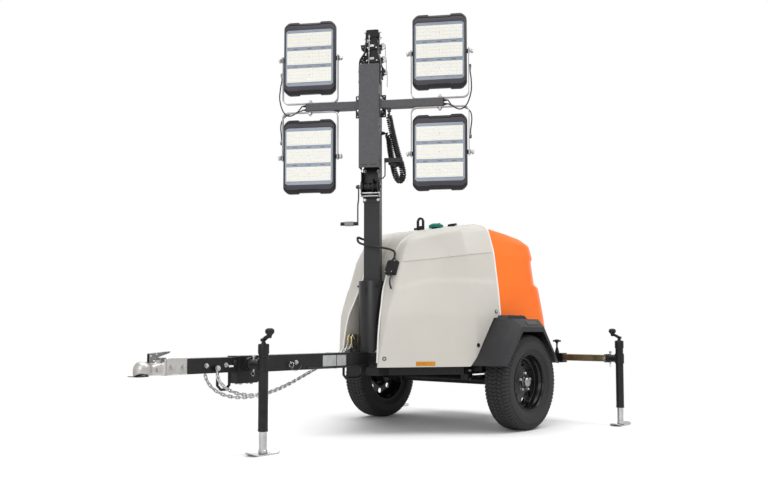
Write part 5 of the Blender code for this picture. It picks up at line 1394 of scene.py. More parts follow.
@dataclass
class ScrewJack:
    """A swivelling screw jack: tube, cap with crank, swivel with its lock pin, zinc leg and foot.

    Args:
        name: Its name in the CAD.
        x: Place across.
        y: Place along, from the axle.
        inboard: 1 or -1, the way that the crank points.
        swivel: Where the swivel begins, from the centre plane.
        level: Height of the swivel.
        body: Body of the tube.
        leg_body: Body of the leg.
        leg_node: The leg's CAD node.
        body_node: The tube's CAD node.
    """

    name: str
    x: float
    y: float
    inboard: int
    swivel: float
    level: float
    body: str
    leg_body: str
    leg_node: str
    body_node: str
    radius: float = 0.0255
    leg: float = 0.0205
    bottom: float = 0.118
    top: float = 0.550

    def place(self) -> np.ndarray:
        """The jack's own frame, at its axis on the floor."""
        return IN_AXLE @ shift(self.x, self.y, 0)

    def build(self) -> None:
        """Make the jack's pieces."""
        shell = turned(rounded([(self.leg + 0.0005, self.bottom + 0.04), (self.leg + 0.0005, self.bottom),
                                (self.radius + 0.001, self.bottom), (self.radius + 0.001, self.bottom + 0.012),
                                (self.radius, self.bottom + 0.014), (self.radius, self.top - 0.020),
                                (self.radius + 0.0015, self.top - 0.018), (self.radius + 0.0015, self.top - 0.002),
                                (0.0, self.top - 0.002)], 0.0015, 2), 48)
        piece(self.name + "_tube", shell.at(self.place()), self.body, BLACK, 35, (self.body_node,))
        self.crank()
        self.pivot()
        self.foot()

    def crank(self) -> None:
        """The cap with its gear housing, the crank arm and the mushroom grip."""
        cap = turned(rounded([(self.radius + 0.0005, self.top - 0.034), (self.radius + 0.0035, self.top - 0.032),
                              (self.radius + 0.0035, self.top + 0.014), (self.radius + 0.0005, self.top + 0.018),
                              (0.013, self.top + 0.019), (0.012, self.top + 0.026), (0.0, self.top + 0.027)],
                             0.002), 40)
        spindle = bar(0.009, 0.030, 20).at(shift(0, 0, self.top + 0.030))
        end = (self.inboard * 0.045, 0, self.top + 0.060)
        root = (0.0, 0.0, self.top + 0.0385)
        arm = carried(smooth_path([(-self.inboard * 0.013, 0, self.top + 0.0375), root,
                                   (self.inboard * 0.020, 0, self.top + 0.050), end], 0.003),
                      rectangle(0.022, 0.0170, 0.005))
        piece(self.name + "_crank", joined(cap, spindle, arm).at(self.place()), self.body, BLACK)
        knob = turned(rounded([(0.0, -0.013), (0.0100, -0.013), (0.0110, 0.000), (0.0160, 0.007), (0.0232, 0.014),
                               (0.0245, 0.023), (0.0225, 0.032), (0.0130, 0.0385), (0.0, 0.0395)], 0.004, 4), 36)
        spot = self.place() @ shift(end[0] + self.inboard * 0.003, 0, end[2])
        piece(self.name + "_grip", knob.at(spot), self.body, BLACK_PLASTIC_AND_SHADE, 40)
        head = bolt(0.006).at(self.place(), shift(0, 0, self.top + 0.045))
        piece(self.name + "_crank_bolt", head, self.body, STEEL)

    def pivot(self) -> None:
        """The swivel collar between the jack and what carries it, with its plunger pin and ring."""
        side = math.copysign(1.0, self.x)
        reach = abs(self.x) - self.swivel
        lie = shift(-side * reach, 0, self.level) @ turn("Y", 90 * side)
        collar = turned(rounded([(0.0, 0.0), (0.0295, 0.0), (0.0295, 0.012), (0.0255, 0.014),
                                 (0.0255, reach - 0.030), (0.029, reach - 0.026), (0.029, reach - 0.004),
                                 (0.0, reach - 0.002)], 0.0015), 40)
        clasp = turned([(self.radius + 0.0003, -0.034), (self.radius + 0.005, -0.032), (self.radius + 0.005, 0.032),
                        (self.radius + 0.0003, 0.034)], 40).at(shift(0, 0, self.level))
        piece(self.name + "_swivel", joined(collar.at(lie), clasp).at(self.place()), self.body, BLACK)
        across = -side * (reach - 0.020)
        pin = joined(bar(0.0055, 0.074, 16).at(shift(across, 0, self.level)),
                     turned(rounded([(0.0, 0.050), (0.009, 0.048), (0.009, 0.037), (0.0055, 0.036)], 0.001), 20)
                     .at(shift(across, 0, self.level)))
        ring = carried(np.column_stack((circle(0.011, 28), np.zeros(28))), circle(0.0014, 8), (0, 0, 1), True)
        ring = ring.at(shift(across, -0.004, self.level - 0.048) @ turn("Y", 80))
        piece(self.name + "_lock_pin", joined(pin, ring).at(self.place()), self.body, ZINC)

    def foot(self) -> None:
        """The zinc leg with its lower sleeve, and the foot plate with turned-up ends."""
        top = 0.424
        leg = turned(rounded([(0.0, top), (self.leg - 0.001, top), (self.leg, top - 0.002), (self.leg, 0.025),
                              (self.leg + 0.003, 0.021), (self.leg + 0.003, 0.008), (0.0, 0.008)], 0.001), 48)
        along = np.linspace(-1, 1, 61)
        rise = 0.014 * np.clip((np.abs(along) - 0.58) / 0.42, 0, 1) ** 1.5
        half = 0.040 * np.sqrt(np.clip(1 - np.clip((np.abs(along) - 0.80) / 0.20, 0, 1) ** 2.4, 0.10, 1))
        across = np.array([-1, -0.97, 0.97, 1, 0.97, -0.97])
        height = np.array([0.003, 0.0, 0.0, 0.003, 0.006, 0.006])
        grid = np.stack((half[:, None] * across[None], np.repeat(along[:, None] * 0.095, 6, 1),
                         rise[:, None] + height[None]), -1)
        made = joined(leg, woven(grid))
        piece(self.name + "_zinc_leg", made.at(self.place()), self.leg_body, ZINC, 30, (self.leg_node,))


@dataclass
class FreeCord:
    """A cable that lies free between two glands.

    Args:
        name: Its CAD node, which it stands for.
        controls: Points of its route; the first and last steps are straight.
        frame: Where the points are measured from.
        body: The body that it rides on.
        diameter: Its thickness.
        stiffness: How stiff it is; not used.
        finish: Its finish.
    """

    name: str
    controls: list
    frame: np.ndarray
    body: str
    diameter: float
    stiffness: str = "medium"
    finish: Finish = SHEATH

    def route(self, spacing: float) -> np.ndarray:
        """Points of its centreline in the row frame, a spacing apart.

        Args:
            spacing: About how far apart the points lie.

        Returns:
            The points, one a row.
        """
        marks = np.asarray(self.controls, float)
        curve = smooth_path(marks[1:-1], spacing)
        path = np.concatenate((evenly(marks[:2], spacing)[:-1], curve, evenly(marks[-2:], spacing)[1:]))
        return path @ self.frame[:3, :3].T + self.frame[:3, 3]

    def build(self, with_pieces: tuple = (), far_end: str = "object") -> bpy.types.Object:
        path = self.route(self.diameter * 0.8)
        made = piece(self.name + "_sheath", carried(path, circle(self.diameter / 2, 14), (0.31, 0.83, 0.46)),
                     self.body, self.finish, 50, (self.name,))
        return made


@dataclass
class Cords:
    """Every free cable: the mast cable with its plug box, the curly cord and the four lamp leads.

    Args:
        bar_level: Height of the lamp bar, from which the curly cord's route is measured.
        box_centre: The plug box's middle, from the axle.
        box_slope: How far the box leans back, in degrees.
    """

    bar_level: float = 2.043
    box_centre: tuple[float, float, float] = (0.148, -0.7334, 1.0269)
    box_slope: float = -21.5

    def build(self) -> None:
        """Make them all."""
        self.leads()
        self.curly()
        self.mast_cable()

    def leads(self) -> None:
        """The four lamp leads, each from its yoke's saddle into the lamp bar's end."""
        upper = [(0.598, 0.000, 0.2047), (0.598, 0.000, 0.185), (0.605, -0.010, 0.127), (0.604, -0.024, 0.052),
                 (0.580, -0.030, -0.023), (0.540, -0.031, -0.055), (0.490, -0.026, -0.032), (0.462, -0.010, 0.010),
                 (0.4453, -0.010, 0.010)]
        lower = [(0.598, 0.000, -0.2047), (0.598, 0.000, -0.185), (0.606, 0.010, -0.103), (0.592, 0.028, -0.050),
                 (0.545, 0.032, -0.022), (0.490, 0.022, -0.016), (0.462, 0.010, -0.008), (0.4453, 0.010, -0.008)]
        for side, sign in SIDES:
            for tier, route in (("upper", upper), ("lower", lower)):
                points = [(sign * x, y, z) for x, y, z in route]
                FreeCord(f"lamp_lead_{tier}_{side}", points, IN_BAR, "lamp_head", 0.008, "limp").build()

    def curly(self) -> None:
        """The coiled cord: a helix wound round its route, straight at both ends.

        A point is route + coil radius * (cosine * side + sine * up) of the turn reached so far. Where the route
        bends, the turns are spread so that they don't meet on its inner side.
        """
        marks = [(0.120, -0.110, -0.0453), (0.120, -0.110, -0.075), (0.128, -0.080, -0.133),
                 (0.146, -0.045, -0.223), (0.170, -0.025, -0.318), (0.190, -0.010, -0.383), (0.190, 0.015, -0.433),
                 (0.165, 0.050, -0.451), (0.138, 0.070, -0.418), (0.118, 0.066, -0.3415), (0.102, 0.050, -0.243),
                 (0.098, 0.036, -0.180), (0.086, 0.030, -0.143), (0.0663, 0.030, -0.143)]
        thickness, coil = 0.0112, 0.0178
        points = [(x, y, z + self.bar_level) for x, y, z in marks]
        line = FreeCord("curly_cord", points, np.eye(4), "lamp_head", thickness).route(0.0015)
        line = softened(line[None], 0.0, 9.0)[0]
        along = unit(np.gradient(line, axis=0))
        walked = np.concatenate(([0.0], np.cumsum(np.linalg.norm(np.diff(line, axis=0), axis=1))))
        bend = np.linalg.norm(np.gradient(along, axis=0), axis=1) / np.gradient(walked)
        pitch = 0.0122 / (1 - coil * np.minimum(bend, 16.0))
        side, above = carried_frame(along)
        ease_in = np.clip(np.minimum(walked - 0.006, walked[-1] - 0.006 - walked) / 0.026, 0, 1)
        ease_in = ease_in ** 2 * (3 - 2 * ease_in)
        turns = np.concatenate(([0.0], np.cumsum(np.diff(walked) / pitch[1:])))
        count = int(turns[-1] * 16)
        reached = np.linspace(0, turns[-1], count)
        at = np.interp(reached, turns, walked)

        def read(values: np.ndarray) -> np.ndarray:
            """Read rows off at the places reached."""
            return np.stack([np.interp(at, walked, values[:, axis]) for axis in range(3)], -1)

        phase = reached[:, None] * 2 * math.pi
        radius = coil * np.interp(at, walked, ease_in)[:, None]
        helix = read(line) + radius * (np.cos(phase) * unit(read(side)) + np.sin(phase) * unit(read(above)))
        helix = helix @ IN_MAST[:3, :3].T + IN_MAST[:3, 3]
        helix = evenly(softened(helix[None], 0.0, 1.2)[0], 0.0066)
        slope = unit(np.gradient(helix, axis=0))
        made = piece("curly_cord_coils", swept_free(helix, slope, thickness / 2, 12), "lamp_head", SHEATH,
                     60, ("curly_cord",))

    def mast_cable(self) -> None:
        """The cable from the canopy's recess, round the mast and into the plug box."""
        end = np.array(self.box_centre)
        up = turn("X", self.box_slope)[:3, 2]
        end = end + up * (0.0475 + 0.0003)
        start = [(-0.0995, -0.590, 1.175), (-0.0790, -0.591, 1.177), (-0.064, -0.620, 1.188),
                 (-0.072, -0.680, 1.206), (-0.088, -0.742, 1.220)]
        round_mast = [(-0.092, -0.028, 1.222), (-0.080, -0.070, 1.190), (-0.045, -0.095, 1.172),
                      (0.010, -0.102, 1.160), (0.0485, -0.100, 1.1535), (0.083, -0.090, 1.148),
                      (0.122, -0.072, 1.140), (0.146, -0.052, 1.124)]
        in_axle = shift(0, MAST_Y, 0) @ turn("Z", MAST_YAW)
        carried_round = [tuple(in_axle[:3, :3] @ np.array(spot) + in_axle[:3, 3]) for spot in round_mast]
        controls = start + carried_round + [tuple(end + up * 0.018), tuple(end)]
        box = self.plug_box()
        cable = FreeCord("mast_cable", controls, IN_AXLE, TRAILER, 0.013)
        cable.build((box,), "connector")
        turns = smooth_path(cable.route(0.004)[20:-8], 0.0012)
        along = unit(np.gradient(turns, axis=0))
        side, above = carried_frame(along)
        phase = (np.arange(len(turns)) * 0.0012 / 0.0075 * 2 * math.pi)[:, None]
        wrap = turns + 0.0069 * (np.cos(phase) * side + np.sin(phase) * above)
        shape = swept_free(wrap, unit(np.gradient(wrap, axis=0)), 0.0012, 6)
        piece("mast_cable_spiral_wrap", shape, TRAILER, BLACK_PLASTIC_AND_SHADE, 60)
        gland = joined(hexagon(0.022, 0.008), turned(rounded([(0.0105, 0.008), (0.0105, 0.014), (0.0085, 0.020),
                                                              (0.0070, 0.021)], 0.002), 28))
        place = IN_AXLE @ shift(-0.0995, -0.590, 1.175) @ ALONG_X
        piece("mast_cable_recess_gland", gland.at(place), TRAILER, BLACK_PLASTIC_AND_SHADE)

    def plug_box(self) -> bpy.types.Object:
        """The plug box on the canopy's face with its lid, screws and glands, and the short tail under it."""
        place = IN_AXLE @ shift(*self.box_centre) @ turn("X", self.box_slope)
        shell = joined(slab(rectangle(0.073, 0.093, 0.006, 5), 0.026, 0.002).at(shift(0, 0.0065, 0) @ ALONG_Y),
                       slab(rectangle(0.070, 0.090, 0.006, 5), 0.0115, 0.0025).at(shift(0, -0.0135, 0) @ ALONG_Y))
        made = piece("plug_box_shell", shell.at(place), TRAILER, BLACK_PLASTIC_AND_SHADE, 35, ("connector_box",))
        screws = bolt(0.0042, False).copies([place @ shift(x, -0.0190, z) @ turn("X", 90)
                                             for x in (-0.027, 0.027) for z in (-0.037, 0.037)])
        piece("plug_box_screws", screws, TRAILER, ZINC)
        cap = turned(rounded([(0.0105, -0.002), (0.0105, 0.009), (0.0085, 0.0150), (0.0070, 0.016)], 0.002), 28)
        nut = hexagon(0.023, 0.007)
        upper = joined(nut, cap.at(shift(0, 0, 0.004))).at(place, shift(0, 0, 0.0465))
        piece("plug_box_gland", upper, TRAILER, BLACK_PLASTIC_AND_SHADE)
        route = [(0.165, -0.744, 0.990), (0.168, -0.763, 0.970), (0.176, -0.783, 0.942), (0.186, -0.792, 0.915),
                 (0.194, -0.789, 0.890)]
        piece("plug_box_tail", wire(route, 0.0058, 0.004, 12).at(IN_AXLE), TRAILER, SHEATH)
        return made


def carried_frame(along: np.ndarray) -> tuple[np.ndarray, np.ndarray]:
    """Two directions square to a path that don't spin round it: each is the last one with its lean taken out.

    Args:
        along: The path's directions, of length one.

    Returns:
        Both directions at each point.
    """
    side = np.empty_like(along)
    start = np.cross(along[0], (0.3, 0.9, 0.2))
    side[0] = start / np.linalg.norm(start)
    for index in range(1, len(along)):
        flat = side[index - 1] - along[index] * np.dot(side[index - 1], along[index])
        side[index] = flat / np.linalg.norm(flat)
    return side, np.cross(along, side)


def swept_free(path: np.ndarray, along: np.ndarray, radius: float, sides: int) -> Surface:
    """A round wire along any path, on directions that don't spin round it.

    Args:
        path: Points of the path.
        along: Its directions, of length one.
        radius: The wire's radius.
        sides: Steps round it.

    Returns:
        The wire.
    """
    side, above = carried_frame(along)
    ring = circle(radius, sides)
    grid = path[:, None] + side[:, None] * ring[None, :, :1] + above[:, None] * ring[None, :, 1:]
    return woven(grid)


class Tier(Enum):
    """Which pair a lamp belongs to, as its height from the lamp bar."""

    UPPER = 0.315
    LOWER = -0.315


@dataclass
class Floodlight:
    """One LED floodlight: casting, bezel, three boards of chips, fins, pivots and its yoke with fittings.

    Args:
        side: Its side's name.
        sign: 1 on the left, -1 on the right.
        tier: The upper or the lower pair.
        width: Width of the casting.
        height: Height of the casting.
        chamfer: Cut of the casting's corners.
        window: Width and height of the window.
        board: Width and height of a board.
        pitch: From one board's middle to the next one's.
        columns: Chips along a board.
        rows: Rows of chips on a board.
        front: The casting's front, along the lamp's Y.
        back: Its back.
    """

    side: str
    sign: int
    tier: Tier
    width: float = 0.336
    height: float = 0.470
    chamfer: float = 0.029
    window: tuple[float, float] = (0.306, 0.360)
    board: tuple[float, float] = (0.2860, 0.0895)
    pitch: float = 0.1134
    columns: int = 14
    rows: int = 4
    front: float = -0.0375
    back: float = 0.0075

    def name(self) -> str:
        """The lamp's name, as its body and CAD nodes have it."""
        return f"lamp_{self.tier.name.lower()}_{self.side}"

    def place(self) -> np.ndarray:
        """The lamp's own frame: X to its side, Z up, and its face towards -Y."""
        return IN_BAR @ shift(self.sign * 0.411, 0, self.tier.value)

    def outline(self) -> np.ndarray:
        """Half the casting's outline from the middle of its bottom edge, with the shallow notches, as (x, z)."""
        x, z = self.width / 2, self.height / 2
        notch = z - 0.007
        half = [(0.0, -notch), (0.066, -notch), (0.071, -z), (x - self.chamfer, -z), (x, -z + self.chamfer),
                (x, 0.0), (x, z - self.chamfer), (x - self.chamfer, z), (0.071, z), (0.066, notch), (0.0, notch)]
        return self.eased(half, 0.014)

    def eased(self, half: list[tuple[float, float]], radius: float) -> np.ndarray:
        """Mirror half an outline and round its corners."""
        return rounded_outline(half + [(-a, b) for a, b in half[-2:0:-1]], radius, 3)

    def opening(self, grow: float = 0.0) -> np.ndarray:
        """The window's outline, with as many points as the casting's.

        Args:
            grow: How much larger it is on each side.

        Returns:
            The points, one a row.
        """
        x, z = self.window[0] / 2 + grow, self.window[1] / 2 + grow
        cut = 0.014
        half = [(0.0, -z), (0.066, -z), (0.071, -z), (x - cut, -z), (x, -z + cut), (x, 0.0), (x, z - cut),
                (x - cut, z), (0.071, z), (0.066, z), (0.0, z)]
        return self.eased(half, 0.005)

    def ring(self, flat: np.ndarray, y: float) -> np.ndarray:
        """Set a flat outline at a depth."""
        return np.column_stack((flat[:, 0], np.full(len(flat), y), flat[:, 1]))

    def build(self) -> None:
        """Make the lamp."""
        self.casting()
        self.fins()
        self.face()
        self.fittings()

    def casting(self) -> None:
        """The casting: its back, side walls, sloped visor with a groove, and the window's rim."""
        outer, window = self.outline(), self.opening(0.002)

        def between(share: float) -> np.ndarray:
            """An outline part of the way from the casting's edge to the window's."""
            return outer + (window - outer) * share

        rings = [self.ring(inset(outer, 0.004), self.back), self.ring(outer, self.back - 0.004),
                 self.ring(outer, self.front + 0.017), self.ring(inset(outer, 0.0035), self.front + 0.0125),
                 self.ring(between(0.34), self.front + 0.0070), self.ring(between(0.37), self.front + 0.0095),
                 self.ring(between(0.43), self.front + 0.0090), self.ring(between(0.46), self.front + 0.0055),
                 self.ring(between(0.78), self.front + 0.0008), self.ring(between(0.97), self.front),
                 self.ring(window, self.front + 0.001), self.ring(self.opening(0.001), self.front + 0.006)]
        deep = self.front + 0.0118
        shape = woven(np.asarray(rings[:8] + [self.ring(between(0.47), deep)]))
        brow = woven(np.asarray(rings[7:] + [self.ring(self.opening(0.001), deep), self.ring(between(0.49), deep)]),
                     True, True)
        piece(self.name() + "_visor", brow.at(self.place()), self.name(), VISOR, 30)
        arms = bar(0.0140, 0.012, 28).copies([shift(x, 0, 0) @ ALONG_X for x in (0.1688, -0.1688)])
        made = piece(self.name() + "_casting", joined(shape, arms).at(self.place()), self.name(), CASTING,
                     30, (self.name() + "_housing",))
        ease(made, 0.0016, 2, 38)

    def fins(self) -> None:
        """The cooling fins on the back with the driver's cover over them."""
        fin = block(0.0022, 0.026, 0.288, 0.0005, 0.0005)
        marks = np.linspace(-0.1150, 0.1150, 24)
        fins = fin.copies([shift(x, self.back + 0.0145, 0) for x in marks])
        base = slab(rectangle(0.234, 0.290, 0.006), 0.006, 0.001).at(shift(0, self.back + 0.0025, 0) @ ALONG_Y)
        cover = slab(rectangle(0.118, 0.150, 0.008), 0.0292, 0.003).at(shift(0, self.back + 0.0152, 0.0) @ ALONG_Y)
        piece(self.name() + "_fins", joined(fins, base, cover).at(self.place()), self.name(), CASTING)
        spots = [self.place() @ shift(x, self.back + 0.0297, z) @ ALONG_Y for x in (-0.049, 0.049)
                 for z in (-0.064, 0.064)]
        piece(self.name() + "_cover_screws", bolt(0.0045, False).copies(spots), self.name(), ZINC)

    def face(self) -> None:
        """The grey bezel with its screws, thin black slabs of painted shade for its slits, and the three boards
        with their chips.
        """
        place = self.place()
        bezel = slab(self.opening(0.0004), 0.0040, 0.0006).at(shift(0, self.front + 0.0050, 0) @ turn("X", 90))
        made = piece(self.name() + "_bezel", bezel.at(place), self.name(), BEZEL, 30)
        made.data.shade_smooth()
        levels = (self.pitch, 0.0, -self.pitch)
        board = slab(rectangle(self.board[0], self.board[1], 0.004), 0.0046, 0.0009)
        spots = [shift(0, self.front - 0.0005, level) @ ALONG_Y for level in levels]
        piece(self.name() + "_boards", board.copies(spots).at(place), self.name(), BOARD, 30,
              (self.name() + "_lens",))
        across = (np.arange(self.columns) - (self.columns - 1) / 2) * 0.0202
        along = (np.arange(self.rows) - (self.rows - 1) / 2) * 0.0213
        spots = [shift(x, self.front - 0.0028, level + z) @ turn("X", 90) for level in levels for z in along
                 for x in across]
        optic = turned(rounded([(0.0092, 0.0), (0.0084, 0.0010), (0.0068, 0.0013), (0.0062, 0.0008)], 0.0006, 1),
                       12)
        piece(self.name() + "_optics", optic.copies(spots).at(place), self.name(), OPTIC)
        chip = slab(rectangle(0.0086, 0.0086, 0.0012, 1), 0.0012, 0.0003)
        piece(self.name() + "_chips", chip.at(shift(0, 0, 0.0006)).copies(spots).at(place), self.name(), CHIP)
        marks = [place @ shift(0, self.front - 0.0030, level) @ turn("X", 90) for level in levels]
        piece(self.name() + "_board_screws", bar(0.0020, 0.0012, 14, 0.0003).copies(marks), self.name(), BLACK_PLASTIC_AND_SHADE)
        gaps = (self.pitch / 2, -self.pitch / 2, self.pitch * 1.5 - 0.004, -self.pitch * 1.5 + 0.004)
        screws = [place @ shift(x, self.front + 0.0030, z) @ turn("X", 90) for z in gaps
                  for x in (-0.132, -0.046, 0.046, 0.132)]
        piece(self.name() + "_bezel_screws", bar(0.0026, 0.0016, 14, 0.0004).copies(screws), self.name(), STEEL)
        # The bezel's slits are thin black slabs on its face: painted shade.
        slits = [place @ shift(x, self.front + 0.0030, z) @ turn("X", 90) for z in gaps[:2]
                 for x in (-0.089, 0.0, 0.089)]
        slit_shade = slab(rectangle(0.030, 0.0026, 0.0012, 3), 0.0012, 0.0003)
        piece(self.name() + "_bezel_slits", slit_shade.copies(slits), self.name(), BLACK_PLASTIC_AND_SHADE)

    def yoke(self, up: int) -> None:
        """The bent strap between the bar and the lamp's pivots: a flat section carried round its U.

        Args:
            up: 1 above the bar, -1 below it.
        """
        reach, low, bend, top = 0.178, 0.0283, 0.035, 0.335
        share = np.linspace(0, math.pi / 2, 9)
        curve = np.column_stack((reach - bend + bend * np.sin(share), low + bend - bend * np.cos(share)))
        half = np.concatenate((curve, [(reach, top * 0.6), (reach, top)]))
        path = np.concatenate((half[::-1] * (-1, 1), half))
        line = np.column_stack((path[:, 0], np.zeros(len(path)), up * path[:, 1]))
        strap = carried(line, rectangle(0.0056, 0.029, 0.001, 2), (0, 1, 0))
        saddle = block(0.013, 0.016, 0.020, 0.001).at(shift(self.sign * 0.1872, 0, up * 0.2150))
        place = IN_BAR @ shift(self.sign * 0.411, 0, 0)
        piece(self.name() + "_yoke_strap", joined(strap, saddle).at(place), "lamp_head", YOKE_GREY,
              35, (f"yoke_{self.tier.name.lower()}_{self.side}",))

    def fittings(self) -> None:
        """Zinc knobs with black washers at the pivots, and bolts where the yoke meets the bar."""
        lobes = 1 + 0.10 * np.cos(np.arange(48) * 2 * math.pi / 48 * 6)
        grip = circle(0.0150, 48) * lobes[:, None]
        stub = turned([(0.0052, 0.020), (0.0052, 0.0245), (0.0044, 0.0252)], 16)
        knob = joined(slab(grip, 0.013, 0.0022).at(shift(0, 0, 0.0155)),
                      bar(0.0085, 0.010, 20).at(shift(0, 0, 0.006)), stub)
        washer = bar(0.0165, 0.0028, 28, 0.0006).at(shift(0, 0, 0.0014))
        place = self.place()
        spots = [place @ shift(x, 0, 0) @ turn("Y", angle) for x, angle in ((0.1842, 90), (-0.1842, -90))]
        piece(self.name() + "_tilt_knobs", knob.copies(spots), "lamp_head", ZINC)
        piece(self.name() + "_tilt_washers", washer.copies(spots), "lamp_head", BLACK_PLASTIC_AND_SHADE)
        up = 1 if self.tier is Tier.UPPER else -1
        self.yoke(up)
        root = IN_BAR @ shift(self.sign * 0.411, 0, 0)
        bolts = bolt(0.0145, True, 0.009).at(root, shift(0, 0, up * 0.0313), turn("X", 0 if up > 0 else 180))
        piece(self.name() + "_yoke_bolts", bolts, "lamp_head", ZINC)
        saddle = joined(block(0.014, 0.016, 0.020, 0.002), bar(0.0058, 0.026, 18)).at(
            root, shift(self.sign * 0.187, 0, up * 0.2180))
        piece(self.name() + "_lead_saddle", saddle, "lamp_head", BLACK_PLASTIC_AND_SHADE)
        lie = turn("Y", 90 * self.sign)
        level = 0.010 if up > 0 else -0.008
        sleeve = turned([(0.0068, 0.004), (0.0066, 0.009), (0.0050, 0.020), (0.0045, 0.021)], 20)
        boot = joined(hexagon(0.016, 0.005), sleeve).at(IN_BAR @ shift(self.sign * 0.4348, -0.010 * up, level)
                                                        @ lie)
        piece(self.name() + "_lead_boot", boot, "lamp_head", BLACK_PLASTIC_AND_SHADE)


@dataclass
class Mast:
    """The post, the innermost section, and what is bolted to the mast: pulleys, ropes, guide blocks and brackets.

    Args:
        sizes: Widths of the four sections, from the outermost.
        heads: Heights of their upper ends.
        foot: Height of their lower ends.
        bodies: The bodies that they belong to.
    """

    sizes: tuple[float, ...] = (0.100, 0.088, 0.076, 0.064)
    heads: tuple[float, ...] = (2.300, 2.385, 2.470, 2.555)
    foot: float = 0.5543
    bodies: tuple[str, ...] = ("mast_base", "mast_two", "mast_three", "lamp_head")

    def build(self) -> None:
        """Make the fittings of every section, then those of the head."""
        for size, head, body, name in zip(self.sizes[:3], self.heads[:3], self.bodies[:3],
                                          ("base", "two", "three")):
            self.section_head(size, head, body, name)
        self.last_section()
        self.post()
        self.head_hardware()
        self.post_fittings()
        self.head_fittings()
        self.level_gauge()

    def section_head(self, size: float, head: float, body: str, name: str) -> None:
        """The white guide blocks, collar bolts, grooved pulley and wire rope at the top of a section.

        Args:
            size: The section's width.
            head: Height of its upper end.
            body: The body that it belongs to.
            name: What the pieces' names end with.
        """
        half = size / 2
        pads = []
        for angle in (0, 90, 180, 270):
            pads.append(IN_MAST @ turn("Z", angle) @ shift(0, -half - 0.0035, head - 0.020))
        pad = block(size * 0.34, 0.0075, 0.016, 0.0012, 0.0016)
        piece(f"mast_guide_pads_{name}", pad.copies(pads), body, WHITE)
        spots = [IN_MAST @ turn("Z", angle) @ shift(x, -half - 0.0070, head - 0.034) @ turn("X", 90)
                 for angle in (0, 90, 180, 270) for x in (-half * 0.72, half * 0.72)]
        piece(f"mast_collar_bolts_{name}", bolt(0.0055, False).copies(spots), body, ZINC)
        wheel = turned(rounded([(0.0, -0.0058), (0.0195, -0.0058), (0.0198, -0.0040), (0.0160, -0.0010),
                                (0.0160, 0.0010), (0.0198, 0.0040), (0.0195, 0.0058), (0.0, 0.0058)], 0.0008, 2),
                       40)
        place = IN_MAST @ shift(half + 0.025, 0, head - 0.012)
        piece(f"mast_pulley_{name}", joined(wheel, bar(0.0055, 0.020, 16)).at(place, ALONG_Y), body, ZINC)
        side = half + 0.025 + 0.0165
        rope = [(side, 0.0, head - 0.11), (side, 0.0, head - 0.012)]
        path = evenly(np.asarray(rope), 0.01)
        arch = np.column_stack((np.cos(np.linspace(0, math.pi, 15)) * 0.0178 + half + 0.025, np.zeros(15),
                                np.sin(np.linspace(0, math.pi, 15)) * 0.0178 + head - 0.012))
        path = np.concatenate((path[:-1], arch))
        piece(f"mast_wire_rope_{name}", carried(path, circle(0.0016, 8), (0, 1, 0)).at(IN_MAST), body, DARK_STEEL)

    def last_section(self) -> None:
        """The innermost section with its collar and cap, and the bent straps that hang the cover from its head."""
        size, head = self.sizes[3], self.heads[3]
        middle = shift(0, 0, (head + self.foot) / 2)
        tube = ring_band(rectangle(size, size, 0.005), 0.0055, head - self.foot).at(middle)
        wide = rectangle(size + 0.014, size + 0.014, 0.004)
        collar = ring_band(wide, 0.0096, 0.045).at(shift(0, 0, head - 0.0225))
        cap = slab(rectangle(0.056, 0.056, 0.006), 0.006, 0.0012).at(shift(0, 0, head + 0.0032))
        straps = []
        for sign in (1, -1):
            flat = [(sign * 0.0663, -0.120, 2.174), (sign * 0.0663, -0.120, 2.300), (sign * 0.060, -0.100, 2.345),
                    (sign * 0.0440, -0.058, 2.400), (sign * 0.0420, -0.022, 2.470), (sign * 0.0420, -0.012, 2.545)]
            straps.append(carried(smooth_path(flat, 0.006), rectangle(0.0056, 0.030, 0.001, 2), (0, 1, 0.2)))
        piece("mast_last_section", joined(tube, collar, cap, *straps).at(IN_MAST), "lamp_head", BLACK,
              35, ("mast_section_four",))

    def head_hardware(self) -> None:
        """The clustered brackets, rollers, rope ends and nuts round the sections' heads."""
        wedge = rounded_outline([(0.0, 0.012), (-0.036, 0.010), (-0.030, -0.022), (-0.012, -0.036), (0.0, -0.036)],
                                0.004, 3)
        bracket = slab(wedge, 0.018, 0.0012).at(ALONG_Y @ stretch(1, -1, 1))
        roller = turned(rounded([(0.0, -0.006), (0.012, -0.006), (0.0095, 0.0), (0.012, 0.006), (0.0, 0.006)],
                                0.0015), 28)
        pin = bar(0.0042, 0.034, 14)
        for index, body in ((1, "mast_two"), (2, "mast_three")):
            half, head = self.sizes[index] / 2 + 0.007, self.heads[index]
            root = IN_MAST @ shift(-half, 0.0, head - 0.010)
            piece(f"head_bracket_left_{index}", bracket.at(root), body, BLACK)
            side = shift(-0.018, 0.0, -0.008) @ ALONG_Y
            piece(f"head_roller_left_{index}", joined(roller, pin).at(root, side), body, STEEL)
            stay = bar(0.0028, 0.120, 12).at(IN_MAST, shift(-0.018, -half - 0.0045, head - 0.010))
            ends = hexagon(0.011, 0.008).copies([IN_MAST @ shift(-0.018, -half - 0.0045, z)
                                                 for z in (head + 0.030, head + 0.006)])
            piece(f"head_rope_end_{index}", joined(stay, ends), body, ZINC)
        half, head = self.sizes[3] / 2 + 0.007, self.heads[3]
        nuts = [IN_MAST @ shift(sign * half, y, head - drop) @ turn("Y", 90 * sign)
                for sign in (1, -1) for y, drop in ((-0.020, 0.010), (0.016, 0.030), (-0.018, 0.052))]
        piece("head_adjusting_nuts", bolt(0.0095, True, 0.010).copies(nuts), "lamp_head", ZINC)
        posts = [IN_MAST @ shift(x, y, head + 0.0012) for x, y in ((-0.020, -0.018), (0.014, 0.016))]
        piece("head_guide_posts", bar(0.0045, 0.012, 16).copies(posts), "lamp_head", BLACK)

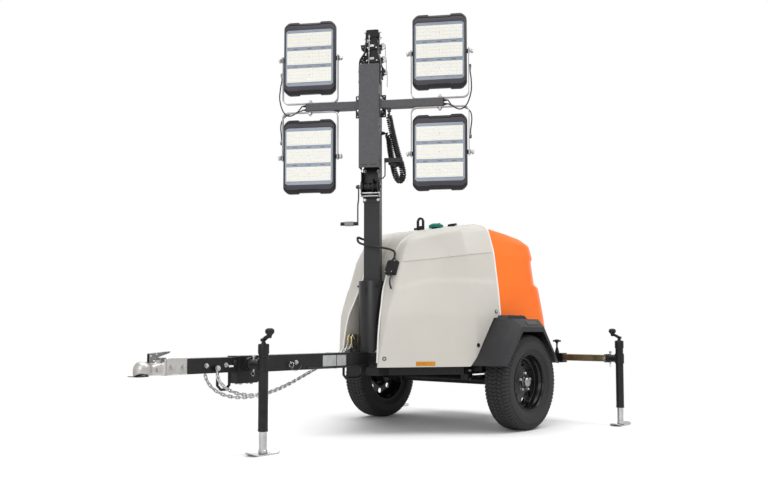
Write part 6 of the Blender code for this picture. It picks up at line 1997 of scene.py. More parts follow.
    def post(self) -> None:
        """The smooth round post on its seat box, with the hook plate and the turning slot."""
        seat = block(0.240, 0.180, 0.0924, 0.003, 0.005).at(shift(0, 0, 0.4566))
        tube = turned(rounded([(0.0900, 0.499), (0.0900, 0.946), (0.0830, 0.946), (0.0830, 0.509), (0.0, 0.509)],
                              0.0012), 128)
        plate = block(0.056, 0.006, 0.104, 0.001).at(shift(-0.092, -0.081, 0.5517))
        piece("mast_post_and_seat", joined(seat, tube, plate).at(IN_AXLE, shift(0, MAST_Y, 0)), TRAILER, POST_PAINT,
              30, ("mast_seat",))
        slot = slab(rectangle(0.013, 0.050, 0.0062, 5), 0.0026, 0.0006)
        place = IN_AXLE @ shift(0, MAST_Y, 0.880) @ turn("Z", 15) @ shift(0, -0.0896, 0) @ turn("X", 90)
        piece("mast_post_slot", joined(slot, bar(0.0036, 0.008, 14).at(shift(0, 0.014, 0.002))).at(place), TRAILER,
              BLACK_PLASTIC_AND_SHADE)

    def post_fittings(self) -> None:
        """The clamp bolts at the post's rim and the seat's plate bolts."""
        heads = [IN_AXLE @ shift(0, MAST_Y, 0.915) @ turn("Z", angle) @ shift(0, -0.0897, 0) @ turn("X", 90)
                 for angle in (-60, 60, 150, 240)]
        piece("mast_post_clamp_bolts", bolt(0.009, True, 0.006).copies(heads), TRAILER, BLACK)
        spots = [IN_AXLE @ shift(x, MAST_Y + y, 0.5031) for x in (-0.096, 0.096) for y in (-0.068, 0.068)]
        piece("mast_seat_bolts", bolt(0.011, True, 0.005).copies(spots), TRAILER, ZINC)

    def head_fittings(self) -> None:
        """Bolts of the head bracket and the lamp bar's plates, thin black slabs of painted shade for the cover's
        slits, its corner bracket, and glands.
        """
        plates = [IN_MAST @ shift(x, y, z) @ turn("Y", 90 if x > 0 else -90)
                  for x in (-0.0690, 0.0690) for y in (-0.132, -0.088) for z in (2.006, 2.080)]
        piece("lamp_bar_plate_bolts", bolt(0.010, True, 0.004).copies(plates), "lamp_head", ZINC)
        straps = [IN_MAST @ shift(x, -0.120, z) @ turn("Y", 90 if x > 0 else -90)
                  for x in (-0.0690, 0.0690) for z in (2.195, 2.262)]
        piece("head_bracket_bolts", bolt(0.008).copies(straps), "lamp_head", ZINC)
        # The cover's slits are thin black slabs on its face: painted shade.
        slit_shade = slab(rectangle(0.040, 0.003, 0.0014, 3), 0.0012, 0.0003)
        spots = [IN_MAST @ shift(x, -0.1652, 1.659) @ turn("X", 90) for x in (-0.030, 0.030)]
        piece("mast_cover_slits", slit_shade.copies(spots), "lamp_head", BLACK_PLASTIC_AND_SHADE)
        screws = [IN_MAST @ shift(x, -0.140, z) @ turn("Y", math.copysign(90, x)) for x in (-0.063, 0.063)
                  for z in (1.690, 1.900)]
        piece("mast_cover_screws", bolt(0.0055).copies(screws), "lamp_head", BLACK)
        corner = slab(np.array([(0.0, 0.0), (0.0, -0.052), (0.031, -0.052)]), 0.004, 0.0008)
        place = IN_MAST @ shift(0.0705, -0.100, 2.304) @ turn("X", 90)
        piece("head_corner_bracket", corner.at(place), "lamp_head", BLACK)
        gland = joined(hexagon(0.022, 0.008), turned(rounded([(0.0105, 0.008), (0.0105, 0.015), (0.0080, 0.021),
                                                              (0.0062, 0.022)], 0.002), 28))
        piece("lamp_bar_gland", gland.at(IN_MAST, shift(0.120, -0.110, 2.0178), turn("X", 180)), "lamp_head",
              BLACK_PLASTIC_AND_SHADE)
        piece("mast_side_gland", gland.at(IN_MAST, shift(0.0505, 0.030, 1.900), ALONG_X), "lamp_head", BLACK_PLASTIC_AND_SHADE)
        clip = joined(block(0.020, 0.012, 0.006, 0.001), bar(0.004, 0.014, 12).at(shift(0, 0, -0.006)))
        piece("lamp_bar_cable_clip", clip.at(IN_MAST, shift(-0.205, -0.110, 2.0155)), "lamp_head", BLACK_PLASTIC_AND_SHADE)
        ends = slab(rectangle(0.0505, 0.0505, 0.003), 0.004, 0.001)
        caps = [IN_BAR @ shift(sign * 0.4338, 0, 0) @ ALONG_X for sign in (1, -1)]
        piece("lamp_bar_end_caps", ends.copies(caps), "lamp_head", BLACK_PLASTIC_AND_SHADE)
        ring = ring_band(rectangle(0.108, 0.068, 0.024, 6), 0.0022, 0.024)
        piece("curly_cord_strap", ring.at(IN_MAST, shift(0.1470, 0.018, 1.7000), turn("Z", 62)), "lamp_head",
              RUBBER)
        flange = slab(rectangle(0.0335, 0.142, 0.005), 0.005, 0.0008)
        spots = [IN_MAST @ shift(sign * 0.0800, -0.0822, 2.043) @ turn("X", 90) for sign in (1, -1)]
        piece("lamp_bar_flange_plates", flange.copies(spots), "lamp_head", BLACK)
        heads = [IN_MAST @ shift(sign * 0.0845, -0.0851, 2.043 + z) @ turn("X", 90) for sign in (1, -1)
                 for z in (-0.060, 0.060)]
        piece("lamp_bar_flange_rivets", bar(0.0034, 0.002, 14, 0.0006).copies(heads), "lamp_head", ZINC)

    def level_gauge(self) -> None:
        """The small green level gauge on the front of the base tube."""
        plate = slab(rectangle(0.030, 0.048, 0.003), 0.003, 0.0006)
        place = IN_MAST @ shift(0.030, -0.0518, 1.900) @ turn("X", 90)
        vial = bar(0.0045, 0.026, 16).at(shift(0, 0.006, 0.003) @ ALONG_X)
        piece("mast_level_plate", plate.at(place), "mast_base", BLACK)
        piece("mast_level_vial", vial.at(place), "mast_base", GREEN)


def ring_band(outline: np.ndarray, thickness: float, height: float) -> Surface:
    """A closed band of sheet that follows an outline, upright along Z.

    Args:
        outline: Its outer outline.
        thickness: Thickness of the sheet.
        height: Height of the band.

    Returns:
        The closed band, centred.
    """
    inner = inset(outline, thickness)
    rings = [(outline, -height / 2), (outline, height / 2), (inner, height / 2), (inner, -height / 2)]
    grid = np.stack([np.column_stack((ring, np.full(len(ring), level))) for ring, level in rings])
    return woven(grid, True, True)


@dataclass
class Winch:
    """The hand winch: wound drum, gear, pawl, tie rods, the stay's clip bolts and the crank.

    Args:
        shaft: Place of its shaft, along and up.
        centre: Height of the frame's middle.
        crank: Where the crank's hub sits across.
        grip: The grip's place across, and its height.
    """

    shaft: tuple[float, float] = (-0.0953, 1.533)
    centre: float = 1.548
    crank: float = -0.078
    grip: tuple[float, float] = (-0.134, 1.302)

    def build(self) -> None:
        """Make the drum, the gear train and the crank."""
        y, z = self.shaft
        axis = IN_MAST @ shift(0, y, z) @ ALONG_X
        lay = np.linspace(-0.040, 0.040, 97)
        wound = 0.0215 + 0.0022 * np.abs(np.sin((lay + 0.040) / 0.080 * 18 * math.pi / 2))
        drum = turned([(0.010, -0.0405)] + list(zip(wound, lay)) + [(0.010, 0.0405)], 40)
        piece("winch_wound_rope", drum.at(axis), "mast_base", DARK_STEEL, 50)
        notches = 0.0500 + 0.0030 * np.sign(np.sin(np.arange(144) * 2 * math.pi / 144 * 24 + 0.1))
        wheel = joined(slab(circle(1.0, 144) * notches[:, None], 0.005, 0.0006).at(shift(0, 0, 0.0200)),
                       bar(0.036, 0.010, 40).at(shift(0, 0, 0.0200)))
        piece("winch_ratchet_wheel", wheel.at(axis), "mast_base", DARK_STEEL)
        rim = turned(rounded([(0.0, -0.0022), (0.033, -0.0022), (0.0335, 0.0), (0.033, 0.0022), (0.0, 0.0022)],
                             0.001), 40)
        shaft = joined(*[rim.at(shift(0, 0, sign * 0.045)) for sign in (1, -1)],
                       bar(0.0098, 0.148, 28).at(shift(0, 0, -0.006)))
        teeth = 0.0305 + 0.0024 * np.sign(np.sin(np.arange(96) * 2 * math.pi / 96 * 24 + 0.1))
        gear = slab(circle(1.0, 96) * teeth[:, None], 0.006, 0.0006).at(shift(0, 0, 0.0605))
        piece("winch_shaft_and_gear", joined(shaft, gear).at(axis), "mast_base", DARK_STEEL, 30,
              ("winch_crank",))
        guard = slab(circle(0.036, 48), 0.003, 0.0008).at(shift(0, 0, -0.0575))
        spider = joined(*[block(0.006, 0.044, 0.004, 0.001).at(turn("Z", angle), shift(0, 0, -0.0150))
                          for angle in (10, 70, 130)],
                        hexagon(0.022, 0.010).at(shift(0, 0, -0.020)))
        piece("winch_spider", spider.at(axis), "mast_base", ZINC)
        pinion = bar(0.011, 0.014, 24).at(shift(0, 0, -0.0655))
        piece("winch_brake_disc", joined(guard, pinion).at(axis), "mast_base", STEEL)
        rods = []
        for up, forward in ((-0.058, -0.022), (-0.074, -0.006)):
            spot = IN_MAST @ shift(0, y + forward, self.centre + up) @ ALONG_X
            rods.append(joined(bar(0.0048, 0.120, 18), hexagon(0.013, 0.006).at(shift(0, 0, 0.0545)),
                               hexagon(0.013, 0.006).at(shift(0, 0, -0.0605))).at(spot))
        piece("winch_tie_rods", joined(*rods), "mast_base", ZINC)
        self.crank_arm()
        bolts = [IN_MAST @ shift(x, -0.0563, bolt_z) @ turn("X", 90) for x in (-0.043, 0.043)
                 for bolt_z in (1.458, 1.640)]
        piece("winch_plate_bolts", bolt(0.009, True, 0.004).copies(bolts), "mast_base", ZINC)
        dot = bar(0.0048, 0.003, 18).at(IN_MAST, shift(0.0620, -0.1120, 1.566), ALONG_X)
        piece("winch_red_stud", dot, "mast_base", RED)
        pawl = slab(np.array([(-0.008, 0.012), (0.010, 0.004), (0.022, -0.020), (0.014, -0.024), (-0.002, -0.006)]),
                    0.005, 0.0008)
        place = IN_MAST @ shift(0.0600, -0.098, 1.574) @ turn("Z", 90) @ turn("X", 90)
        piece("winch_pawl", joined(pawl, bar(0.005, 0.014, 16)).at(place), "mast_base", STEEL)
        bushes = [IN_MAST @ shift(0.1375 + x, -0.0548, 1.706) @ turn("X", 90) for x in (-0.040, 0.045)]
        piece("stay_clip_bolts", bolt(0.007).copies(bushes), "mast_base", BLACK)

    def crank_arm(self) -> None:
        """The flat crank arm with its hub and nut, and the ribbed grip on its end."""
        y, z = self.shaft
        low = self.grip[1]
        path = [(0.0025, 0, 0.012), (0.0025, 0, -0.060), (0.0020, 0, -0.080), (-0.0020, 0, -0.112),
                (-0.0025, 0, -0.130), (-0.0025, 0, low - z - 0.011)]
        arm = carried(smooth_path(path, 0.005), rectangle(0.0062, 0.020, 0.0015, 2), (0, 1, 0))
        place = IN_MAST @ shift(self.crank, y, z)
        nut = hexagon(0.018, 0.008).at(shift(-0.006, 0, 0), turn("Y", -90))
        hub = joined(bar(0.0135, 0.012, 28).at(ALONG_X), nut)
        piece("winch_crank_arm", joined(arm, hub).at(place), "mast_base", DARK_STEEL)
        marks = np.linspace(-0.054, 0.054, 55)
        waist = 0.0120 + 0.0016 * np.clip(np.cos(marks / 0.054 * math.pi), -0.2, 1)
        handle = turned([(0.006, -0.055)] + list(zip(waist, marks)) + [(0.006, 0.055)], 32)
        spot = IN_MAST @ shift(self.grip[0], y, low) @ ALONG_X
        piece("winch_crank_grip", handle.at(spot), "mast_base", BLACK_PLASTIC_AND_SHADE, 60)
        swell = 0.0132 + 0.0020 * np.sqrt(np.clip(1 - (marks / 0.030) ** 2, 0, 1))
        inner = [index for index, mark in enumerate(marks) if abs(mark) < 0.030]
        sleeve = turned([(0.012, marks[inner[0]])] + [(swell[index], marks[index]) for index in inner]
                        + [(0.012, marks[inner[-1]])], 32)
        piece("winch_grip_sleeve", sleeve.at(spot), "mast_base", GRIP_GREY, 60)
        piece("winch_grip_bolt", bolt(0.008, True).at(spot, turn("X", 180), shift(0, 0, 0.0545)), "mast_base", ZINC)


@dataclass
class Drawbar:
    """The drawbar's coupler, chains, hooks, plates, bolts and wiring loop.

    Args:
        centre: Height of the drawbar's middle.
        wire_radius: Radius of the chain's wire.
        link: From one link's middle to the next one's.
    """

    centre: float = 0.459
    wire_radius: float = 0.0036
    link: float = 0.0250

    def build(self) -> None:
        """Make everything on the drawbar."""
        self.coupler()
        for side, start_x, hook_x, low in (("left", 0.053, -0.080, 0.320), ("right", -0.053, -0.110, 0.300)):
            self.chain(side, start_x, hook_x, low)
        self.plates()
        self.hardware()

    def sag(self, start: np.ndarray, end: np.ndarray, low: float) -> np.ndarray:
        """The chain's line: straight between its ends, less 4 * drop * t(1-t) with t = share ** 0.62.

        Args:
            start: Its first point, at the drawbar's bolt.
            end: Its last point, at the hook's eye.
            low: The height that it sags to.

        Returns:
            Points along the line.
        """
        upper, lower = start - (0, 0, 0.014), end - (0, 0, 0.014)
        share = np.linspace(0, 1, 240)[:, None]
        path = upper + (lower - upper) * share
        across = np.clip((share[:, 0] - 0.15) / 0.6, 0, 1)
        path[:, 0] = upper[0] + (lower[0] - upper[0]) * across ** 2 * (3 - 2 * across)
        swept = share[:, 0] ** 0.62
        path[:, 2] -= 4 * ((upper[2] + lower[2]) / 2 - low) * swept * (1 - swept)
        return np.concatenate((start[None], path, end[None]))

    def chain(self, side: str, start_x: float, hook_x: float, low: float) -> None:
        """A chain of welded links, every other one turned a quarter, with a gold hook over the hook plate.

        Args:
            side: Its side's name.
            start_x: Place of its first end across.
            hook_x: Place of its hook across.
            low: The height that it sags to.
        """
        path = self.sag(np.array((start_x, -1.966, 0.4317)), np.array((hook_x, -0.855, 0.548)), low)
        marks = evenly(path, self.link)
        middle, along = (marks[1:] + marks[:-1]) / 2, unit(marks[1:] - marks[:-1])
        sideways = unit(np.cross(along, (0.12, 0.03, 0.99)))
        spots = np.tile(np.eye(4), (len(middle), 1, 1))
        even = (np.arange(len(middle)) % 2 == 0)[:, None]
        above = np.cross(sideways, along)
        first = np.where(even, sideways + above * 0.35, above - sideways * 0.35)
        spots[:, :3, 0], spots[:, :3, 1] = along, unit(first)
        spots[:, :3, 2] = np.cross(along, unit(first))
        spots[:, :3, 3] = middle
        long, wide = self.link / 2 + self.wire_radius * 0.92, 0.0066
        angles = np.linspace(0, 2 * math.pi, 25)[:-1]
        straight = np.sign(np.cos(angles)) * (long - wide) * (np.abs(np.cos(angles)) > 0.02)
        race = np.column_stack((np.cos(angles) * wide + straight, np.sin(angles) * wide, np.zeros(24)))
        one = carried(race, circle(self.wire_radius, 10), (0, 0, 1), True)
        links = one.copies([IN_AXLE @ spot for spot in spots])
        piece("safety_chain_links_" + side, links, TRAILER, ZINC, 60, ("safety_chain_" + side,))
        over, rod, middle_y = 0.6037 + 0.0048, 0.0047, -0.826
        half = middle_y + 0.855
        route = [(hook_x, -0.855, 0.540), (hook_x, -0.855, over - 0.018),
                 (hook_x, -0.855 + half * 0.3, over - 0.004), (hook_x, middle_y - 0.012, over),
                 (hook_x, middle_y + 0.012, over), (hook_x, middle_y + half * 0.7, over - 0.004),
                 (hook_x, middle_y + half, over - 0.018), (hook_x, middle_y + half, over - 0.036)]
        shank = swell_rod(smooth_path(route, 0.003), rod)
        ring = np.column_stack((np.zeros(24), circle(0.0085, 24)))
        eye = carried(ring, circle(0.0036, 10), (1, 0, 0), True).at(shift(hook_x, -0.855, 0.5335))
        keeper = block(0.007, 0.0022, 0.040, 0.0006).at(shift(hook_x, middle_y - 0.006, over - 0.020)
                                                        @ turn("X", 28))
        piece("safety_hook_" + side, joined(shank, eye, keeper).at(IN_AXLE), TRAILER, GOLD, 50)

    def coupler(self) -> None:
        """The stamped coupler: ball socket, waisted neck and channel, with its lever, bolts and underlay.

        Each station of the nose is its place along, half width, height and power. Its ring is a superellipse,
        |x / wide| ** power + |z / tall| ** power = 1, drawn flat below.
        """
        low = 0.4203
        stations = [(-2.4005, 0.006, 0.036, 2.0), (-2.3975, 0.0165, 0.046, 2.0), (-2.3900, 0.0285, 0.0575, 2.0),
                    (-2.3790, 0.0370, 0.0655, 2.0), (-2.3590, 0.0418, 0.0700, 2.1), (-2.3400, 0.0385, 0.0665, 2.3),
                    (-2.3240, 0.0325, 0.0590, 2.6), (-2.3080, 0.0295, 0.0570, 3.2), (-2.2900, 0.0300, 0.0580, 4.0),
                    (-2.2740, 0.0330, 0.0605, 5.0), (-2.2640, 0.0385, 0.0680, 6.0), (-2.2580, 0.0435, 0.0815, 8.0),
                    (-2.2400, 0.0440, 0.0832, 9.0)]
        weights = np.array((1.0, 1.0, 1.0, 0.001))  # keeps the power from crowding the rows
        table = smooth_path(np.array(stations) * weights, 0.0020) / weights
        angles = np.arange(48) * 2 * math.pi / 48
        rings = []
        for y, wide, tall, power in table:
            across = np.sign(np.cos(angles)) * np.abs(np.cos(angles)) ** (2 / power)
            above = np.sign(np.sin(angles)) * np.abs(np.sin(angles)) ** (2 / power)
            lift = np.where(above < 0, np.sign(above) * np.abs(above) ** 0.5, above)
            rings.append(np.column_stack((wide * across, np.full(48, y), low + tall / 2 * (1 + lift))))
        nose = in_scene("coupler_nose", to_mesh("nose", woven(np.asarray(rings)).at(IN_AXLE)))
        ball = turned([(0.0, -0.027)] + [(0.027 * math.cos(t), 0.027 * math.sin(t))
                                         for t in np.linspace(-1.4, 1.4, 15)]
                      + [(0.0, 0.027)], 32)
        carved(nose, ball.at(IN_AXLE, shift(0, -2.359, low + 0.016)),
               bar(0.0265, 0.030, 32).at(IN_AXLE, shift(0, -2.359, low)))
        settle(nose, TRAILER, SATIN, 32, ("ball_coupler",))
        wall, deep = 0.0445, 0.0836
        fold = rounded_outline([(wall, 0.004), (wall, deep), (-wall, deep), (-wall, 0.004), (-wall - 0.006, 0.003),
                                (-wall - 0.006, 0.0), (-wall + 0.0045, 0.0), (-wall + 0.0045, deep - 0.0045),
                                (wall - 0.0045, deep - 0.0045), (wall - 0.0045, 0.0), (wall + 0.006, 0.0),
                                (wall + 0.006, 0.003)], 0.003, 3)
        channel = slab(fold, 0.108, 0.0008).at(IN_AXLE, shift(0, -2.192, low), turn("X", 90))
        piece("coupler_channel", channel, TRAILER, SATIN)
        weld = ring_band(rectangle(0.0930, 0.0868, 0.010), 0.004, 0.010).at(IN_AXLE, shift(0, -2.250, low + 0.0415),
                                                                            ALONG_Y)
        piece("coupler_weld", weld, TRAILER, SATIN)
        bolts = [IN_AXLE @ shift(sign * 0.0447, y, self.centre) @ turn("Y", 90 * sign) for sign in (1, -1)
                 for y in (-2.222, -2.158)]
        piece("coupler_side_bolts", bolt(0.012, True, 0.006).copies(bolts), TRAILER, ZINC)
        cup = [IN_AXLE @ shift(sign * 0.0312, -2.290, low + 0.026) @ turn("Y", 90 * sign) for sign in (1, -1)]
        piece("coupler_neck_bolts", bolt(0.009).copies(cup), TRAILER, ZINC)
        sole = rounded_outline([(-0.050, -2.412), (0.050, -2.412), (0.034, -2.330), (-0.034, -2.330)], 0.030, 6)
        under = slab(sole, 0.003, 0.0006)
        piece("coupler_underlay", under.at(IN_AXLE, shift(0, 0, low - 0.0018)), TRAILER, BLACK)
        self.lever(low + 0.0593)

    def lever(self, level: float) -> None:
        """The locking lever: two cheeks under a folded handle, the latch hook between them, rivets and a nut.

        Args:
            level: Height of its lower edge.
        """
        cheek = rounded_outline([(0.0, 0.0), (0.030, 0.0), (0.042, 0.026), (0.112, 0.0475), (0.115, 0.0555),
                                 (0.060, 0.0515), (0.0, 0.0465)], 0.003, 3)
        hook = rounded_outline([(0.020, 0.002), (0.034, 0.0175), (0.058, 0.0145), (0.0645, 0.0215), (0.042, 0.0285),
                                (0.018, 0.024)], 0.003, 3)
        web = slab(rectangle(0.0215, 0.116, 0.002), 0.003, 0.0006).at(shift(0, 0.0575, 0.0500), turn("X", 4.5))
        place = IN_AXLE @ shift(0, -2.327, level)
        parts = [slab(cheek, 0.003, 0.0006).at(shift(sign * 0.0093, 0, 0), ON_SIDE) for sign in (1, -1)]
        parts.append(slab(hook, 0.009, 0.001).at(ON_SIDE))
        piece("coupler_lever_body", joined(*parts, web).at(place), TRAILER, STEEL, 32, ("coupler_lever",))
        dome = turned(rounded([(0.0, 0.0030), (0.0034, 0.0026), (0.0052, 0.0)], 0.001), 18)
        rivets = [place @ shift(sign * 0.0108, y, z) @ turn("Y", 90 * sign)
                  for sign in (1, -1) for y, z in ((0.009, 0.034), (0.026, 0.010), (0.040, 0.042))]
        piece("coupler_lever_rivets", dome.copies(rivets), TRAILER, ZINC)

    def plates(self) -> None:
        """The blank rating plate and the blank white strip on the drawbar's sides, with their rivets."""
        rating = slab(rectangle(0.190, 0.064, 0.004), 0.0014, 0.0004)
        face = 0.0889 / 2 + 0.0007
        piece("drawbar_blank_plate", rating.at(IN_AXLE, shift(face, -1.125, 0.460), ALONG_X, turn("Z", 90)),
              TRAILER, BLANK)
        rivets = [IN_AXLE @ shift(face + 0.0006, -1.125 + y, 0.460 + z) @ ALONG_X for y in (-0.090, 0.090)
                  for z in (-0.027, 0.027)]
        piece("drawbar_plate_rivets", bar(0.0022, 0.0014, 12, 0.0004).copies(rivets), TRAILER, STEEL)
        strip = slab(rectangle(0.010, 0.030, 0.002), 0.0012, 0.0003)
        piece("drawbar_white_strip", strip.at(IN_AXLE, shift(0.0779 / 2 + 0.0006, -1.868, 0.452), ALONG_X), TRAILER,
              PALE_TRIM_AND_HIGHLIGHT)

    def hardware(self) -> None:
        """Bolts, the round fitting, the lock pin with its lanyard, and the wiring with its ties."""
        sides = []
        for y, z, x in ((-1.900, 0.459, 0.0390), (-2.020, 0.459, 0.0390), (-1.425, 0.459, 0.0445)):
            sides += [IN_AXLE @ shift(sign * x, y, z) @ turn("Y", 90 * sign) for sign in (1, -1)]
        piece("drawbar_side_bolts", bolt(0.011, True, 0.006).copies(sides), TRAILER, ZINC)
        ends = [IN_AXLE @ shift(sign * 0.0605, -1.966, 0.4445) @ turn("Y", 90 * sign) for sign in (1, -1)]
        piece("chain_bolt_nuts", bolt(0.013, True, 0.004).copies(ends), TRAILER, ZINC)
        round_plug = turned(rounded([(0.0, 0.010), (0.010, 0.009), (0.013, 0.004), (0.013, 0.0)], 0.003), 28)
        piece("drawbar_round_plug", round_plug.at(IN_AXLE, shift(0.0392, -1.845, 0.470), ALONG_X), TRAILER, BLACK_PLASTIC_AND_SHADE)
        loop = carried(np.column_stack((circle(0.016, 32), np.zeros(32))), circle(0.0018, 8), (0, 0, 1), True)
        pin = joined(bar(0.006, 0.026, 16), loop.at(shift(0.012, 0, 0.016) @ turn("X", 82)))
        piece("drawbar_lock_pin", pin.at(IN_AXLE, shift(0.0520, -1.480, 0.459), ALONG_X), TRAILER, ZINC)
        rope = [(0.0640, -1.480, 0.444), (0.060, -1.470, 0.425), (0.052, -1.440, 0.412), (0.0475, -1.405, 0.420),
                (0.0465, -1.385, 0.440)]
        piece("lock_pin_lanyard", wire(rope, 0.0011, 0.004, 8, (1, 0, 0)).at(IN_AXLE), TRAILER, STEEL)
        under = [IN_AXLE @ shift(x, y, 0.3585) @ turn("X", 180) for x in (-0.018, 0.018) for y in (-1.790, -1.720)]
        piece("jack_bracket_bolts", bolt(0.009).copies(under), TRAILER, ZINC)
        loop = [(0.0450, -1.340, 0.425), (0.0480, -1.200, 0.419), (0.0480, -1.050, 0.420), (0.0480, -0.930, 0.424),
                (0.047, -0.850, 0.428)]
        piece("drawbar_wiring", wire(loop, 0.0045, 0.01, 10).at(IN_AXLE), TRAILER, SHEATH)
        tie = ring_band(rectangle(0.0930, 0.0930, 0.004), 0.0012, 0.0045)
        spots = [IN_AXLE @ shift(0, y, self.centre) @ ALONG_Y for y in (-1.110, -0.960)]
        piece("drawbar_cable_ties", tie.copies(spots), TRAILER, BLACK_PLASTIC_AND_SHADE)


def swell_rod(path: np.ndarray, radius: float) -> Surface:
    """A round rod that narrows towards its end, in the plane square to X."""
    swell = np.interp(np.linspace(0, 1, len(path)), (0, 0.75, 1), (1.0, 1.0, 0.55))
    return carried(path, circle(radius, 14), (1, 0, 0), False, swell)


@dataclass
class Undercarriage:
    """Chassis bolts, U-bolts, spring clamps, the front plate's bolts and the lamps at the rear."""

    def build(self) -> None:
        """Make what is seen under the bodywork."""
        seat = [IN_AXLE @ shift(x, MAST_Y - 0.0902, z) @ turn("X", 90) for x in (-0.092, 0.092)
                for z in (0.432, 0.480)]
        piece("front_plate_bolts", bolt(0.012, True, 0.008).copies(seat), TRAILER, BLACK)
        for side, sign in SIDES:
            self.spring_clamp(side, sign)
        rails = [IN_AXLE @ shift(sign * 0.4252, y, 0.385) @ turn("Y", 90 * sign)
                 for sign in (1, -1) for y in (-0.300, -0.240, 0.240, 0.300, 0.560)]
        piece("chassis_side_bolts", bolt(0.011, True, 0.004).copies(rails), TRAILER, ZINC)
        self.rear_lamps()

    def spring_clamp(self, side: str, sign: int) -> None:
        """Two U-bolts over the axle with a clamp plate and nuts, and the spring's eye bolts.

        Args:
            side: Its side's name.
            sign: 1 on the left, -1 on the right.
        """
        loops = []
        for y in (-0.040, 0.040):
            loops.append(bent([(-0.0285, y, 0.375), (-0.0285, y, 0.2670), (0.0285, y, 0.2670), (0.0285, y, 0.375)],
                              0.0048, 0.016, 12, (0, 1, 0)))
        nuts = joined(*[joined(hexagon(0.016, 0.008), bar(0.0048, 0.008, 12).at(shift(0, 0, 0.011)))
                        .at(shift(x, y, 0.3530)) for x in (-0.0285, 0.0285) for y in (-0.040, 0.040)])
        plate = slab(rectangle(0.078, 0.110, 0.006), 0.006, 0.001).at(shift(0, 0, 0.3498))
        piece("spring_u_bolts_" + side, joined(*loops, nuts, plate).at(IN_AXLE, shift(sign * 0.4, 0, 0)), TRAILER,
              BLACK)
        eyes = [IN_AXLE @ shift(sign * (0.4 + x), y, 0.331) @ turn("Y", angle)
                for y in (-0.300, 0.300) for x, angle in ((0.026, 90 * sign), (-0.026, -90 * sign))]
        piece("spring_eye_bolts_" + side, bolt(0.011).copies(eyes), TRAILER, STEEL)

    def rear_lamps(self) -> None:
        """A red lamp with its rim at each end of the rear outrigger housing."""
        for side, sign in SIDES:
            lens = turned(rounded([(0.0, 0.011), (0.020, 0.010), (0.027, 0.006), (0.028, 0.0)], 0.003), 36)
            place = IN_AXLE @ shift(sign * 0.360, 0.6762, 0.4433) @ ALONG_Y
            piece("rear_lamp_" + side, lens.at(place), TRAILER, RED)
            rim = turned(rounded([(0.0275, 0.0), (0.0275, 0.004), (0.0315, 0.004), (0.0325, 0.0)], 0.001), 36)
            piece("rear_lamp_rim_" + side, rim.at(place), TRAILER, BLACK_PLASTIC_AND_SHADE)


@dataclass
class Outrigger:
    """The pull-out beam's lock pin and end collar on one side.

    Args:
        side: Its side's name.
        sign: 1 on the left, -1 on the right.
    """

    side: str
    sign: int

    def build(self) -> None:
        """Make the lock pin with its knob and cone, the collar's bolts, and thin black discs of painted shade for
        the beam's holes.
        """
        place = IN_AXLE @ shift(self.sign * 0.512, 0.643, 0.4764)
        cone = turned(rounded([(0.0155, 0.0), (0.0150, 0.010), (0.0100, 0.026), (0.0095, 0.036), (0.0065, 0.037)],
                              0.002), 32)
        rod = bar(0.0052, 0.060, 16).at(shift(0, 0, 0.048))
        knob = turned(rounded([(0.0, 0.066), (0.0075, 0.066), (0.0095, 0.074), (0.0175, 0.080), (0.0195, 0.087),
                               (0.0165, 0.094), (0.006, 0.0965), (0.0, 0.097)], 0.003), 32)
        piece("outrigger_pin_cone_" + self.side, cone.at(place), TRAILER, BLACK)
        piece("outrigger_pin_" + self.side, rod.at(place), TRAILER, ZINC)
        piece("outrigger_pin_knob_" + self.side, knob.at(place), TRAILER, BLACK_PLASTIC_AND_SHADE)
        body = "outrigger_" + self.side
        spots = [IN_AXLE @ shift(self.sign * 0.885, 0.643 + y, 0.447) @ turn("X", angle)
                 for y, angle in ((-0.0286, 90), (0.0286, -90))]
        piece("outrigger_collar_bolts_" + self.side, bolt(0.009).copies(spots), body, ZINC)
        # The beam's holes are thin black discs on its face: painted shade where the holes' dark insides would be.
        holes = [IN_AXLE @ shift(self.sign * x, 0.643, 0.4696) for x in (0.640, 0.740, 0.840)]
        piece("outrigger_beam_holes_" + self.side, bar(0.0068, 0.0006, 18, 0.0001).copies(holes), body, BLACK_PLASTIC_AND_SHADE)


# Kept frame pieces

KEPT = {
    "axle_beam": (BLACK, 0.0), "chassis_rails": (BLACK, 0.0015), "drawbar_rear_tube": (BLACK, 0.0015),
    "drawbar_front_tube": (BLACK, 0.0015), "engine_generator": (ENGINE, 0.006), "floor_pan": (BLACK, 0.0),
    "lamp_bar": (COVER, 0.0012), "leaf_spring_left": (BLACK, 0.0008), "leaf_spring_right": (BLACK, 0.0008),
    "lifting_eye": (BLACK, 0.0012), "mast_cover": (COVER, 0.0012), "mast_tube": (MAST_PAINT, 0.0018),
    "mast_section_two": (BLACK, 0.0015), "mast_section_three": (BLACK, 0.0015),
    "outrigger_beam_left": (YELLOW_ZINC, 0.0015), "outrigger_beam_right": (YELLOW_ZINC, 0.0015),
    "outrigger_housing": (BLACK, 0.0015), "winch_frame": (BLACK, 0.0008), "hood_hinge": (BLACK, 0.0006)}


def dress_kept() -> None:
    """Give the frame's own pieces that stay in view their finishes and eased edges."""
    for name, (finish, width) in KEPT.items():
        node = frame["nodes"].get(name)
        if node is None:
            LOG.warning("no node named %s", name)
            continue
        for place in range(len(node.material_slots)):
            node.material_slots[place].material = finish.material()
        if width:
            weld = node.modifiers.new("weld", "WELD")
            weld.merge_threshold = 0.00002
            ease(node, width, 2, 40.0)


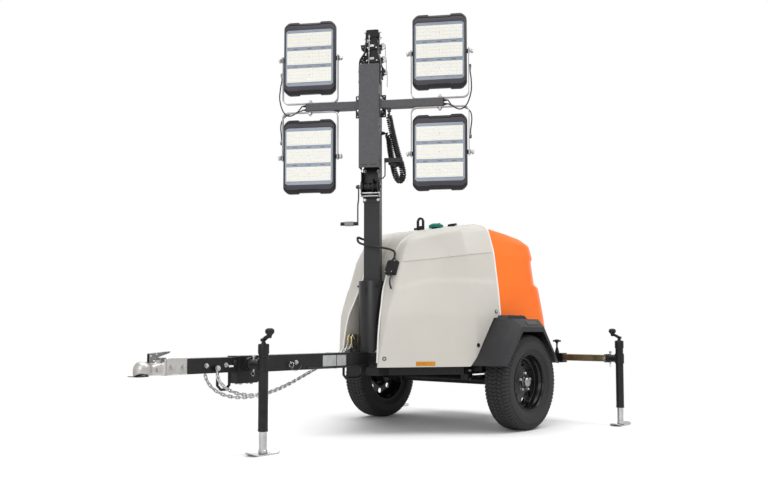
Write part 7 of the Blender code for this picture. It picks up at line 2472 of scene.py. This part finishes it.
@dataclass
class Studio:
    """Pale floor, white surround, soft lights and the photograph's camera.

    Args:
        place: Where the camera stands.
        tilt: How it is turned, in degrees.
        lens: Its focal length, in millimetres.
        rise: Its upward shift.
        keep_shadow: Distances from the middle where the floor starts to fade and is plain white.
    """

    place: tuple[float, float, float] = (3.351, -3.5245, 0.638)
    tilt: tuple[float, float, float] = (93.27, 0.0, 42.05)
    lens: float = 36.59
    rise: float = 0.0594
    keep_shadow: tuple[float, float] = (1.7, 2.7)

    def camera(self) -> None:
        """Set the camera where the photograph was taken from."""
        data = bpy.data.cameras.new("photo_camera")
        data.lens = self.lens
        data.sensor_width = 36.0
        data.shift_y = self.rise
        data.clip_end = 200.0
        made = bpy.data.objects.new("photo_camera", data)
        made.location = self.place
        made.rotation_euler = tuple(math.radians(angle) for angle in self.tilt)
        bpy.context.scene.collection.objects.link(made)
        bpy.context.scene.camera = made

    def world(self) -> None:
        """A surround that is white to the eye and softer as a light."""
        made = bpy.data.worlds.new("studio_world")
        made.use_nodes = True
        tree = made.node_tree
        back = tree.nodes["Background"]
        path = tree.nodes.new("ShaderNodeLightPath")
        seen = path.outputs["Is Camera Ray"]
        for name in ("Is Glossy Ray", "Is Transmission Ray"):
            both = tree.nodes.new("ShaderNodeMath")
            both.operation = "ADD"
            both.use_clamp = True
            tree.links.new(seen, both.inputs[0])
            tree.links.new(path.outputs[name], both.inputs[1])
            seen = both.outputs[0]
        strength = tree.nodes.new("ShaderNodeMapRange")
        strength.inputs["To Min"].default_value = 0.58
        strength.inputs["To Max"].default_value = 1.0
        tree.links.new(seen, strength.inputs["Value"])
        back.inputs["Color"].default_value = (1, 1, 1, 1)
        tree.links.new(strength.outputs["Result"], back.inputs["Strength"])
        bpy.context.scene.world = made
        bpy.context.scene.view_settings.view_transform = "Standard"

    def floor(self) -> None:
        """A pale floor that keeps the shadow near the object and turns to plain white further out."""
        angles = circle(1.0, 96)
        radii = np.array([0.001, 1.5, 3.0, 6.0, 40.0])
        grid = np.empty((5, 96, 3))
        grid[..., :2] = radii[:, None, None] * angles[None]
        grid[..., 2] = 0.0
        surface = woven(grid, True, False, False)
        graph = Graph("studio_floor")
        graph.set("Base Color", (0.97, 0.97, 0.97, 1.0))
        graph.set("Roughness", 0.6)
        graph.set("Specular IOR Level", 0.1)
        reach = graph.node("ShaderNodeVectorMath", {0: graph.place}, operation="LENGTH").outputs["Value"]
        fade = graph.span(reach, *self.keep_shadow)
        light = graph.node("ShaderNodeEmission", {"Color": (1, 1, 1, 1), "Strength": 1.0})
        eye = graph.node("ShaderNodeLightPath").outputs["Is Camera Ray"]
        mixed = graph.node("ShaderNodeMixShader", {0: graph.times(fade, eye), 1: graph.shader.outputs[0],
                                                   2: light.outputs[0]})
        output = next(node for node in graph.tree.nodes if node.type == "OUTPUT_MATERIAL")
        graph.tree.links.new(mixed.outputs[0], output.inputs["Surface"])
        made = in_scene("studio_floor", to_mesh("studio_floor", surface, False))
        made.data.materials.append(graph.material)

    def lamp(self, name: str, place: tuple, aim: tuple, size: float, power: float) -> None:
        """A square soft light that points at a place.

        Args:
            name: The light's name.
            place: Where it stands.
            aim: What it points at.
            size: Length of its side.
            power: Its power, in watts.
        """
        data = bpy.data.lights.new(name, "AREA")
        data.shape = "SQUARE"
        data.size = size
        data.energy = power
        made = bpy.data.objects.new(name, data)
        made.location = place
        made.rotation_euler = (Vector(aim) - Vector(place)).to_track_quat("-Z", "Y").to_euler()
        bpy.context.scene.collection.objects.link(made)

    def build(self) -> None:
        """Set the stage."""
        self.world()
        self.floor()
        self.lamp("key_light", (3.6, 2.2, 5.2), (0, 0, 0.9), 2.4, 118.0)
        self.lamp("fill_light", (2.2, -5.2, 2.6), (0, -0.2, 1.0), 3.0, 76.0)
        self.lamp("rim_light", (-4.2, 1.6, 3.2), (0, 0, 1.0), 2.4, 45.0)
        self.lamp("top_light", (0.0, 0.0, 6.0), (0, 0, 0.0), 5.0, 205.0)


def main() -> None:
    """Build the studio, the cords and every sub-assembly, in order."""
    logging.basicConfig(level=logging.INFO, format="%(name)s %(message)s")
    studio = Studio()
    studio.camera()
    Cords().build()
    studio.build()
    dress_kept()
    Canopy().build()
    for side, sign in SIDES:
        Fender(side, sign).build()
        RoadWheel(side, sign).build()
        Outrigger(side, sign).build()
        ScrewJack("outrigger_jack_" + side, sign * 0.985, 0.643, -sign, 0.900, 0.447, "outrigger_jack_" + side,
                  "outrigger_leg_" + side, "outrigger_jack_leg_" + side, "outrigger_jack_body_" + side).build()
        for tier in Tier:
            Floodlight(side, sign, tier).build()
    ScrewJack("tongue_jack", 0.175, -1.765, 1, 0.0744, 0.459, "tongue_jack", "tongue_leg", "tongue_jack_leg",
              "tongue_jack_body").build()
    Mast().build()
    Winch().build()
    Drawbar().build()
    Undercarriage().build()


if __name__ == "__main__":
    main()
